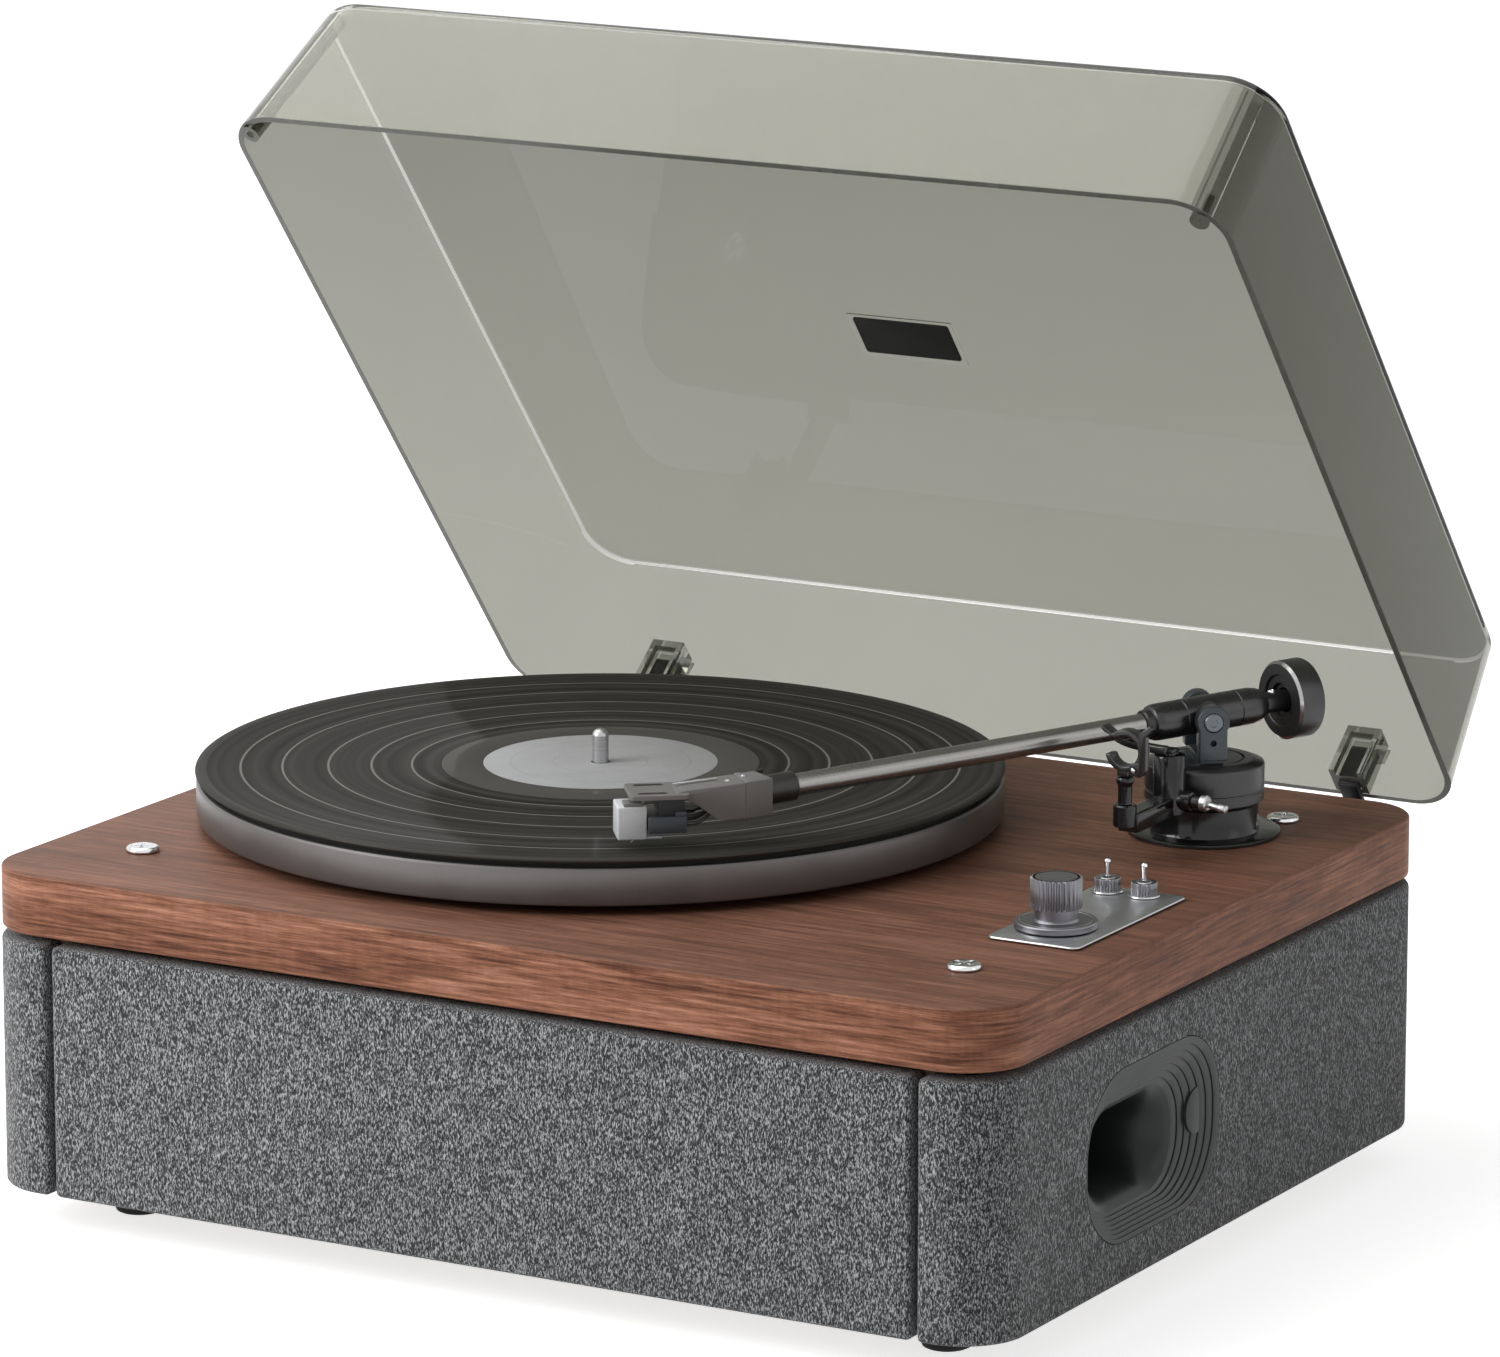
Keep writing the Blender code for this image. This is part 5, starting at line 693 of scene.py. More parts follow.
@dataclass(frozen=True)
class Ringed(Finish):
    """A turned surface whose marks run in rings about an upright axis."""

    axis: Pair = PLATTER_AXIS
    dark: Colour = (0.07, 0.068, 0.068)
    light: Colour = (0.10, 0.097, 0.096)
    pitch: float = 0.0006
    relief: float = 0.000006

    def wire(self, net: Net) -> dict[str, Any]:
        """Wire the tool's rings."""
        radius = net.group(Effects.radius(), centre=(*self.axis, 0.0))[0]
        rings = net.rings(net.math("DIVIDE", radius, self.pitch), 1.0, 3.0)
        cloud = net.noise(net.own(), 60.0, 3.0, 0.6)
        fine = net.noise(net.own(), 2200.0, 1.0)
        spread = net.line(net.line(rings, 0.6, net.times(cloud, 0.4)), 2.4, -0.7, clamp=True)
        return {
            "Base Color": net.mix(spread, self.dark, self.light),
            "Roughness": net.line(cloud, 0.12, self.roughness - 0.06),
            "Normal": net.bump(net.math("ADD", rings, fine), self.relief),
        }


@dataclass(frozen=True)
class Vinyl(Finish):
    """Black vinyl with fine grooves, and plain bands between the pieces of music and a plain run-out that are painted
    grey as a sheen.
    """

    axis: Pair = PLATTER_AXIS
    outer: float = 0.1462
    inner: float = 0.0590
    bands: tuple[float, ...] = (0.0700, 0.0850, 0.1010, 0.1180, 0.1335)
    pitch: float = 0.00042
    black: Pair = (0.0120, 0.0560)
    # The grey of the plain bands and run-out: a painted sheen, as they are the same black vinyl.
    plain: Pair = (0.210, 0.092)

    def wire(self, net: Net) -> dict[str, Any]:
        """Wire grooves, the bands' grey painted sheen and the sheen round the axis."""
        radius = net.group(Effects.radius(), centre=(*self.axis, 0.0))[0]
        field = net.math("LESS_THAN", radius, self.outer)
        grooved = net.times(field, net.math("GREATER_THAN", radius, self.inner))
        for band in self.bands:
            gap = net.math("ABSOLUTE", net.math("SUBTRACT", radius, band))
            grooved = net.times(grooved, net.line(gap, 4500.0, -1.4, clamp=True))
        turns = net.math("DIVIDE", radius, self.pitch)
        cut, slow = net.rings(turns, 1.0, 2.0), net.rings(turns, 0.09, 2.0)
        dust = net.noise(net.own(), 320.0, 4.0, 0.7)
        lift = net.line(slow, self.black[1], self.black[0])
        # Plain bands, run-out and rim take a grey painted sheen in place of the black.
        bare = net.line(net.math("LESS_THAN", radius, self.inner), self.plain[1] - self.plain[0], self.plain[0])
        bare = net.times(bare, net.line(field, 0.75, 0.25))
        grey = net.line(grooved, net.math("SUBTRACT", lift, bare), bare)
        tones = {0: grey, 1: net.times(grey, 0.95), 2: net.times(grey, 0.86)}
        return {
            "Base Color": net.node("ShaderNodeCombineColor", tones).outputs[0],
            "Roughness": net.line(grooved, -0.08, net.line(dust, 0.10, self.roughness)),
            "Normal": net.bump(net.times(grooved, cut), 0.00004, 0.6),
            "Tangent": net.node("ShaderNodeTangent", direction_type="RADIAL", axis="Z").outputs[0],
            "Anisotropic Rotation": 0.25, "Coat Weight": net.line(grooved, -0.06, 0.18), "Coat Roughness": 0.12,
        }


@dataclass(frozen=True)
class Paper(Finish):
    """The record's bare paper label: pale stock with soft mottling and two faint rings."""

    axis: Pair = PLATTER_AXIS
    stock: Colour = (0.47, 0.47, 0.48)
    shade: Colour = (0.37, 0.375, 0.385)
    crease: Colour = (0.25, 0.26, 0.27)
    rings: Pair = (0.0175, 0.0335)

    def wire(self, net: Net) -> dict[str, Any]:
        """Wire the stock's fibres and the pressed rings."""
        radius = net.group(Effects.radius(), centre=(*self.axis, 0.0))[0]
        fibre = net.noise(net.own(), 900.0, 4.0, 0.6)
        cloud = net.noise(net.own(), 70.0)
        blend = net.line(fibre, 0.5, net.times(cloud, 0.5))
        tone = net.mix(net.line(blend, 2.0, -0.5, clamp=True), self.shade, self.stock)
        pressed: Any = 0.0
        for ring in self.rings:
            gap = net.math("ABSOLUTE", net.math("SUBTRACT", radius, ring))
            pressed = net.math("MAXIMUM", pressed, net.line(gap, -1800.0, 1.0, clamp=True))
        return {
            "Base Color": net.mix(net.times(pressed, 0.35), tone, self.crease),
            "Roughness": net.line(fibre, 0.15, self.roughness - 0.07),
            "Normal": net.bump(net.math("SUBTRACT", fibre, net.times(pressed, 2.0)), 0.00002, 0.5),
        }


@dataclass(frozen=True)
class Acrylic(Finish):
    """Smoked clear acrylic."""

    tint: Colour = (0.300, 0.300, 0.266)
    deep: Colour = (0.286, 0.286, 0.254)
    clear: float = 1.0
    bend: float = 1.12

    def wire(self, net: Net) -> dict[str, Any]:
        """Wire the tint and the faint haze of wiped plastic."""
        cloud = net.noise(net.own(), 14.0)
        wiped = net.noise(net.own((1.0, 5.0, 5.0)), 60.0, 3.0, 0.6)
        return {
            "Base Color": net.mix(cloud, self.deep, self.tint), "Roughness": net.times(wiped, 0.003),
            "Transmission Weight": self.clear, "IOR": self.bend,
        }


class Finishes:
    """Every finish of the player; a finish's lighter edge colour is partly wear and partly a painted highlight."""

    CLOTH = Heather("heather_cloth", "fabric", roughness=0.9, specular=0.2)
    WALNUT = Walnut("oiled_walnut", "walnut", roughness=0.50, specular=0.17)
    VINYL = Vinyl("grooved_vinyl", "vinyl", roughness=0.36, specular=0.0, anisotropic=0.97)
    LABEL = Paper("bare_label", "vinyl", roughness=0.62, specular=0.2)
    PANEL = Cast(
        "raw_panel", "board", roughness=0.85, gloss=0.7, dark=(0.20, 0.14, 0.09), light=(0.32, 0.23, 0.15),
        grain=700.0, relief=0.00006,
    )
    # The underlay's near-black colour: partly the plate's own dark tone, partly painted shade that deepens the gap
    # under the board.
    UNDERLAY_PAINTED_SHADE = Cast(
        "underlay_painted_shade", "dark_plate", roughness=0.85, specular=0.2, gloss=0.7, dark=(0.008, 0.007, 0.006),
        light=(0.016, 0.014, 0.012), grain=600.0, relief=0.00004,
    )
    RUBBER = Cast(
        "foot_rubber", "rubber", roughness=0.85, gloss=0.7, dark=(0.012, 0.012, 0.012), light=(0.024, 0.024, 0.024),
        grain=900.0, relief=0.00003,
    )
    CHROME = Cast(
        "polished_chrome", "chrome", roughness=0.16, metallic=1.0, gloss=0.07, dark=(0.70, 0.70, 0.71),
        light=(0.82, 0.82, 0.83), grain=1600.0, relief=0.000003,
    )
    BLACK_PLASTIC = Cast(
        "black_plastic_grain", "black_plastic", roughness=0.42, specular=0.3, gloss=0.30, dark=(0.010, 0.011, 0.012),
        light=(0.020, 0.021, 0.022), grain=1800.0, relief=0.00002,
    )
    PORT = Cast(
        "port_moulding", "port_plastic", roughness=0.40, specular=0.28, gloss=0.30, dark=(0.016, 0.019, 0.019),
        light=(0.027, 0.031, 0.030), grain=1500.0, relief=0.00001, worn_and_highlit_edge=(0.09, 0.10, 0.10),
    )
    CONE = Cast(
        "pressed_cone", "paper_cone", roughness=0.92, gloss=0.8, dark=(0.028, 0.028, 0.030),
        light=(0.055, 0.055, 0.058), grain=500.0, relief=0.0001,
    )
    CIRCUIT = Cast(
        "circuit_lacquer", "circuit_board", roughness=0.55, gloss=0.35, dark=(0.012, 0.080, 0.040),
        light=(0.025, 0.140, 0.070), grain=260.0, relief=0.00002,
    )
    PLATTER = Ringed(
        "anodised_platter", "dark_aluminium", roughness=0.40, metallic=0.7, dark=(0.150, 0.144, 0.142),
        light=(0.190, 0.182, 0.178),
    )
    PLATE = Brushed(
        "brushed_plate", "plate_aluminium", roughness=0.30, metallic=0.95, dark=(0.44, 0.45, 0.46),
        light=(0.62, 0.63, 0.64),
    )
    KNOB = Ringed(
        "turned_knob", "knob_aluminium", roughness=0.32, metallic=0.95, axis=KNOB_AXIS, dark=(0.17, 0.17, 0.185),
        light=(0.29, 0.29, 0.315), pitch=0.00025,
    )
    KNOB_FACE = Ringed(
        "turned_knob_face", "knob_aluminium", roughness=0.42, metallic=0.8, axis=KNOB_AXIS, dark=(0.40, 0.40, 0.41),
        light=(0.52, 0.52, 0.53), pitch=0.00030,
    )
    STEEL = Brushed(
        "turned_steel", "steel", roughness=0.32, metallic=1.0, dark=(0.42, 0.42, 0.43), light=(0.58, 0.58, 0.59),
        lay=(1.0, 1.0, 30.0),
    )
    NUT = Cast(
        "milled_nut", "steel", roughness=0.34, metallic=0.95, gloss=0.24, dark=(0.17, 0.17, 0.18),
        light=(0.27, 0.27, 0.29), relief=0.000005, worn_and_highlit_edge=(0.62, 0.62, 0.64),
    )
    MAT = Ringed(
        "ribbed_mat", "mat_rubber", roughness=0.82, dark=(0.010, 0.010, 0.010), light=(0.022, 0.022, 0.022),
        pitch=0.0016, relief=0.0002,
    )
    BELT = Cast(
        "belt_rubber_skin", "belt_rubber", roughness=0.65, gloss=0.5, dark=(0.013, 0.013, 0.013),
        light=(0.024, 0.024, 0.024), grain=1500.0,
    )
    ARM_BLACK = Cast(
        "arm_black_satin", "arm_black", roughness=0.34, metallic=0.75, specular=0.4, gloss=0.24,
        dark=(0.048, 0.048, 0.049), light=(0.074, 0.074, 0.076), grain=2200.0, relief=0.000004,
        worn_and_highlit_edge=(0.20, 0.20, 0.205),
    )
    ARM_GLOSS = Cast(
        "arm_black_gloss", "arm_black", roughness=0.17, metallic=0.1, specular=0.45, gloss=0.10,
        dark=(0.008, 0.008, 0.009), light=(0.015, 0.015, 0.016), grain=900.0, relief=0.000002,
        worn_and_highlit_edge=(0.16, 0.16, 0.17),
    )
    ARM_GREY = Cast(
        "arm_tube_satin", "arm_grey", roughness=0.27, metallic=0.85, specular=0.4, gloss=0.20,
        dark=(0.255, 0.250, 0.240), light=(0.315, 0.309, 0.296), grain=2400.0, relief=0.000003,
    )
    ARM_DARK = Cast(
        "arm_collar_dark", "arm_grey", roughness=0.40, metallic=0.5, specular=0.35, gloss=0.30,
        dark=(0.040, 0.039, 0.038), light=(0.064, 0.062, 0.060), relief=0.000006,
    )
    SHELL = Cast(
        "headshell_grey", "shell_grey", roughness=0.50, metallic=0.1, specular=0.3, gloss=0.38,
        dark=(0.175, 0.171, 0.167), light=(0.225, 0.220, 0.215), grain=2600.0, relief=0.00001,
        worn_and_highlit_edge=(0.42, 0.41, 0.40),
    )
    PIVOT = Cast(
        "pivot_blue_grey", "screw_blue", roughness=0.38, metallic=0.5, specular=0.35, gloss=0.28,
        dark=(0.050, 0.059, 0.066), light=(0.085, 0.098, 0.108), relief=0.000006, worn_and_highlit_edge=(0.26, 0.28, 0.30),
    )
    CARTRIDGE = Cast(
        "cartridge_moulding", "cartridge_blue", roughness=0.40, specular=0.35, gloss=0.3, dark=(0.034, 0.042, 0.050),
        light=(0.056, 0.068, 0.078), grain=2200.0, relief=0.000008, worn_and_highlit_edge=(0.16, 0.18, 0.20),
    )
    STYLUS = Cast(
        "stylus_moulding", "stylus_white", roughness=0.40, specular=0.35, gloss=0.28, dark=(0.66, 0.68, 0.70),
        light=(0.78, 0.80, 0.81), grain=2000.0, relief=0.000006,
    )
    ACRYLIC = Acrylic("smoked_acrylic_clear", "smoked_acrylic", roughness=0.0, specular=0.10)
    # The front wall's much lighter tint and diffuse haze are a painted reflection on the same smoked acrylic.
    FRONT_PAINTED_REFLECTION = Acrylic(
        "smoked_acrylic_front_painted_reflection", "smoked_acrylic", specular=0.3, roughness=0.0, tint=(0.790, 0.790, 0.725),
        deep=(0.765, 0.765, 0.700), clear=0.86, bend=1.2,
    )
    # The top panel's darker tint is painted shade on the same smoked acrylic as the walls.
    LID_PAINTED_SHADE = Acrylic(
        "smoked_acrylic_top_painted_shade", "smoked_acrylic", roughness=0.0, specular=0.3, tint=(0.246, 0.246, 0.215),
        deep=(0.236, 0.236, 0.207),
    )
    SOCKET = Acrylic(
        "smoked_acrylic_socket", "smoked_acrylic", roughness=0.0, specular=0.3, tint=(0.130, 0.132, 0.108),
        deep=(0.090, 0.092, 0.076), bend=1.3,
    )
    RIM = Cast(
        "acrylic_cut_rim", "smoked_acrylic", roughness=0.30, specular=0.4, gloss=0.16, dark=(0.105, 0.108, 0.092),
        light=(0.165, 0.168, 0.146), grain=300.0, relief=0.000004, worn_and_highlit_edge=(0.40, 0.41, 0.38),
    )
    # The inner crease's near-white, glowing finish is a painted highlight: a reflection line painted onto the smoked
    # acrylic.
    CREASE_PAINTED_HIGHLIGHT = Cast(
        "acrylic_crease_painted_highlight", "smoked_acrylic", roughness=0.16, specular=0.6, gloss=0.08, dark=(0.90, 0.90, 0.88),
        light=(0.97, 0.97, 0.95), grain=200.0, relief=0.000002, painted_glow=0.40,
    )
    SCREW_FACE = Cast(
        "pivot_screw_face", "screw_blue", roughness=0.30, metallic=0.5, specular=0.4, gloss=0.2,
        dark=(0.130, 0.150, 0.165), light=(0.190, 0.215, 0.235), relief=0.000005, worn_and_highlit_edge=(0.40, 0.43, 0.45),
    )
    BRIGHT = Cast(
        "bright_bevel", "steel", roughness=0.20, metallic=0.9, gloss=0.12, dark=(0.36, 0.36, 0.37),
        light=(0.50, 0.50, 0.51), relief=0.000003,
    )
    WEIGHT = Cast(
        "weight_black_satin", "arm_black", roughness=0.42, metallic=0.8, specular=0.4, gloss=0.34,
        dark=(0.060, 0.060, 0.061), light=(0.085, 0.084, 0.085), grain=2200.0, relief=0.000003,
    )
    BADGE = Cast(
        "dark_inlay", "black_plastic", roughness=0.72, specular=0.12, gloss=0.6, dark=(0.020, 0.020, 0.018),
        light=(0.028, 0.028, 0.025), relief=0.000004, worn_and_highlit_edge=(0.10, 0.10, 0.09),
    )


def finish(
    piece: Piece, look: Finish, body: str, *nodes: str, place: Matrix | None = None, angle: float = 35.0
) -> Piece:
    """Carry a piece to its place, dress it and hang it on its body.

    Args:
        piece: the piece.
        look: its finish; pieces joined from several keep theirs.
        body: the body that carries it.
        nodes: the CAD nodes that it stands for.
        place: the piece's place, if it isn't there yet.
        angle: edges flatter than this many degrees are shaded smooth.

    Returns:
        The piece.
    """
    if place is not None:
        Bench.seat(piece, place)
    if not any(piece.data.materials):
        dressed(look, piece)
    Bench.only(piece)
    bpy.ops.object.shade_smooth_by_angle(angle=math.radians(angle))
    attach(piece, body)
    if nodes:
        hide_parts(*nodes)
    LOG.info("%s: %d faces on %s", piece.name, len(piece.data.polygons), body)
    return piece


def dressed(look: Finish, *pieces: Piece) -> list[Piece]:
    """Give pieces a finish, such as parts before they are joined, and return them."""
    for piece in pieces:
        piece.data.materials.clear()
        piece.data.materials.append(look.material())
    return list(pieces)


def redress(look: Finish, *nodes: str) -> None:
    """Give CAD nodes that stay as they are a finished material."""
    for node in nodes:
        dressed(look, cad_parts[node])
        LOG.info("%s: kept, in %s", node, look.name)


def deck_tools(play: float, pocket_top: float) -> list[Piece]:
    """Return the tools for the bores of bearing, motor and tonearm and for the pocket of the controls."""
    bores = ((PLATTER_AXIS, BEARING_BORE), (PULLEY_AXIS, PULLEY_BORE), (ARM_AXIS, ARM_BORE))
    tools = Bench.bores(*((axis, radius + play) for axis, radius in bores))
    return [*tools, Bench.block("pocket", (*POCKET_LOW, 0), (*POCKET_HIGH, pocket_top))]


@dataclass
class Cabinet:
    """The cloth-covered loudspeaker cabinet: two side shells, grille, back panel, feet and what they hide."""

    width: float = 0.4195
    depth: float = 0.3461
    height: float = 0.0940
    corner: float = 0.0243
    wall: float = 0.0120
    edge: float = 0.0019
    shell_end: float = 0.1800
    grille_gap: float = 0.0027
    grille_corner: float = 0.0022
    shade: float = 0.0085
    plate: Pair = (0.0956, 0.0968)
    plate_play: float = 0.0002
    back_recess: float = 0.0045
    back_thickness: float = 0.0075
    back_play: float = 0.0003
    port_size: Pair = (0.1026, 0.0633)
    port_centre: Pair = (-0.0527, 0.0470)
    port_corner: float = 0.0290
    port_play: float = 0.0006
    foot_places: Pair = (0.1690, 0.1300)
    foot_radius: float = 0.0091
    foot_height: float = 0.0142

    def build(self) -> None:
        """Build every piece of the cabinet."""
        self.side_shell(-1, "left")
        self.side_shell(1, "right")
        self.grille()
        self.back()
        self.feet()
        redress(Finishes.PANEL, "front_baffle", "base_panel")
        self.underlay()
        redress(Finishes.CONE, "driver_left", "driver_right")

    def side_shell(self, sign: int, side: str) -> None:
        """Build one side shell, which wraps round both of its corners.

        Args:
            sign: 1 for the right side, -1 for the left.
            side: the side's name.
        """
        half_x, half_y = self.width / 2, self.depth / 2
        x, y = half_x - self.corner, half_y - self.corner
        inner = self.corner - self.wall
        outline = [(self.shell_end, -half_y), *arc((x, -y), self.corner, -90, 0, 14)]
        outline += [*arc((x, y), self.corner, 0, 90, 14), (self.shell_end, half_y)]
        outline += [(self.shell_end, half_y - self.wall), *arc((x, y), inner, 90, 0, 10)]
        outline += [*arc((x, -y), inner, 0, -90, 10), (self.shell_end, self.wall - half_y)]
        shell = Bench.prism(f"side_cloth_{side}", [(sign * x, y) for x, y in outline], 0, self.height)
        Bench.soften(shell, self.edge, 4)
        size = [length + self.port_play for length in self.port_size]
        opening = Bench.slab("opening", size, self.port_centre, self.port_corner, 12, -0.02, 0.02)
        Bench.seat(opening, at(sign * (half_x - self.wall / 2), 0) @ Way.ACROSS_X.matrix())
        finish(Bench.cut(shell, opening), Finishes.CLOTH, "cabinet", f"side_shell_{side}")

    def grille(self) -> None:
        """Build the front grille panel with its cloth drawn round the edges."""
        size = (2 * (self.shell_end - self.grille_gap), self.wall)
        centre = (0, self.wall / 2 - self.depth / 2)
        panel = Bench.slab("grille_cloth", size, centre, self.grille_corner, 5, 0, self.height)
        finish(Bench.soften(panel, self.edge, 4, 60), Finishes.CLOTH, "cabinet", "grille_panel")

    def underlay(self) -> None:
        """Build the plate that holds the board above the cabinet and shades the gap; its near-black colour is partly
        its own dark tone and partly painted shade.
        """
        size = (self.width - 2 * self.shade, self.depth - 2 * self.shade)
        plate = Bench.slab("underlay_painted_shade", size, (0, 0), self.corner - self.shade, 12, *self.plate)
        Bench.cut(plate, *deck_tools(self.plate_play, THROUGH))
        finish(plate, Finishes.UNDERLAY_PAINTED_SHADE, "cabinet", "deck_plate")

    def back(self) -> None:
        """Build the back panel with the opening for the sockets."""
        face = self.depth / 2 - self.back_recess
        half = self.shell_end - self.back_play
        panel = Bench.block("back_cloth", (-half, face - self.back_thickness, 0), (half, face, self.height), 0.0010)
        opening = Bench.block("opening", (-0.0990, face - 0.02, 0.0280), (-0.0010, face + 0.02, 0.0520))
        finish(Bench.cut(panel, opening), Finishes.CLOTH, "cabinet", "back_panel")

    def feet(self) -> None:
        """Turn one rubber foot and copy it to the four corners."""
        low, r = -self.foot_height, self.foot_radius
        model = Bench.turn("foot_model", [
            (0, low + 0.0006), (0.0052, low + 0.0006), (0.0058, low), (r - 0.0014, low), (r - 0.0004, low + 0.0005),
            (r, low + 0.0014), (r, -0.0026), (r - 0.0008, -0.0022), (r - 0.0008, -0.0016), (r, -0.0012),
            (r, -0.0003), (0, -0.0003),
        ], 48)
        places = [(x * self.foot_places[0], y * self.foot_places[1]) for y in (-1, 1) for x in (-1, 1)]
        for index, place in enumerate(places, 1):
            foot = Bench.copy(model, f"rubber_foot_{index}", at(*place))
            finish(foot, Finishes.RUBBER, "cabinet", f"foot_{index}")
        Bench.discard(model)


@dataclass
class Port:
    """One stepped bass port: terraces, flared mouth, tube and the round pad on its terraces."""

    sign: int
    side: str
    half_width: float = 0.20975
    rim: Pair = (0.1026, 0.0633)
    rim_centre: Pair = (-0.0527, 0.0470)
    rim_corner: float = 0.0290
    mouth: Pair = (0.0651, 0.0389)
    mouth_centre: Pair = (-0.0670, 0.0468)
    terraces: int = 7
    step: float = 0.0005
    flare: float = 0.0300
    flare_steps: int = 12
    throat: float = 0.62
    length: float = 0.0620
    wall: float = 0.0025
    flange: float = 0.0110
    pad_centre: Pair = (-0.0172, 0.0489)
    pad_radius: float = 0.0085
    pad_heights: Pair = (-0.0060, -0.0011)

    def loop(self, share: float, depth: float, shrink: float = 1.0, grow: float = 0.0) -> tuple[float, ...]:
        """Return a loop between the rim and the mouth.

        Args:
            share: how far from the rim to the mouth it lies.
            depth: how deep it lies.
            shrink: its share of that size.
            grow: how much it then grows all round.

        Returns:
            The loop's depth, centre y, centre z, length and height.
        """
        ends = zip(self.rim_centre + self.rim, self.mouth_centre + self.mouth)
        y, z, length, height = (near + (far - near) * share for near, far in ends)
        return depth, y, z, length * shrink + 2 * grow, height * shrink + 2 * grow

    def loops(self) -> list[tuple[float, ...]]:
        """Return every loop from the rim through the mouth and back along the outside."""
        made = []
        for terrace in range(self.terraces):
            for rise, drop in ((0, 0.0), (0.93, 0.00004), (1, 0.00016)):
                made.append(self.loop((terrace + rise) / self.terraces, terrace * self.step + drop))
        lip = self.terraces * self.step
        for count in range(1, self.flare_steps + 1):
            angle = math.pi / 2 * count / self.flare_steps
            shrink = self.throat + (1 - self.throat) * (1 - math.sin(angle))
            made.append(self.loop(1, lip + self.flare * (1 - math.cos(angle)), shrink))
        made.append(self.loop(1, self.length, self.throat))
        made += [self.loop(1, depth, self.throat, self.wall) for depth in (self.length, self.flare)]
        return made + [self.loop(1, self.flange, 1, self.wall), self.loop(0, self.flange)]

    def build(self) -> None:
        """Pull the port out of its rim loop by loop, then add the pad."""
        loops = self.loops()
        depth, y, z, length, height = loops[0]
        bpy.ops.mesh.primitive_plane_add(size=1.0, location=(y, z, -depth))
        bpy.context.object.scale = (length, height, 1)
        port = Bench.named(f"bass_port_{self.side}")
        with Bench.editing(port, whole=True):
            bpy.ops.mesh.bevel(offset=self.rim_corner, segments=16, affect="VERTICES")
            bpy.ops.mesh.select_all(action="SELECT")
            bpy.ops.mesh.delete(type="ONLY_FACE")
            bpy.ops.mesh.select_all(action="SELECT")
            for before, after in zip(loops, loops[1:]):
                move = (after[1] - before[1], after[2] - before[2], before[0] - after[0])
                bpy.ops.mesh.extrude_region_move(TRANSFORM_OT_translate={"value": move})
                share = (after[3] / before[3], after[4] / before[4], 1)
                bpy.ops.transform.resize(value=share, center_override=(after[1], after[2], -after[0]))
        with Bench.editing(port, "EDGE"):
            bpy.ops.mesh.select_all(action="DESELECT")
            bpy.ops.mesh.select_non_manifold()
            bpy.ops.mesh.bridge_edge_loops()
        Bench.tidy(port)
        low, top = self.pad_heights
        pad = Bench.rod("pad", (*self.pad_centre, low), (*self.pad_centre, top), self.pad_radius, 64, 0.0002)
        port = Bench.join(port.name, port, pad)
        place = at(self.half_width, 0) @ Way.ACROSS_X.matrix()
        if self.sign < 0:
            place = Matrix.Scale(-1, 4, (1, 0, 0)) @ place
        Bench.tidy(Bench.seat(port, place), 0.0000005)
        finish(port, Finishes.PORT, "cabinet", f"port_{self.side}", angle=24)


@dataclass
class Rear:
    """The socket plate at the back and the electronics behind it."""

    place: Triple = (-0.0500, 0.16885, 0.0400)
    size: Pair = (0.1100, 0.0360)
    corner: float = 0.0022
    thickness: float = 0.0020
    spacing: float = 0.0200
    hole_radius: float = 0.0041
    barrel_end: float = -0.0078
    screw_x: float = 0.0480

    def build(self) -> None:
        """Build the plate with three phono sockets and the power inlet."""
        plate = Bench.slab("plate", self.size, (0, 0), self.corner, 6, 0, self.thickness)
        Bench.soften(plate, 0.0004, 2, 60)
        spots = [(index - 1.5) * self.spacing for index in range(4)]
        for x in spots:
            Bench.cut(plate, Bench.rod("hole", (x, 0, -0.02), (x, 0, 0.02), self.hole_radius))
        parts = dressed(Finishes.BLACK_PLASTIC, plate)
        for x in spots[:3]:
            parts += self.phono(x)
        parts += self.inlet(spots[3])
        for sign in (-1, 1):
            parts += self.screw(sign * self.screw_x)
        joined = Bench.join("socket_plate", *parts)
        place = at(*self.place) @ Way.BACKWARD.matrix()
        finish(joined, Finishes.BLACK_PLASTIC, "cabinet", "jack_plate", place=place)
        redress(Finishes.CIRCUIT, "amplifier_board")

    def phono(self, x: float) -> list[Piece]:
        """Return one phono socket: plated ring, insulator and the barrel behind."""
        top, end = self.thickness + 0.0019, self.barrel_end
        ring = Bench.turn("ring", [
            (0.0030, top), (0.0038, top), (0.0041, top - 0.0003), (0.0041, end), (0.0019, end), (0.0019, -0.0060),
            (0.0030, -0.0060),
        ], 40, True)
        core = Bench.turn("core", [
            (0.0018, top - 0.0010), (0.0029, top - 0.0010), (0.0029, -0.0058), (0.0018, -0.0058),
        ], 40, True)
        parts = dressed(Finishes.STEEL, Bench.seat(ring, at(x, 0)))
        return parts + dressed(Finishes.STYLUS, Bench.seat(core, at(x, 0)))

    def inlet(self, x: float) -> list[Piece]:
        """Return the power inlet with its centre pin."""
        top, end = self.thickness, self.barrel_end
        barrel = Bench.turn("barrel", [(0.0026, top), (0.0043, top), (0.0043, end), (0.0026, end)], 40, True)
        pin = Bench.turn("pin", [(0, 0.0006), (0.0006, 0.0003), (0.0008, -0.0002), (0.0008, end), (0, end)], 20)
        parts = dressed(Finishes.BLACK_PLASTIC, Bench.seat(barrel, at(x, 0)))
        return parts + dressed(Finishes.STEEL, Bench.seat(pin, at(x, 0)))

    def screw(self, x: float) -> list[Piece]:
        """Return one of the plate's round-headed screws."""
        top = self.thickness
        head = Bench.turn("screw", [(0, 0.0029), (0.0010, 0.0028), (0.0018, 0.0024), (0.0022, top), (0, top)], 32)
        Bench.cut(head, Bench.block("slot", (-0.0030, -0.0003, 0.0024), (0.0030, 0.0003, 0.0040)))
        return dressed(Finishes.STEEL, Bench.seat(head, at(x, 0)))


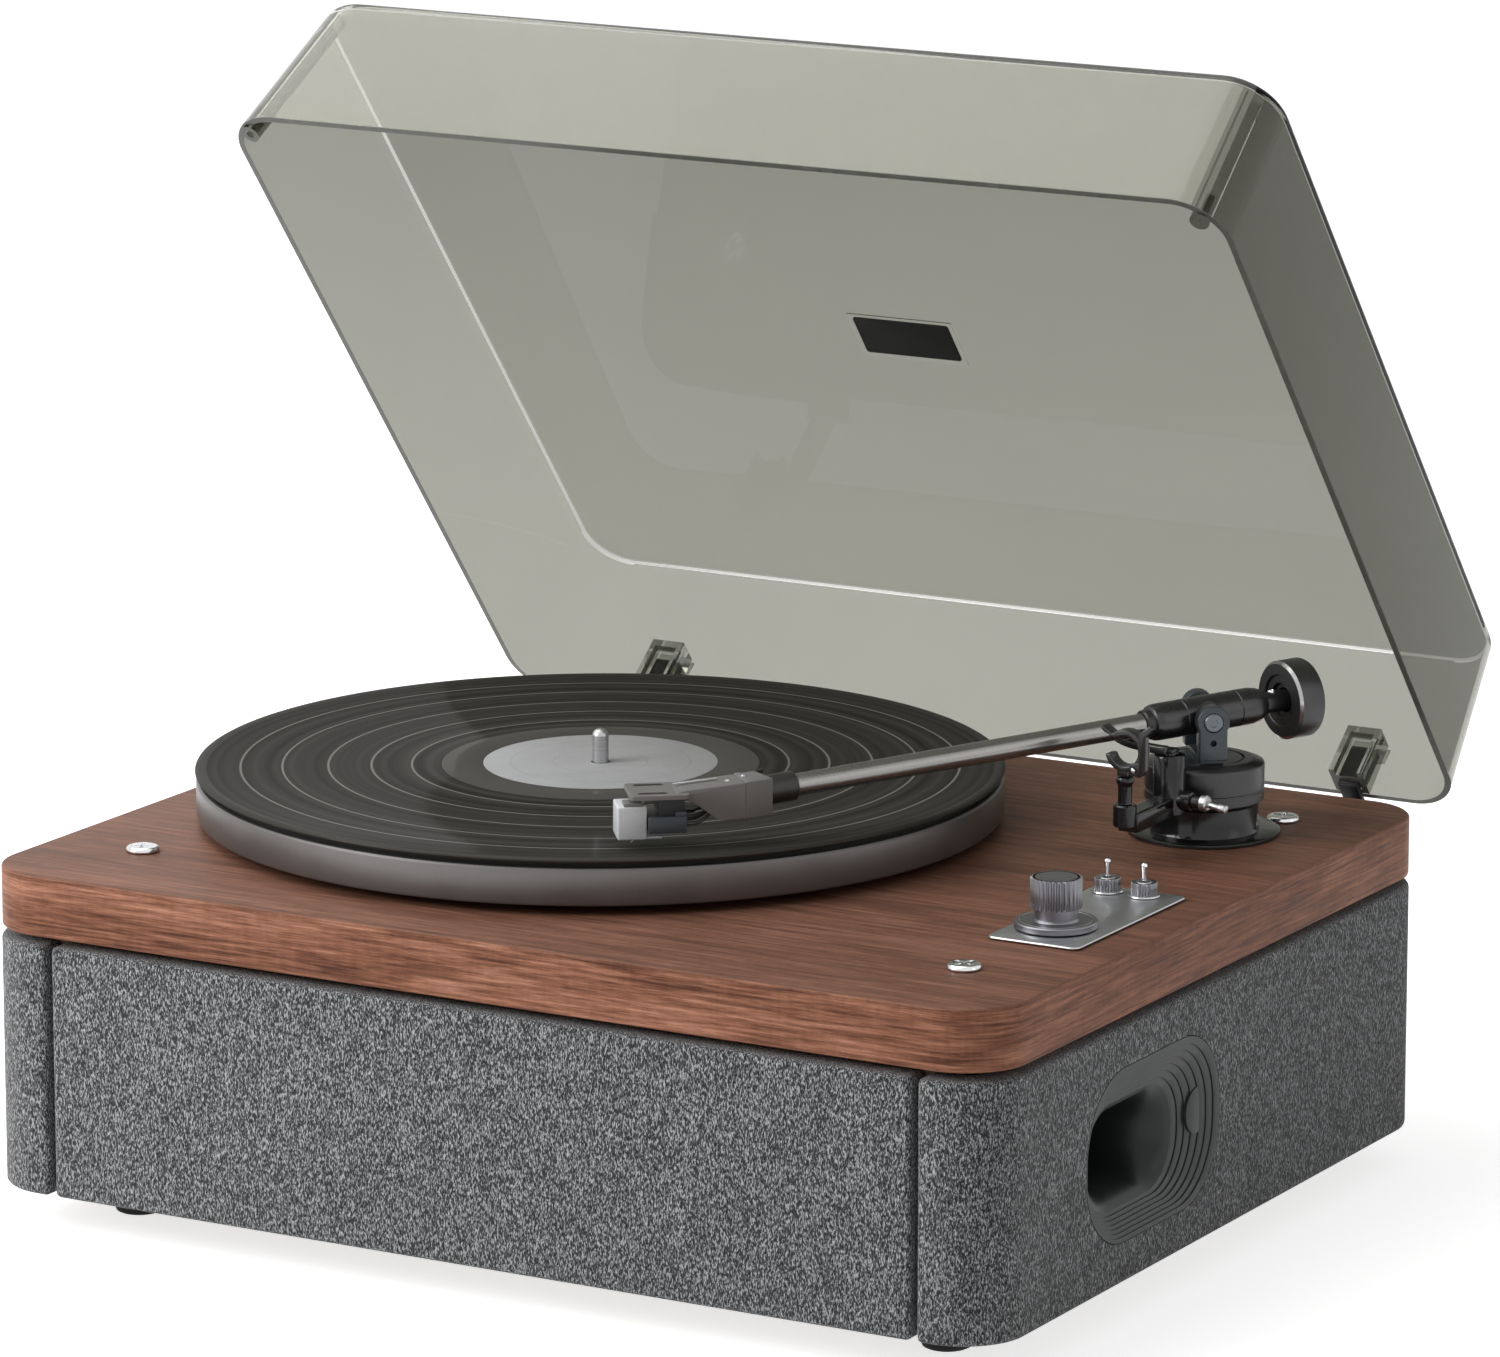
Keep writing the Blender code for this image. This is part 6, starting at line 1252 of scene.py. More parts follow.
@dataclass
class Deck:
    """The walnut board with its four chrome screws."""

    width: float = 0.4196
    depth: float = 0.3451
    thickness: float = 0.0227
    corner: float = 0.0243
    edge: float = 0.0011
    pocket_cover: float = 0.0085
    screw_x: float = 0.1706
    screw_rows: Pair = (-0.1220, 0.1270)
    screw_turns: tuple[float, ...] = (24, -18, 62, 8)
    screw_radius: float = 0.0062
    screw_height: float = 0.0022
    slot: Pair = (0.0042, 0.0007)
    slot_depth: float = 0.0012

    def build(self) -> None:
        """Build the board and its screws."""
        size = (self.width, self.depth)
        board = Bench.slab("walnut_board", size, (0, 0), self.corner, 20, DECK - self.thickness, DECK)
        Bench.soften(board, self.edge, 4, 60)
        tools = deck_tools(0.0, DECK - self.pocket_cover)
        tools += Bench.bores(*((axis, SHAFT_BORE) for axis in (KNOB_AXIS, *TOGGLE_AXES.values())), steps=24)
        finish(Bench.cut(board, *tools), Finishes.WALNUT, "cabinet", "top_board")
        self.screws()

    def screws(self) -> None:
        """Turn one cross-slotted screw and copy it to its four places."""
        r, h = self.screw_radius, self.screw_height
        model = Bench.turn("screw_model", [
            (0, h), (r - 0.0014, h), (r - 0.0007, h - 0.0002), (r - 0.0002, h - 0.0007), (r, h - 0.0013),
            (r, 0.0003), (0.0026, 0.0003), (0.0026, -0.0150), (0, -0.0150),
        ], 64)
        low, top = h - self.slot_depth, h + 0.01
        slots = [Bench.block("slot", (-x, -y, low), (x, y, top)) for x, y in (self.slot, self.slot[::-1])]
        Bench.soften(Bench.cut(model, *slots), 0.00012, 2, 50)
        places = [(sign * self.screw_x, y) for y in self.screw_rows for sign in (-1, 1)]
        for index, (place, turn) in enumerate(zip(places, self.screw_turns), 1):
            screw = Bench.copy(model, f"slotted_screw_{index}", at(*place, DECK) @ turned(turn))
            finish(screw, Finishes.CHROME, "cabinet", f"deck_screw_{index}")
        Bench.discard(model)


@dataclass
class Turntable:
    """The turning pieces: platter, mat, record with its bare label, and spindle, with the drive below."""

    bore: float = 0.0034
    radius: float = 0.1500
    bottom: float = 0.1233
    top: float = 0.1372
    mat_radius: float = 0.1470
    mat_top: float = 0.1385
    record_radius: float = 0.1504
    record_bottom: float = 0.1388
    record_top: float = 0.1409
    label_radius: float = 0.0435
    label_bore: float = 0.0036
    spindle_radius: float = 0.00305
    spindle_top: float = 0.1536
    steps: int = 192

    def build(self) -> None:
        """Build every turning piece, and dress the drive."""
        self.platter()
        self.mat()
        self.record()
        self.label()
        self.spindle()
        redress(Finishes.BLACK_PLASTIC, "sub_platter")
        redress(Finishes.STEEL, "bearing_housing", "motor", "motor_pulley")
        redress(Finishes.BELT, "drive_belt")

    def hang(self, piece: Piece, look: Finish, *nodes: str, angle: float = 35.0) -> None:
        """Finish a piece on the platter's axis."""
        finish(piece, look, "turning_platter", *nodes, place=at(*PLATTER_AXIS), angle=angle)

    def platter(self) -> None:
        """Turn the platter with its chamfered top edge and the recess for the mat."""
        r, top, low, roof = self.radius, self.top, self.bottom, self.bottom + 0.0079
        piece = Bench.turn("platter_turned", [
            (self.bore, top - 0.0010), (0.1474, top - 0.0010), (0.1476, top - 0.0002), (0.1479, top),
            (r - 0.0012, top), (r - 0.0007, top - 0.0002), (r - 0.0001, top - 0.0009), (r, top - 0.0013),
            (r, low + 0.0010), (r - 0.0003, low + 0.0003), (r - 0.0010, low), (r - 0.0120, low), (r - 0.0122, roof),
            (self.bore, roof),
        ], self.steps, True)
        self.hang(piece, Finishes.PLATTER, "platter", angle=24)

    def mat(self) -> None:
        """Turn the slip mat."""
        r, top, low = self.mat_radius, self.mat_top, self.mat_top - 0.0019
        piece = Bench.turn("slip_mat_turned", [
            (self.bore, top), (r - 0.0004, top), (r, top - 0.0004), (r, top - 0.0016), (r - 0.0004, low),
            (self.bore, low),
        ], self.steps, True)
        self.hang(piece, Finishes.MAT, "slip_mat")

    def record(self) -> None:
        """Turn the record: raised rim, grooved field, run-out and raised middle."""
        r, top, low, label = self.record_radius, self.record_top, self.record_bottom, self.label_radius
        piece = Bench.turn("vinyl_record", [
            (self.bore, top - 0.0002), (label + 0.0003, top - 0.0002), (label + 0.0006, top - 0.0001),
            (0.0560, top - 0.0001), (0.0575, top - 0.0004), (0.1462, top - 0.0004), (0.1472, top - 0.0001),
            (0.1482, top), (0.1494, top - 0.0001), (r - 0.0003, top - 0.0005), (r, top - 0.0010),
            (r - 0.0003, low + 0.0005), (0.1494, low), (self.bore, low),
        ], self.steps, True)
        self.hang(piece, Finishes.VINYL, "record", angle=40)

    def label(self) -> None:
        """Turn the bare paper label that lies in the record's middle."""
        r, top, low = self.label_radius, self.record_top - 0.00002, self.record_top - 0.0002
        profile = [(self.label_bore, top), (r - 0.0001, top), (r, top - 0.00006), (r, low), (self.label_bore, low)]
        self.hang(Bench.turn("record_label", profile, 128, True), Finishes.LABEL)

    def spindle(self) -> None:
        """Turn the domed spindle."""
        r, top = self.spindle_radius, self.spindle_top
        profile = arc((0, top - r), r, 90, 0, 10) + [(r, 0.1305), (0.0040, 0.1305), (0.0040, 0.0738), (0, 0.0738)]
        self.hang(Bench.turn("domed_spindle", profile, 40), Finishes.STEEL, "spindle")


@dataclass
class Controls:
    """The control plate with the volume knob and the two toggle switches."""

    plate_low: Pair = (0.1578, -0.0826)
    plate_high: Pair = (0.1940, 0.0025)
    plate_bottom: float = 0.0003
    plate_top: float = 0.0014
    skirt_radius: float = 0.0149
    skirt_top: float = 0.0043
    neck_radius: float = 0.0076
    neck_top: float = 0.0095
    grip_radius: float = 0.0093
    grip_top: float = 0.0198
    ribs: int = 30
    nut_radius: float = 0.0048
    nut_ribs: int = 26

    def build(self) -> None:
        """Build the plate, the knob and the switches."""
        self.plate()
        self.volume_knob()
        self.switches()
        redress(Finishes.STEEL, "volume_pot")

    def plate(self) -> None:
        """Build the brushed plate with its rounded edge, which its finish lightens partly as wear and partly as a
        painted highlight.
        """
        ends = list(zip(self.plate_low, self.plate_high))
        size, centre = [high - low for low, high in ends], [(low + high) / 2 for low, high in ends]
        low, top = DECK + self.plate_bottom, DECK + self.plate_top
        plate = Bench.soften(Bench.slab("control_plate_brushed", size, centre, 0.0030, 8, low, top), 0.0006, 2, 60)
        tools = [Bench.rod("hole", (x, y, 0.1), (x, y, THROUGH), 0.0038) for x, y in (KNOB_AXIS, *TOGGLE_AXES.values())]
        finish(Bench.cut(plate, *tools), Finishes.PLATE, "cabinet", "control_plate")

    def volume_knob(self) -> None:
        """Build the knob: skirt with a bright ring, slim neck, ribbed grip with a dished top."""
        bottom, step, top = self.plate_top + 0.0004, self.skirt_top, self.grip_top
        r, neck, under = self.skirt_radius, self.neck_radius, self.neck_top + 0.0010
        skirt = Bench.turn("skirt", [
            (0, under), (neck, under), (neck, step + 0.0008), (neck + 0.0008, step), (0.0126, step),
            (0.0128, step - 0.0002), (0.0132, step - 0.0002), (0.0134, step), (r - 0.0004, step), (r, step - 0.0004),
            (r, bottom + 0.0003), (r - 0.0003, bottom), (0.0026, bottom), (0.0026, -0.0080), (0, -0.0080),
        ], 96)
        grip = Bench.ribbed("grip", self.grip_radius, 0.0008, self.ribs, self.neck_top - 0.0006, top)
        Bench.soften(grip, 0.00022, 2, 50)
        cap = Bench.turn("cap", [
            (0, top - 0.0002), (0.0070, top - 0.0002), (0.0076, top), (0.0084, top), (0.0084, top - 0.0020),
            (0, top - 0.0020),
        ], 72)
        shine, root = step + 0.00002, step - 0.0003
        ring = Bench.turn("ring", [(0.01285, shine), (0.01315, shine), (0.01315, root), (0.01285, root)], 96, True)
        parts = dressed(Finishes.KNOB, skirt, grip) + dressed(Finishes.KNOB_FACE, cap) + dressed(Finishes.CHROME, ring)
        knob = Bench.join("ribbed_volume_knob", *parts)
        finish(knob, Finishes.KNOB, "knob", "volume_knob", place=at(*KNOB_AXIS, DECK), angle=30)

    def switches(self) -> None:
        """Build one toggle switch and its lever and copy them."""
        low, top, end = self.plate_top + 0.0003, self.plate_top + 0.0053, -0.0088
        nut = Bench.ribbed("nut", self.nut_radius, 0.0003, self.nut_ribs, low, top)
        Bench.cut(nut, Bench.rod("cup", (0, 0, top - 0.0030), (0, 0, top + 0.003), 0.0023, 40))
        Bench.soften(nut, 0.00012, 2, 50)
        bush = Bench.turn("bush", [
            (0.0021, top + 0.0001), (0.0027, top + 0.0001), (0.0030, top - 0.0003), (0.0030, end), (0.0021, end),
        ], 40, True)
        body = Bench.block("body", (-0.0038, -0.0053, -0.0188), (0.0038, 0.0053, end), 0.0003, 2)
        washer = Bench.turn("washer", [
            (0.0031, low + 0.0005), (0.0056, low + 0.0005), (0.0058, low), (0.0031, low),
        ], 48, True)
        parts = dressed(Finishes.NUT, nut) + dressed(Finishes.STEEL, bush) + dressed(Finishes.BLACK_PLASTIC, body)
        switch = Bench.join("switch_model", *parts, *dressed(Finishes.STEEL, washer))
        lever = Bench.turn("lever_model", arc((0, 0.0125), 0.0012, 90, -20, 10) + [
            (0.00085, 0.0100), (0.00075, 0.0060), (0.0008, 0.0048), (0.0014, 0.0046), (0.0016, 0.0041),
            (0.0012, 0.0036), (0, 0.0036),
        ], 32)
        for side, axis in TOGGLE_AXES.items():
            nut, stick = (Bench.copy(model, f"toggle_{name}_{side}", at(*axis, DECK)) for model, name in (
                (switch, "nut"), (lever, "stick"),
            ))
            finish(nut, Finishes.NUT, "cabinet", f"toggle_switch_{side}", angle=30)
            finish(stick, Finishes.CHROME, f"toggle_{side}", f"toggle_lever_{side}")
        Bench.discard(switch, lever)


@dataclass
class Tonearm:
    """The tonearm from its flanged base to the stylus, in its two turning frames."""

    gimbal_rise: float = 0.0448
    arm_bearing: float = 240.5
    gimbal_bearing: float = -52.0
    slope: float = 1.8
    collar_top: float = 0.0285
    ear_faces: Pair = (0.0104, 0.0163)
    ear_radius: float = 0.00605
    ear_opening: float = 60.2
    tube_radius: float = 0.0041
    tube_end: float = 0.1770
    collar_end: float = 0.1890
    housing_radius: float = 0.00685
    housing_half: float = 0.0250
    stub_end: float = -0.0400
    weight_radius: float = 0.0147
    weight_front: float = -0.0330
    weight_rear: float = -0.0440
    bend_at: float = 0.1990
    offset: float = -22.5
    shell_gap: float = 0.0003
    slot_y: float = 0.00635
    pin_spacing: float = 0.0036
    pin_heights: tuple[float, ...] = (-0.0068, -0.0086, -0.0068, -0.0086)

    def base_place(self) -> Matrix:
        """Return the frame of the pieces that stand on the deck at the pivot."""
        return at(*ARM_AXIS, DECK)

    def gimbal_place(self, bearing: float) -> Matrix:
        """Return the frame at the gimbal whose X points to a bearing."""
        return at(*ARM_AXIS, DECK + self.gimbal_rise) @ turned(bearing)

    def lift_place(self) -> Matrix:
        """Return the frame that rocks up and down with the tube: X points along the arm."""
        return self.gimbal_place(self.arm_bearing) @ turned(self.slope, "Y")

    def bend_place(self) -> Matrix:
        """Return the frame of the headshell, which is level and turned inwards."""
        level = Euler((0, -math.radians(self.slope), math.radians(self.offset))).to_matrix().to_4x4()
        return self.lift_place() @ at(self.bend_at, 0) @ level

    def build(self) -> None:
        """Build the arm from the deck up and from the pivot to the stylus."""
        self.base()
        self.yoke()
        self.pivot_screws()
        self.housing()
        self.tube()
        self.counterweight()
        self.headshell()
        self.cartridge()
        self.leads()
        self.stylus()

    def base(self) -> None:
        """Turn the flanged base and the collar on it."""
        flange = Bench.turn("flange", [
            (0.0070, 0.0123), (0.0196, 0.0123), (0.0201, 0.0119), (0.0201, 0.0030), (0.0206, 0.0019), (0.0276, 0.0018),
            (0.0282, 0.0014), (0.0283, 0.0008), (0.0283, 0.0003), (0.0095, 0.0003), (0.0095, -0.0200),
            (0.0070, -0.0200),
        ], 96, True)
        finish(flange, Finishes.ARM_GLOSS, "cabinet", "arm_base", place=self.base_place())
        top = self.collar_top
        collar = Bench.turn("collar", [
            (0.0148, top), (0.0180, top), (0.0184, 0.0284), (0.0218, 0.0272), (0.0221, 0.0268), (0.02215, 0.0262),
            (0.02215, 0.0180), (0.0218, 0.0176), (0.0218, 0.0172), (0.02215, 0.0168), (0.02215, 0.0137),
            (0.0213, 0.0126), (0.0070, 0.0126), (0.0070, 0.0241), (0.0148, 0.0241),
        ], 96, True)
        finish(collar, Finishes.ARM_BLACK, "cabinet", "arm_collar", place=self.base_place())

    def yoke(self) -> None:
        """Build the yoke with two ears and their pilot holes."""
        top = self.collar_top - self.gimbal_rise
        disc = Bench.turn("disc", [
            (0, top), (0.0138, top), (0.0145, top - 0.0006), (0.0145, top - 0.0040), (0.0060, top - 0.0040),
            (0.0060, top - 0.0300), (0, top - 0.0300),
        ], 64)
        foot = Bench.block("foot", (-0.0140, -0.0043, top - 0.0003), (0.0140, 0.0043, -0.0138), 0.0004, 2)
        yoke = Bench.join("eared_yoke", disc, foot, *(self.ear(sign) for sign in (-1, 1)))
        place = self.gimbal_place(self.gimbal_bearing)
        finish(yoke, Finishes.PIVOT, "arm_swing", "arm_yoke", place=place)

    def ear(self, sign: int) -> Piece:
        """Return the yoke's ear on one side, with its screw seat and its pilot hole."""
        ring = arc((0, 0), self.ear_radius, self.ear_opening - 90, 270 - self.ear_opening, 40)
        outline = [(-0.00525, -0.0144), (0.00525, -0.0144), *ring]
        ear = Bench.prism("ear", outline, *sorted(sign * face for face in self.ear_faces))
        Bench.seat(Bench.soften(ear, 0.0005, 3, 50), Way.ACROSS_X.matrix())
        outside, hole_z = sign * 0.03, -0.00765
        seat = Bench.rod("seat", (sign * 0.0133, 0, 0), (outside, 0, 0), 0.0038, 48)
        hole = Bench.rod("hole", (sign * 0.0123, 0, hole_z), (outside, 0, hole_z), 0.0013, 24)
        return Bench.cut(ear, seat, hole)

    def pivot_screws(self) -> None:
        """Turn the two pivot screws in the ears."""
        for sign, side in ((1, "near"), (-1, "far")):
            screw = Bench.turn("screw", [
                (0, 0.0002), (0.0013, 0.0002), (0.0015, 0.0006), (0.0030, 0.0006), (0.00345, 0.0002),
                (0.00345, -0.0027), (0, -0.0027),
            ], 48)
            face = at(sign * self.ear_faces[1], 0) @ turned(sign * 90, "Y")
            place = self.gimbal_place(self.gimbal_bearing) @ face
            finish(screw, Finishes.SCREW_FACE, "arm_swing", f"pivot_screw_{side}", place=place)

    def housing(self) -> None:
        """Turn the pivot housing with its ferrule and stub, and add the trunnion and the set screw."""
        r, half, groove, end = self.housing_radius, self.housing_half, self.housing_radius - 0.0003, self.stub_end
        barrel = Bench.turn("barrel", [
            (0, half + 0.0002), (0.0050, half), (r - 0.0006, half - 0.0007), (r - 0.0002, half - 0.0018),
            (r, half - 0.0035), (r, 0.0120), (groove, 0.0117), (groove, 0.0113), (r, 0.0110), (r, -0.0120),
            (groove, -0.0123), (groove, -0.0127), (r, -0.0130), (r, 0.0060 - half), (r - 0.0006, 0.0025 - half),
            (0.0050, -half), (0, -half - 0.0002),
        ], 64)
        ferrule = Bench.turn("ferrule", [
            (0, half + 0.0030), (0.0046, half + 0.0030), (0.0052, half + 0.0024), (0.0052, half - 0.0004),
            (0, half - 0.0004),
        ], 48)
        stub = Bench.turn("stub", [
            (0, 0.0004 - half), (0.0040, 0.0004 - half), (0.0040, end + 0.0006), (0.0034, end), (0, end),
        ], 48)
        parts = dressed(Finishes.ARM_BLACK, barrel, stub) + dressed(Finishes.ARM_DARK, ferrule)
        housing = Bench.seat(Bench.join("housing", *parts), Way.FORWARD.matrix())
        slope = math.radians(self.slope)
        turn = math.radians(self.gimbal_bearing - self.arm_bearing)
        axis = Vector((math.cos(turn) * math.cos(slope), math.sin(turn), math.cos(turn) * math.sin(slope)))
        trunnion = Bench.rod("trunnion", -0.0100 * axis, 0.0100 * axis, 0.0056, 48, 0.0004)
        screw = Bench.turn("set_screw", [
            (0, 0.0003), (0.0006, 0.0003), (0.0008, 0.0007), (0.0013, 0.0007), (0.0015, 0.0004), (0.0015, -0.002),
            (0, -0.002),
        ], 24)
        Bench.seat(screw, at(-0.0295, 0, 0.0038))
        parts = [housing] + dressed(Finishes.ARM_BLACK, trunnion) + dressed(Finishes.CHROME, screw)
        whole = Bench.join("pivot_housing", *parts)
        finish(whole, Finishes.ARM_BLACK, "arm_lift", "arm_housing", place=self.lift_place())

    def tube(self) -> None:
        """Turn the tube and the dark collar at its far end."""
        r, start, end, tip = self.tube_radius, self.housing_half + 0.0033, self.tube_end, self.collar_end
        tube = Bench.turn("tube", [(0, start), (r, start), (r, end + 0.001), (0, end + 0.001)], 48)
        collar = Bench.turn("collar", [
            (0, end), (0.0050, end), (0.0054, end + 0.0004), (0.0054, tip - 0.0004), (0.0050, tip), (0, tip),
        ], 48)
        parts = dressed(Finishes.ARM_GREY, tube) + dressed(Finishes.ARM_DARK, collar)
        whole = Bench.join("arm_tube_and_collar", *parts)
        place = self.lift_place() @ Way.FORWARD.matrix()
        finish(whole, Finishes.ARM_GREY, "arm_lift", "arm_tube", place=place)

    def counterweight(self) -> None:
        """Turn the counterweight with a bright front bevel and a ring recess."""
        front, rear, r = self.weight_front, self.weight_rear, self.weight_radius
        weight = Bench.turn("balance_weight_turned", [
            (0, rear + 0.0006), (0.0047, rear + 0.0006), (0.0047, front - 0.0022), (0.0066, front - 0.0022),
            (0.0066, front - 0.0008), (0.0093, front - 0.0008), (0.0095, front - 0.0002), (0.0098, front),
            (r - 0.0010, front), (r, front - 0.0010), (r, rear + 0.0012), (r - 0.0004, rear + 0.0003),
            (r - 0.0012, rear), (0.0070, rear), (0.0068, rear - 0.0014), (0.0062, rear - 0.0020), (0, rear - 0.0020),
        ], 96)
        for look in (Finishes.WEIGHT, Finishes.BRIGHT):
            weight.data.materials.append(look.material())
        for face in weight.data.polygons:
            reach = math.hypot(face.center.x, face.center.y)
            if reach > r - 0.0009 and front - 0.0009 < face.center.z < front - 0.0001:
                face.material_index = 1
        place = self.lift_place() @ Way.FORWARD.matrix()
        finish(weight, Finishes.WEIGHT, "balance_weight", "counterweight", place=place, angle=28)

    def headshell(self) -> None:
        """Build the headshell: end block, wedge, slotted plate, rib, screws and finger bar."""
        wedge = Bench.prism("wedge", [
            (-0.0030, -0.0072), (0.0087, -0.0072), (0.0202, 0.0012), (0.0240, 0.0012), (0.0240, 0.0031),
            (0.0202, 0.0040), (-0.0030, 0.0064),
        ], -0.0070, 0.0070)
        Bench.seat(wedge, Way.ACROSS_Y.matrix())
        length = self.bend_at - self.collar_end - self.shell_gap
        end = Bench.block("end", (-length, -0.0070, -0.0072), (0.0030, 0.0070, 0.0064))
        Bench.seat(end, turned(-self.offset))
        for piece, low, high in ((wedge, -0.02, 0.0), (end, 0.0, 0.02)):
            mitre = Bench.block("mitre", (low, -0.02, -0.02), (high, 0.02, 0.02))
            Bench.cut(piece, Bench.seat(mitre, turned(-self.offset / 2)))
        for piece in (wedge, end):
            Bench.soften(piece, 0.0005, 3, 12)
        rib = Bench.block("rib", (0.0075, -0.0022, 0.0052), (0.0235, -0.0012, 0.0058), 0.0002, 2)
        Bench.seat(rib, at(0, 0, 0.0013) @ turned(6, "Y"))
        plate = Bench.slab("plate", (0.0215, 0.0195), (0.02975, 0), 0.0016, 6, 0.0012, 0.0031)
        Bench.soften(plate, 0.0003, 2, 60)
        for sign in (-1, 1):
            middle = (0.0320, sign * self.slot_y)
            Bench.cut(plate, Bench.slab("slot", (0.0110, 0.0026), middle, 0.00128, 8, -0.01, 0.01))
        lug = Bench.block("lug", (-0.0130, -0.0066, 0.0052), (-0.0030, -0.0056, 0.0066), 0.0003, 2)
        Bench.seat(lug, turned(-self.offset))
        parts = dressed(Finishes.SHELL, wedge, end, plate) + dressed(Finishes.STEEL, rib)
        parts += dressed(Finishes.ARM_DARK, lug) + self.shell_screws()
        shell = Bench.join("headshell_body", *parts)
        finish(shell, Finishes.SHELL, "arm_lift", "headshell", place=self.bend_place(), angle=20)

    def shell_screws(self) -> list[Piece]:
        """Return the cartridge screws in the slots and the two wedge screws."""
        dark, bright = Finishes.ARM_DARK, Finishes.STEEL
        made = []
        for x, y, z, radius, look in (
            (0.0300, self.slot_y, 0.0018, 0.0021, dark), (0.0300, -self.slot_y, 0.0018, 0.0021, dark),
            (0.0045, 0.0010, 0.0054, 0.0012, bright), (-0.0015, -0.0022, 0.0061, 0.0012, bright),
        ):
            head = Bench.turn("head", [
                (0, 0.0008), (radius * 0.7, 0.0008), (radius, 0.0004), (radius, -0.0006), (0, -0.0006),
            ], 32)
            Bench.cut(head, Bench.block("slot", (-0.004, -0.0003, 0.0004), (0.004, 0.0003, 0.0020)))
            made += dressed(look, Bench.seat(head, at(x, y, z) @ Matrix.Rotation(0.6 + 40 * y, 4, "Z")))
        return made

    def pins(self) -> list[Pair]:
        """Return where the cartridge's four pins stand, as (y, height)."""
        return [((index - 1.5) * self.pin_spacing, height) for index, height in enumerate(self.pin_heights)]

    def cartridge(self) -> None:
        """Build the cartridge with its pins."""
        base = Bench.block("base", (0.0200, -0.00825, -0.0113), (0.0338, 0.00825, -0.0053), 0.0004)
        head = Bench.block("head", (0.0207, -0.0070, -0.0056), (0.0300, 0.0070, 0.0009), 0.0004)
        step = Bench.block("step", (0.0200, -0.0078, -0.0056), (0.0240, 0.0078, -0.0036), 0.0003, 2)
        parts = dressed(Finishes.CARTRIDGE, base, step) + dressed(Finishes.BLACK_PLASTIC, head)
        for y, z in self.pins():
            parts += dressed(Finishes.ARM_DARK, Bench.rod("pin", (0.0206, y, z), (0.0170, y, z), 0.0007, 16, 0.0002))
        cartridge = Bench.join("cartridge_body", *parts)
        finish(cartridge, Finishes.CARTRIDGE, "arm_lift", "cartridge", place=self.bend_place())

    def leads(self) -> None:
        """Run the four lead wires from the pins to the headshell's end."""
        leads = []
        for y, z in self.pins():
            bend = [(0.0138, y * 0.9, z + 0.0012), (0.0105, y * 0.6, -0.0048)]
            leads.append(Bench.wire("lead", [(0.0190, y, z), (0.0165, y, z + 0.0001), *bend], 0.0006))
        wires = Bench.join("lead_wires", *dressed(Finishes.BELT, *leads))
        finish(wires, Finishes.BELT, "arm_lift", place=self.bend_place())

    def stylus(self) -> None:
        """Build the white stylus block with its dark clip and its cantilever."""
        block = Bench.block("block", (0.0341, -0.00675, -0.0138), (0.0447, 0.00675, -0.0016), 0.0007)
        Bench.cut(block, Bench.block("notch", (0.0330, -0.0036, -0.0200), (0.0420, 0.0036, -0.0118)))
        clip = Bench.block("clip", (0.0356, 0.0004, -0.0018), (0.0424, 0.0064, -0.0003), 0.0003, 2)
        guard = Bench.block("guard", (0.0285, 0.0046, -0.0137), (0.0350, 0.0056, -0.0128), 0.0002, 2)
        lever = Bench.rod("lever", (0.0350, 0, -0.0130), (0.0392, 0, -0.0162), 0.00035, 16)
        tip = Bench.turn("tip", [(0, 0), (0.0003, 0.0007), (0.0003, 0.0012), (0, 0.0012)], 12)
        Bench.seat(tip, at(0.0390, 0, -0.0170))
        parts = dressed(Finishes.STYLUS, block, guard) + dressed(Finishes.SHELL, clip)
        stylus = Bench.join("stylus_holder", *parts, *dressed(Finishes.STEEL, lever, tip))
        finish(stylus, Finishes.STYLUS, "arm_lift", "stylus_block", place=self.bend_place())


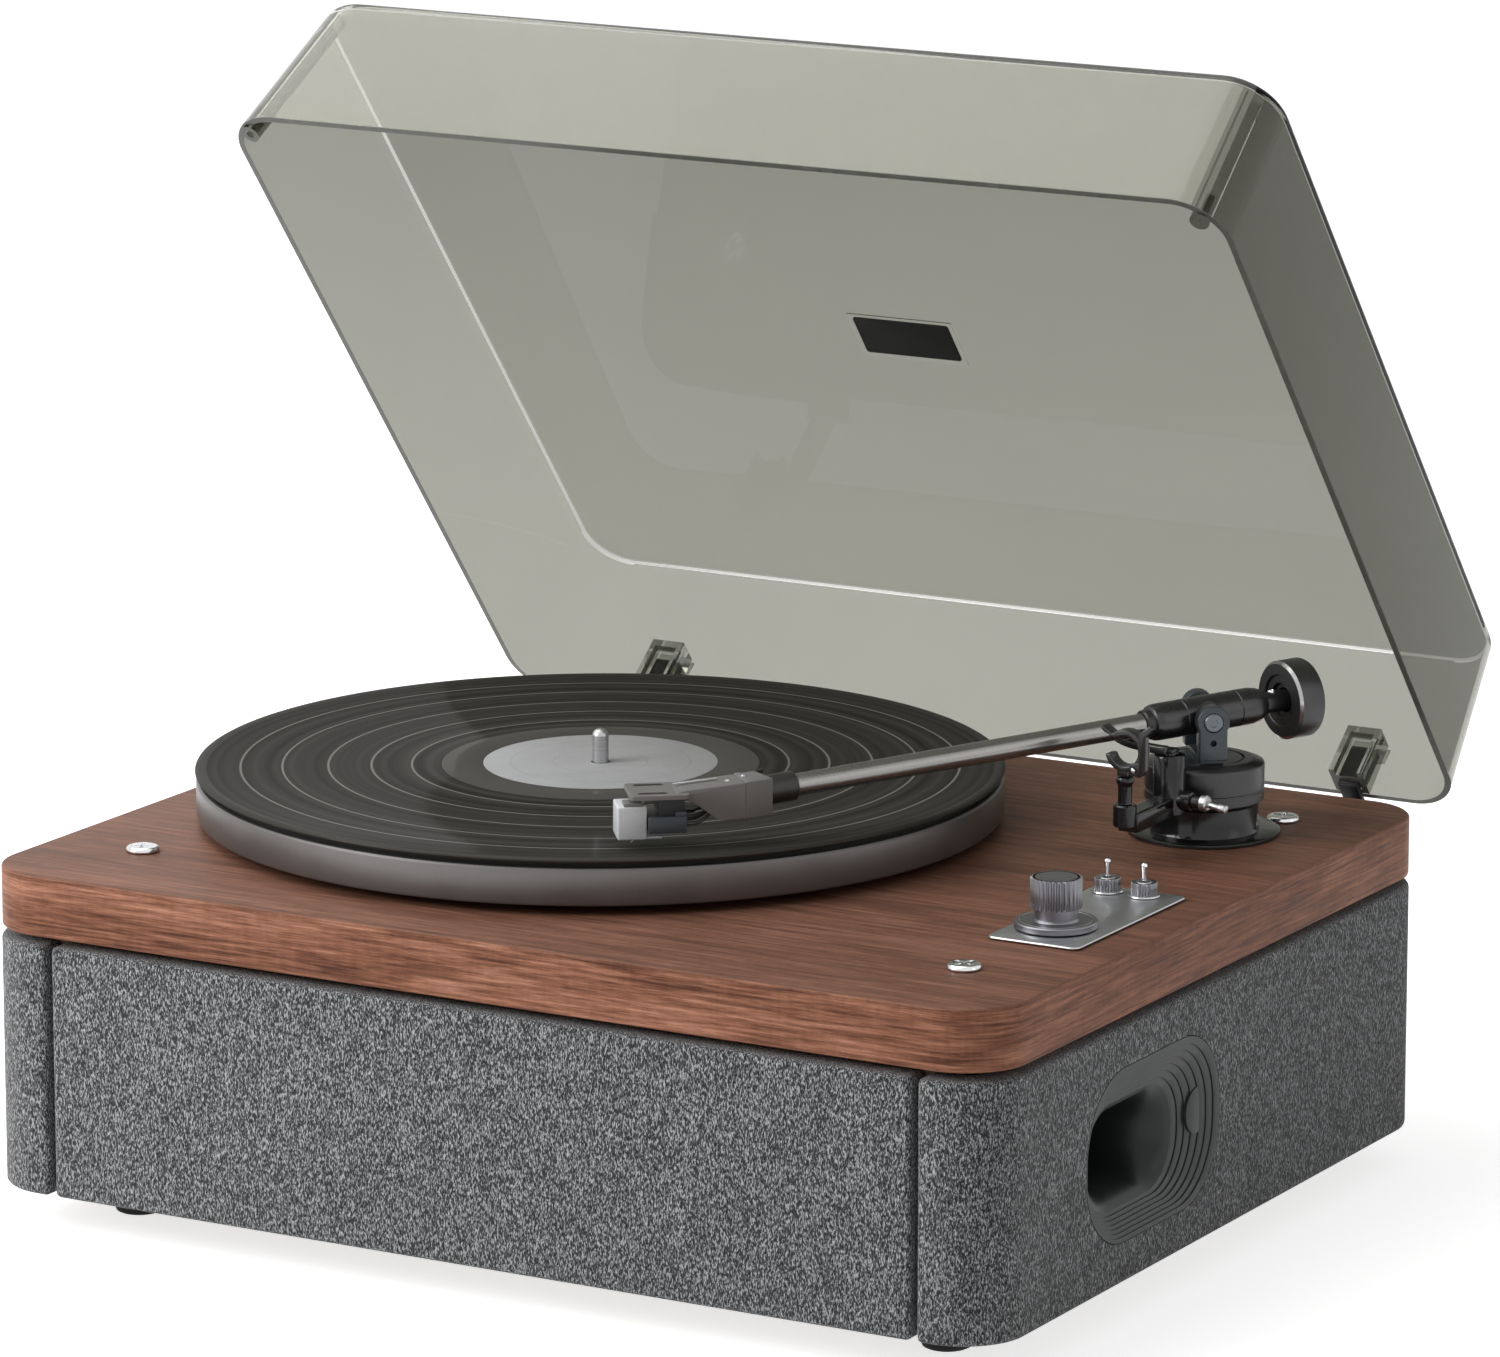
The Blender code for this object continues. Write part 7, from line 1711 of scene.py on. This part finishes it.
@dataclass
class Cueing:
    """The cueing lift beside the pivot, its lever, and the rest post with its clip and latch."""

    lift_y: float = -0.0285
    shaft_rise: float = 0.0185
    collar_clearance: float = 0.02245
    rest: Pair = (-0.0012, -0.0615)
    clip_rise: float = 0.0428
    clip_half: float = 0.0028
    pin: Pair = (0.0062, -0.0052)
    latch_x: float = 0.0050

    def place(self, x: float = 0.0, y: float = 0.0, z: float = 0.0) -> Matrix:
        """Return the frame of the pieces that stand round the pivot, or a frame moved from it."""
        return at(ARM_AXIS[0] + x, ARM_AXIS[1] + y, DECK + z)

    def build(self) -> None:
        """Build every piece of the lift and the rest."""
        self.bracket()
        self.lift_bar()
        self.lever()
        self.post()
        self.clip()
        self.latch()

    def bracket(self) -> None:
        """Build the bracket: bar, lift cylinder, shaft boss and the cup of the rest post."""
        y, z = self.lift_y, self.shaft_rise
        bar = Bench.block("cueing_bracket", (-0.0040, self.rest[1], 0.0129), (0.0040, -0.0220, 0.0200), 0.0006)
        cylinder = Bench.turn("cylinder", [
            (0, 0.0129), (0.0053, 0.0129), (0.0059, 0.0135), (0.0059, 0.0346), (0.0056, 0.0352), (0.0050, 0.0354),
            (0.0049, 0.0350), (0.0036, 0.0350), (0, 0.0350),
        ], 56)
        Bench.seat(cylinder, at(0, y))
        boss = Bench.rod("boss", (0, y, z), (0.0095, y, z), 0.0036, 40, 0.0004)
        cup = Bench.turn("cup", [
            (0, 0.0150), (0.0038, 0.0150), (0.0043, 0.0155), (0.0043, 0.0228), (0.0038, 0.0233), (0, 0.0233),
        ], 48)
        Bench.seat(cup, at(*self.rest))
        Bench.cut(bar, cylinder, boss, cup, operation="UNION")
        clearance = Bench.rod("clearance", (0, 0, 0), (0, 0, 0.04), self.collar_clearance, 96)
        upright = Bench.rod("bore", (0, y, 0.0238), (0, y, 0.05), 0.0031, 40)
        across = Bench.rod("bore", (0.0030, y, z), (0.02, y, z), 0.0026, 32)
        Bench.cut(bar, clearance, upright, across)
        finish(bar, Finishes.ARM_GLOSS, "cabinet", "cue_bracket", place=self.place())

    def lift_bar(self) -> None:
        """Build the curved bar that lifts the tube, with its bridge and rod."""
        outline = arc((0, 0), 0.0346, 218, 272, 28) + arc((0, 0), 0.0312, 272, 218, 28)
        bar = Bench.soften(Bench.prism("bar", outline, 0.0362, 0.0392), 0.0005, 3, 50)
        bridge = Bench.block("bridge", (-0.0027, -0.0318, 0.0362), (0.0027, -0.0259, 0.0375), 0.0003, 2)
        rod = Bench.rod("rod", (0, self.lift_y, 0.0242), (0, self.lift_y, 0.0365), 0.0027, 40, 0.0003)
        parts = dressed(Finishes.ARM_BLACK, bar, bridge) + dressed(Finishes.ARM_GLOSS, rod)
        finish(Bench.join("curved_lift_bar", *parts), Finishes.ARM_BLACK, "cue_lift", "lift_bar", place=self.place())

    def lever(self) -> None:
        """Build the cueing lever: shaft, satin cap and cranked handle."""
        shaft = Bench.rod("shaft", (0.0034, 0, 0), (0.0133, 0, 0), 0.0022, 40, 0.0003)
        cap = Bench.turn("cap", [
            (0, 0.0160), (0.0024, 0.0160), (0.0030, 0.0155), (0.0030, 0.0134), (0.0026, 0.0130), (0, 0.0130),
        ], 48)
        Bench.seat(cap, Way.FORWARD.matrix())
        handle = Bench.rod("handle", (0.0145, 0, 0), (0.0235, -0.0012, -0.0012), 0.0012, 32, 0.0003)
        knob = Bench.rod("knob", (0.0205, -0.0008, -0.0008), (0.0240, -0.0012, -0.0012), 0.00165, 32, 0.0005)
        parts = dressed(Finishes.ARM_BLACK, shaft) + dressed(Finishes.STEEL, cap, handle, knob)
        place = self.place(0, self.lift_y, self.shaft_rise)
        finish(Bench.join("satin_cue_lever", *parts), Finishes.STEEL, "cue_lever", "cue_lever", place=place)

    def post(self) -> None:
        """Turn the rest post."""
        post = Bench.turn("ridged_rest_post", [
            (0, 0.0337), (0.0022, 0.0337), (0.0030, 0.0334), (0.00335, 0.0327), (0.00325, 0.0316), (0.0028, 0.0308),
            (0.0026, 0.0300), (0.0026, 0.0236), (0, 0.0236),
        ], 40)
        finish(post, Finishes.ARM_GLOSS, "cabinet", "rest_post", place=self.place() @ at(*self.rest))

    def clip(self) -> None:
        """Build the open clip with its guide finger, stem and the bright latch pin."""
        middle = (0.0008, 0.0007)
        finger = [(-0.0070, 0.0087), (-0.0084, 0.0094), (-0.0090, 0.0086), (-0.0076, 0.0072)]
        outline = arc(middle, 0.0078, 192, 490, 56) + finger + arc(middle, 0.0056, 490, 196, 56)
        ring = Bench.soften(Bench.prism("ring", outline, -self.clip_half, self.clip_half), 0.0004, 3, 50)
        stem = Bench.block("stem", (-0.0022, -0.0088, -0.0025), (0.0022, -0.0054, 0.0025), 0.0004, 2)
        lug = Bench.rod("lug", (*self.pin, -0.0025), (*self.pin, 0.0025), 0.0020, 32, 0.0003)
        pin = Bench.rod("pin", (*self.pin, 0), (*self.pin, 0.0064), 0.0010, 24, 0.0002)
        parts = dressed(Finishes.ARM_BLACK, ring, stem, lug) + dressed(Finishes.CHROME, pin)
        place = self.place(*self.rest, self.clip_rise) @ Way.ACROSS_Y.matrix()
        finish(Bench.join("open_rest_clip", *parts), Finishes.ARM_BLACK, "cabinet", "rest_clip", place=place)

    def latch(self) -> None:
        """Build the hook latch on its pin."""
        latch = Bench.prism("hook_latch", [
            (-0.0020, -0.0020), (0.0028, -0.0024), (0.0050, 0.0000), (0.0050, 0.0128), (0.0078, 0.0160),
            (0.0064, 0.0172), (0.0021, 0.0138), (0.0021, 0.0030), (-0.0018, 0.0020),
        ], 0.0032, 0.0060)
        Bench.soften(latch, 0.0003, 2, 12)
        Bench.cut(latch, Bench.rod("hole", (0, 0, -0.01), (0, 0, 0.01), 0.0014, 24))
        place = self.place(self.latch_x, self.rest[1], self.clip_rise + self.pin[1]) @ Way.ACROSS_Y.matrix()
        finish(latch, Finishes.ARM_BLACK, "latch", "rest_latch", place=place)


@dataclass
class DustCover:
    """The smoked cover, modelled closed and then opened on its hinge."""

    width: float = 0.4150
    depth: float = 0.3373
    height: float = 0.0669
    wall: float = 0.0026
    corner: float = 0.0205
    top_edge: float = 0.0044
    draft: float = 4.85
    back: float = 0.16865
    rim_lift: float = 0.0024
    opened: float = 51.0
    post_inset: Pair = (0.0095, 0.0088)
    post_radius: float = 0.0037
    post_bore: float = 0.0018
    post_depth: float = 0.0120
    hinge: Pair = (0.17615, 0.07807)
    sockets: tuple[tuple[str, float], ...] = (("left", -0.1443), ("right", 0.1624))
    socket_half: float = 0.0070
    socket_depth: float = 0.0148
    eye_radius: float = 0.0036
    eye_bore: float = 0.0018
    leg: Pair = (-0.00285, 0.0025)
    crank_gap: float = 0.0004
    crank_thickness: float = 0.0016
    tongue: Pair = (0.0060, 0.0094)
    tongue_height: float = 0.0156
    arm_half: float = 0.0042

    def hinge_place(self) -> Matrix:
        """Return the opened frame about the hinge pins."""
        return at(0, *self.hinge) @ turned(-self.opened, "X")

    def place(self) -> Matrix:
        """Return the opened frame whose origin is the middle of the closed rim's back edge."""
        return self.hinge_place() @ at(0, self.back - self.hinge[0], DECK + self.rim_lift - self.hinge[1])

    def build(self) -> None:
        """Build the cover and its hinges."""
        shell = self.walls()
        self.fit_out(shell)
        self.trim(shell)
        finish(shell, Finishes.ACRYLIC, "cover", "dust_cover", place=self.place(), angle=22)
        self.inlay()
        for side, x in self.sockets:
            self.arm(side, x)
            redress(Finishes.BLACK_PLASTIC, f"hinge_bracket_{side}")

    def inset(self) -> float:
        """Return how far the draft moves each wall in from the rim to the top."""
        return self.height * math.tan(math.radians(self.draft))

    def walls(self) -> Piece:
        """Return the closed cover's hollow, drafted and rounded walls."""
        bpy.ops.mesh.primitive_cube_add(size=1.0, location=(0, 0, self.height / 2))
        bpy.context.object.scale = (self.width, self.depth, self.height)
        shell = Bench.named("dust_cover_clear")
        Bench.pick(shell, lambda vertex: vertex.co.z > self.height / 2)
        share = (1 - 2 * self.inset() / self.width, 1 - 2 * self.inset() / self.depth, 1.0)
        with Bench.editing(shell):
            bpy.ops.transform.resize(value=share, center_override=(0, 0, self.height))

        def heights(edge: bpy.types.MeshEdge) -> list[float]:
            """Return the heights of an edge's two ends, the lower one first."""
            return sorted(shell.data.vertices[index].co.z for index in edge.vertices)

        Bench.pick(shell, lambda edge: heights(edge)[1] - heights(edge)[0] > 0.03, "edges")
        with Bench.editing(shell, "EDGE"):
            bpy.ops.mesh.bevel(offset=self.corner, segments=14, affect="EDGES")
        Bench.pick(shell, lambda edge: heights(edge)[0] > self.height - 0.0001, "edges")
        with Bench.editing(shell, "EDGE"):
            bpy.ops.mesh.bevel(offset=self.top_edge, segments=6, affect="EDGES")
        Bench.pick(shell, lambda face: face.normal.z < -0.99 and face.center.z < 0.0001, "polygons")
        with Bench.editing(shell, "FACE"):
            bpy.ops.mesh.delete(type="ONLY_FACE")
        Bench.tidy(shell)
        Bench.seat(shell, at(0, -self.depth / 2))
        Bench.apply(shell, "SOLIDIFY", thickness=self.wall, offset=-1, use_even_offset=True)
        return Bench.soften(shell, 0.0003, 2, 60)

    def fit_out(self, shell: Piece) -> None:
        """Add the corner posts, the hinge sockets and the shallow recess to the closed cover."""
        lean = self.inset() * (self.height - self.wall / 2) / self.height
        solids, hollows = [], []
        for sign in (-1, 1):
            x, y = sign * (self.width / 2 - self.post_inset[0]), self.post_inset[1] - self.depth
            foot = Vector((x, y, 0.0008 - self.rim_lift))
            head = Vector((x - sign * lean, y + lean, self.height - self.top_edge))
            solids.append(Bench.rod("post", foot, head, self.post_radius, 40))
            below, above = foot - (head - foot) * 0.02, foot + (head - foot).normalized() * self.post_depth
            hollows.append(Bench.rod("bore", below, above, self.post_bore, 24))
        for _, x in self.sockets:
            half, low = self.socket_half, (x - self.socket_half, -self.socket_depth, 0)
            solids.append(Bench.block("socket", low, (x + half, -self.wall / 2, 0.0220)))
            hollows.append(Bench.block("hollow", (x - 0.0049, -0.0178, -0.0003), (x + 0.0049, -0.0118, 0.0190)))
            hollows.append(Bench.block("hollow", (x - 0.0045, -0.0092, -0.0160), (x + 0.0045, -0.0050, 0.0160)))
        under, half = self.height - self.wall, 0.0006
        hollows.append(Bench.block("recess", (-0.0247, -0.1785, under - half), (0.0203, -0.1551, under + half)))
        Bench.cut(shell, *solids, operation="UNION")
        Bench.cut(shell, *hollows)

    def trim(self, shell: Piece) -> None:
        """Give the closed cover's cut rim, inner crease, front wall, sockets and top their own finishes; the crease's
        glowing near-white is a painted highlight, the front wall's lighter haze a painted reflection and the top's
        darker tint painted shade.
        """
        looks = (Finishes.ACRYLIC, Finishes.RIM, Finishes.CREASE_PAINTED_HIGHLIGHT, Finishes.FRONT_PAINTED_REFLECTION, Finishes.SOCKET, Finishes.LID_PAINTED_SHADE)
        for look in looks:
            shell.data.materials.append(look.material())
        plain, rim, crease, front, socket, lid = range(len(looks))
        under, curl = self.height - self.wall, self.top_edge - self.wall
        lean = math.tan(math.radians(self.draft))
        for face in shell.data.polygons:
            (x, y, z), normal = face.center, face.normal
            heights = [shell.data.vertices[index].co.z for index in face.vertices]
            inside = max(heights) < under + 0.0001 and min(heights) > under - curl - 0.0004
            if normal.z < -0.6 and z < 0.0006 and max(heights) < 0.0009:
                face.material_index = rim
            # The inner crease takes a painted highlight.
            elif inside and -0.92 < normal.z < -0.45 and (normal.y < -0.3 or normal.x > 0.3):
                face.material_index = crease
            # The front wall takes a lighter tint with haze: a painted reflection.
            elif y < self.wall * 1.6 - self.depth + z * lean and z < under:
                face.material_index = front
            elif y > -0.0182 and z < 0.0224 and min(abs(x - middle) for _, middle in self.sockets) < 0.0072:
                reach = max(abs(shell.data.vertices[index].co.x - x) for index in face.vertices)
                face.material_index = socket if reach < 0.0150 else plain
            # The top panel takes a darker tint: painted shade.
            elif z > under - 0.0001 and abs(normal.z) > 0.9:
                face.material_index = lid

    def inlay(self) -> None:
        """Build the bare dark inlay in the recess inside the top."""
        under = self.height - self.wall
        ends = (under - 0.0002, under + 0.0005)
        inlay = Bench.slab("bare_inlay", (0.0410, 0.0196), (-0.0022, -0.1668), 0.0012, 5, *ends)
        finish(Bench.soften(inlay, 0.0002, 2, 60), Finishes.BADGE, "cover", place=self.place())

    def arm(self, side: str, x: float) -> None:
        """Build one hinge arm: eye round the pin, leg, crank and tongue.

        Args:
            side: the side's name.
            x: the middle of the arm's socket.
        """
        far = self.back - self.hinge[0] - self.socket_depth
        front, rear = (far + reach for reach in self.tongue)
        low = DECK - self.hinge[1] + self.crank_gap
        high, top = low + self.crank_thickness, DECK + self.rim_lift - self.hinge[1] + self.tongue_height
        start, end = (math.degrees(math.acos(edge / self.eye_radius)) for edge in self.leg[::-1])
        outline = arc((0, 0), self.eye_radius, start, end - 360, 28)
        outline += [(self.leg[0], low), (front, low), (front, top), (rear, top), (rear, high), (self.leg[1], high)]
        arm = Bench.prism(f"hinge_crank_{side}", outline, -self.arm_half, self.arm_half)
        Bench.soften(arm, 0.0003, 2, 50)
        Bench.cut(arm, Bench.rod("hole", (0, 0, -0.01), (0, 0, 0.01), self.eye_bore, 32))
        place = self.hinge_place() @ at(x, 0) @ Way.ACROSS_X.matrix()
        finish(arm, Finishes.BLACK_PLASTIC, "cover", f"hinge_arm_{side}", place=place)


@dataclass
class Studio:
    """The camera at the photograph's angle, the soft lights, the pale floor and the white backdrop."""

    location: Triple = (1.47935, -2.55251, 0.84569)
    yaw: float = 29.8348
    pitch: float = 12.7224
    roll: float = -0.0304
    lens: float = 198.03
    sensor: float = 36.0
    sight: Pair = (0.05, 60.0)
    aim: Triple = (0, 0, 0.12)
    floor: float = -0.0142
    floor_size: float = 40.0
    floor_glow: float = 0.74
    ambient: float = 0.24
    white: tuple[float, ...] = (1.0, 1.0, 1.0, 1.0)

    def build(self) -> None:
        """Build the studio."""
        self.camera()
        self.lights()
        self.world()
        self.ground()
        bpy.context.scene.view_settings.view_transform = "Standard"

    def hang(self, name: str, data: bpy.types.ID, place: Matrix) -> Piece:
        """Return a camera or a lamp at its place."""
        hung = bpy.data.objects.new(name, data)
        bpy.context.scene.collection.objects.link(hung)
        hung.matrix_world = place
        return hung

    def camera(self) -> None:
        """Place the camera."""
        data = bpy.data.cameras.new("camera")
        data.lens, data.sensor_width = self.lens, self.sensor
        data.clip_start, data.clip_end = self.sight
        aimed = Euler((math.radians(90 - self.pitch), 0, math.radians(self.yaw))).to_matrix().to_4x4()
        bpy.context.scene.camera = self.hang("camera", data, at(*self.location) @ aimed @ turned(self.roll))

    def lights(self) -> None:
        """Hang a large key light at the front left, a light above the cover and a weak one at the right."""
        for name, place, width, height, power in (
            ("key", (-1.7, -1.9, 1.5), 1.5, 1.5, 44.0), ("top", (-1.0, 0.0, 2.3), 2.4, 2.0, 34.0),
            ("right", (2.2, 0.2, 0.9), 0.8, 1.4, 1.8),
        ):
            data = bpy.data.lights.new(name, "AREA")
            data.shape, data.size, data.size_y, data.energy = "RECTANGLE", width, height, power
            aimed = (Vector(self.aim) - Vector(place)).to_track_quat("-Z", "Y").to_matrix().to_4x4()
            self.hang(name, data, at(*place) @ aimed)

    def world(self) -> None:
        """Light the room evenly, and show it white to the camera, to mirrors and through glass."""
        world = bpy.data.worlds.new("studio")
        bpy.context.scene.world = world
        world.use_nodes = True
        net = Net(world.node_tree)
        seen = net.seen_by("Camera", "Glossy", "Transmission")
        strength = net.line(seen, 1.0 - self.ambient, self.ambient)
        net.fill(world.node_tree.nodes["Background"], {"Color": self.white, "Strength": strength})

    def ground(self) -> None:
        """Lay the pale floor."""
        bpy.ops.mesh.primitive_plane_add(size=self.floor_size, location=(0, 0, self.floor))
        floor = Bench.named("floor")
        material = bpy.data.materials.new("pale_floor")
        material.use_nodes = True
        net = Net(material.node_tree)
        grain = net.noise(net.own(), 3.0, 3.0, 0.5)
        seen = net.seen_by("Camera", "Transmission", "Glossy")
        net.fill(material.node_tree.nodes["Principled BSDF"], {
            "Base Color": net.mix(grain, (0.80, 0.80, 0.80), (0.82, 0.82, 0.82)), "Roughness": 0.9,
            "Specular IOR Level": 0.1, "Emission Color": self.white,
            "Emission Strength": net.times(seen, self.floor_glow),
        })
        floor.data.materials.append(material)


def main() -> None:
    """Build the studio and the player, piece by piece, and log each piece and assembly as it is built."""
    logging.basicConfig(level=logging.INFO, format="%(message)s", stream=sys.stdout)
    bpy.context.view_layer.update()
    assemblies = [
        Studio(), Cabinet(), Port(-1, "left"), Port(1, "right"), Rear(), Deck(), Turntable(), Controls(), Tonearm(),
        Cueing(), DustCover(),
    ]
    for assembly in assemblies:
        assembly.build()
        LOG.info("built %s", type(assembly).__name__)


if __name__ == "__main__":
    main()
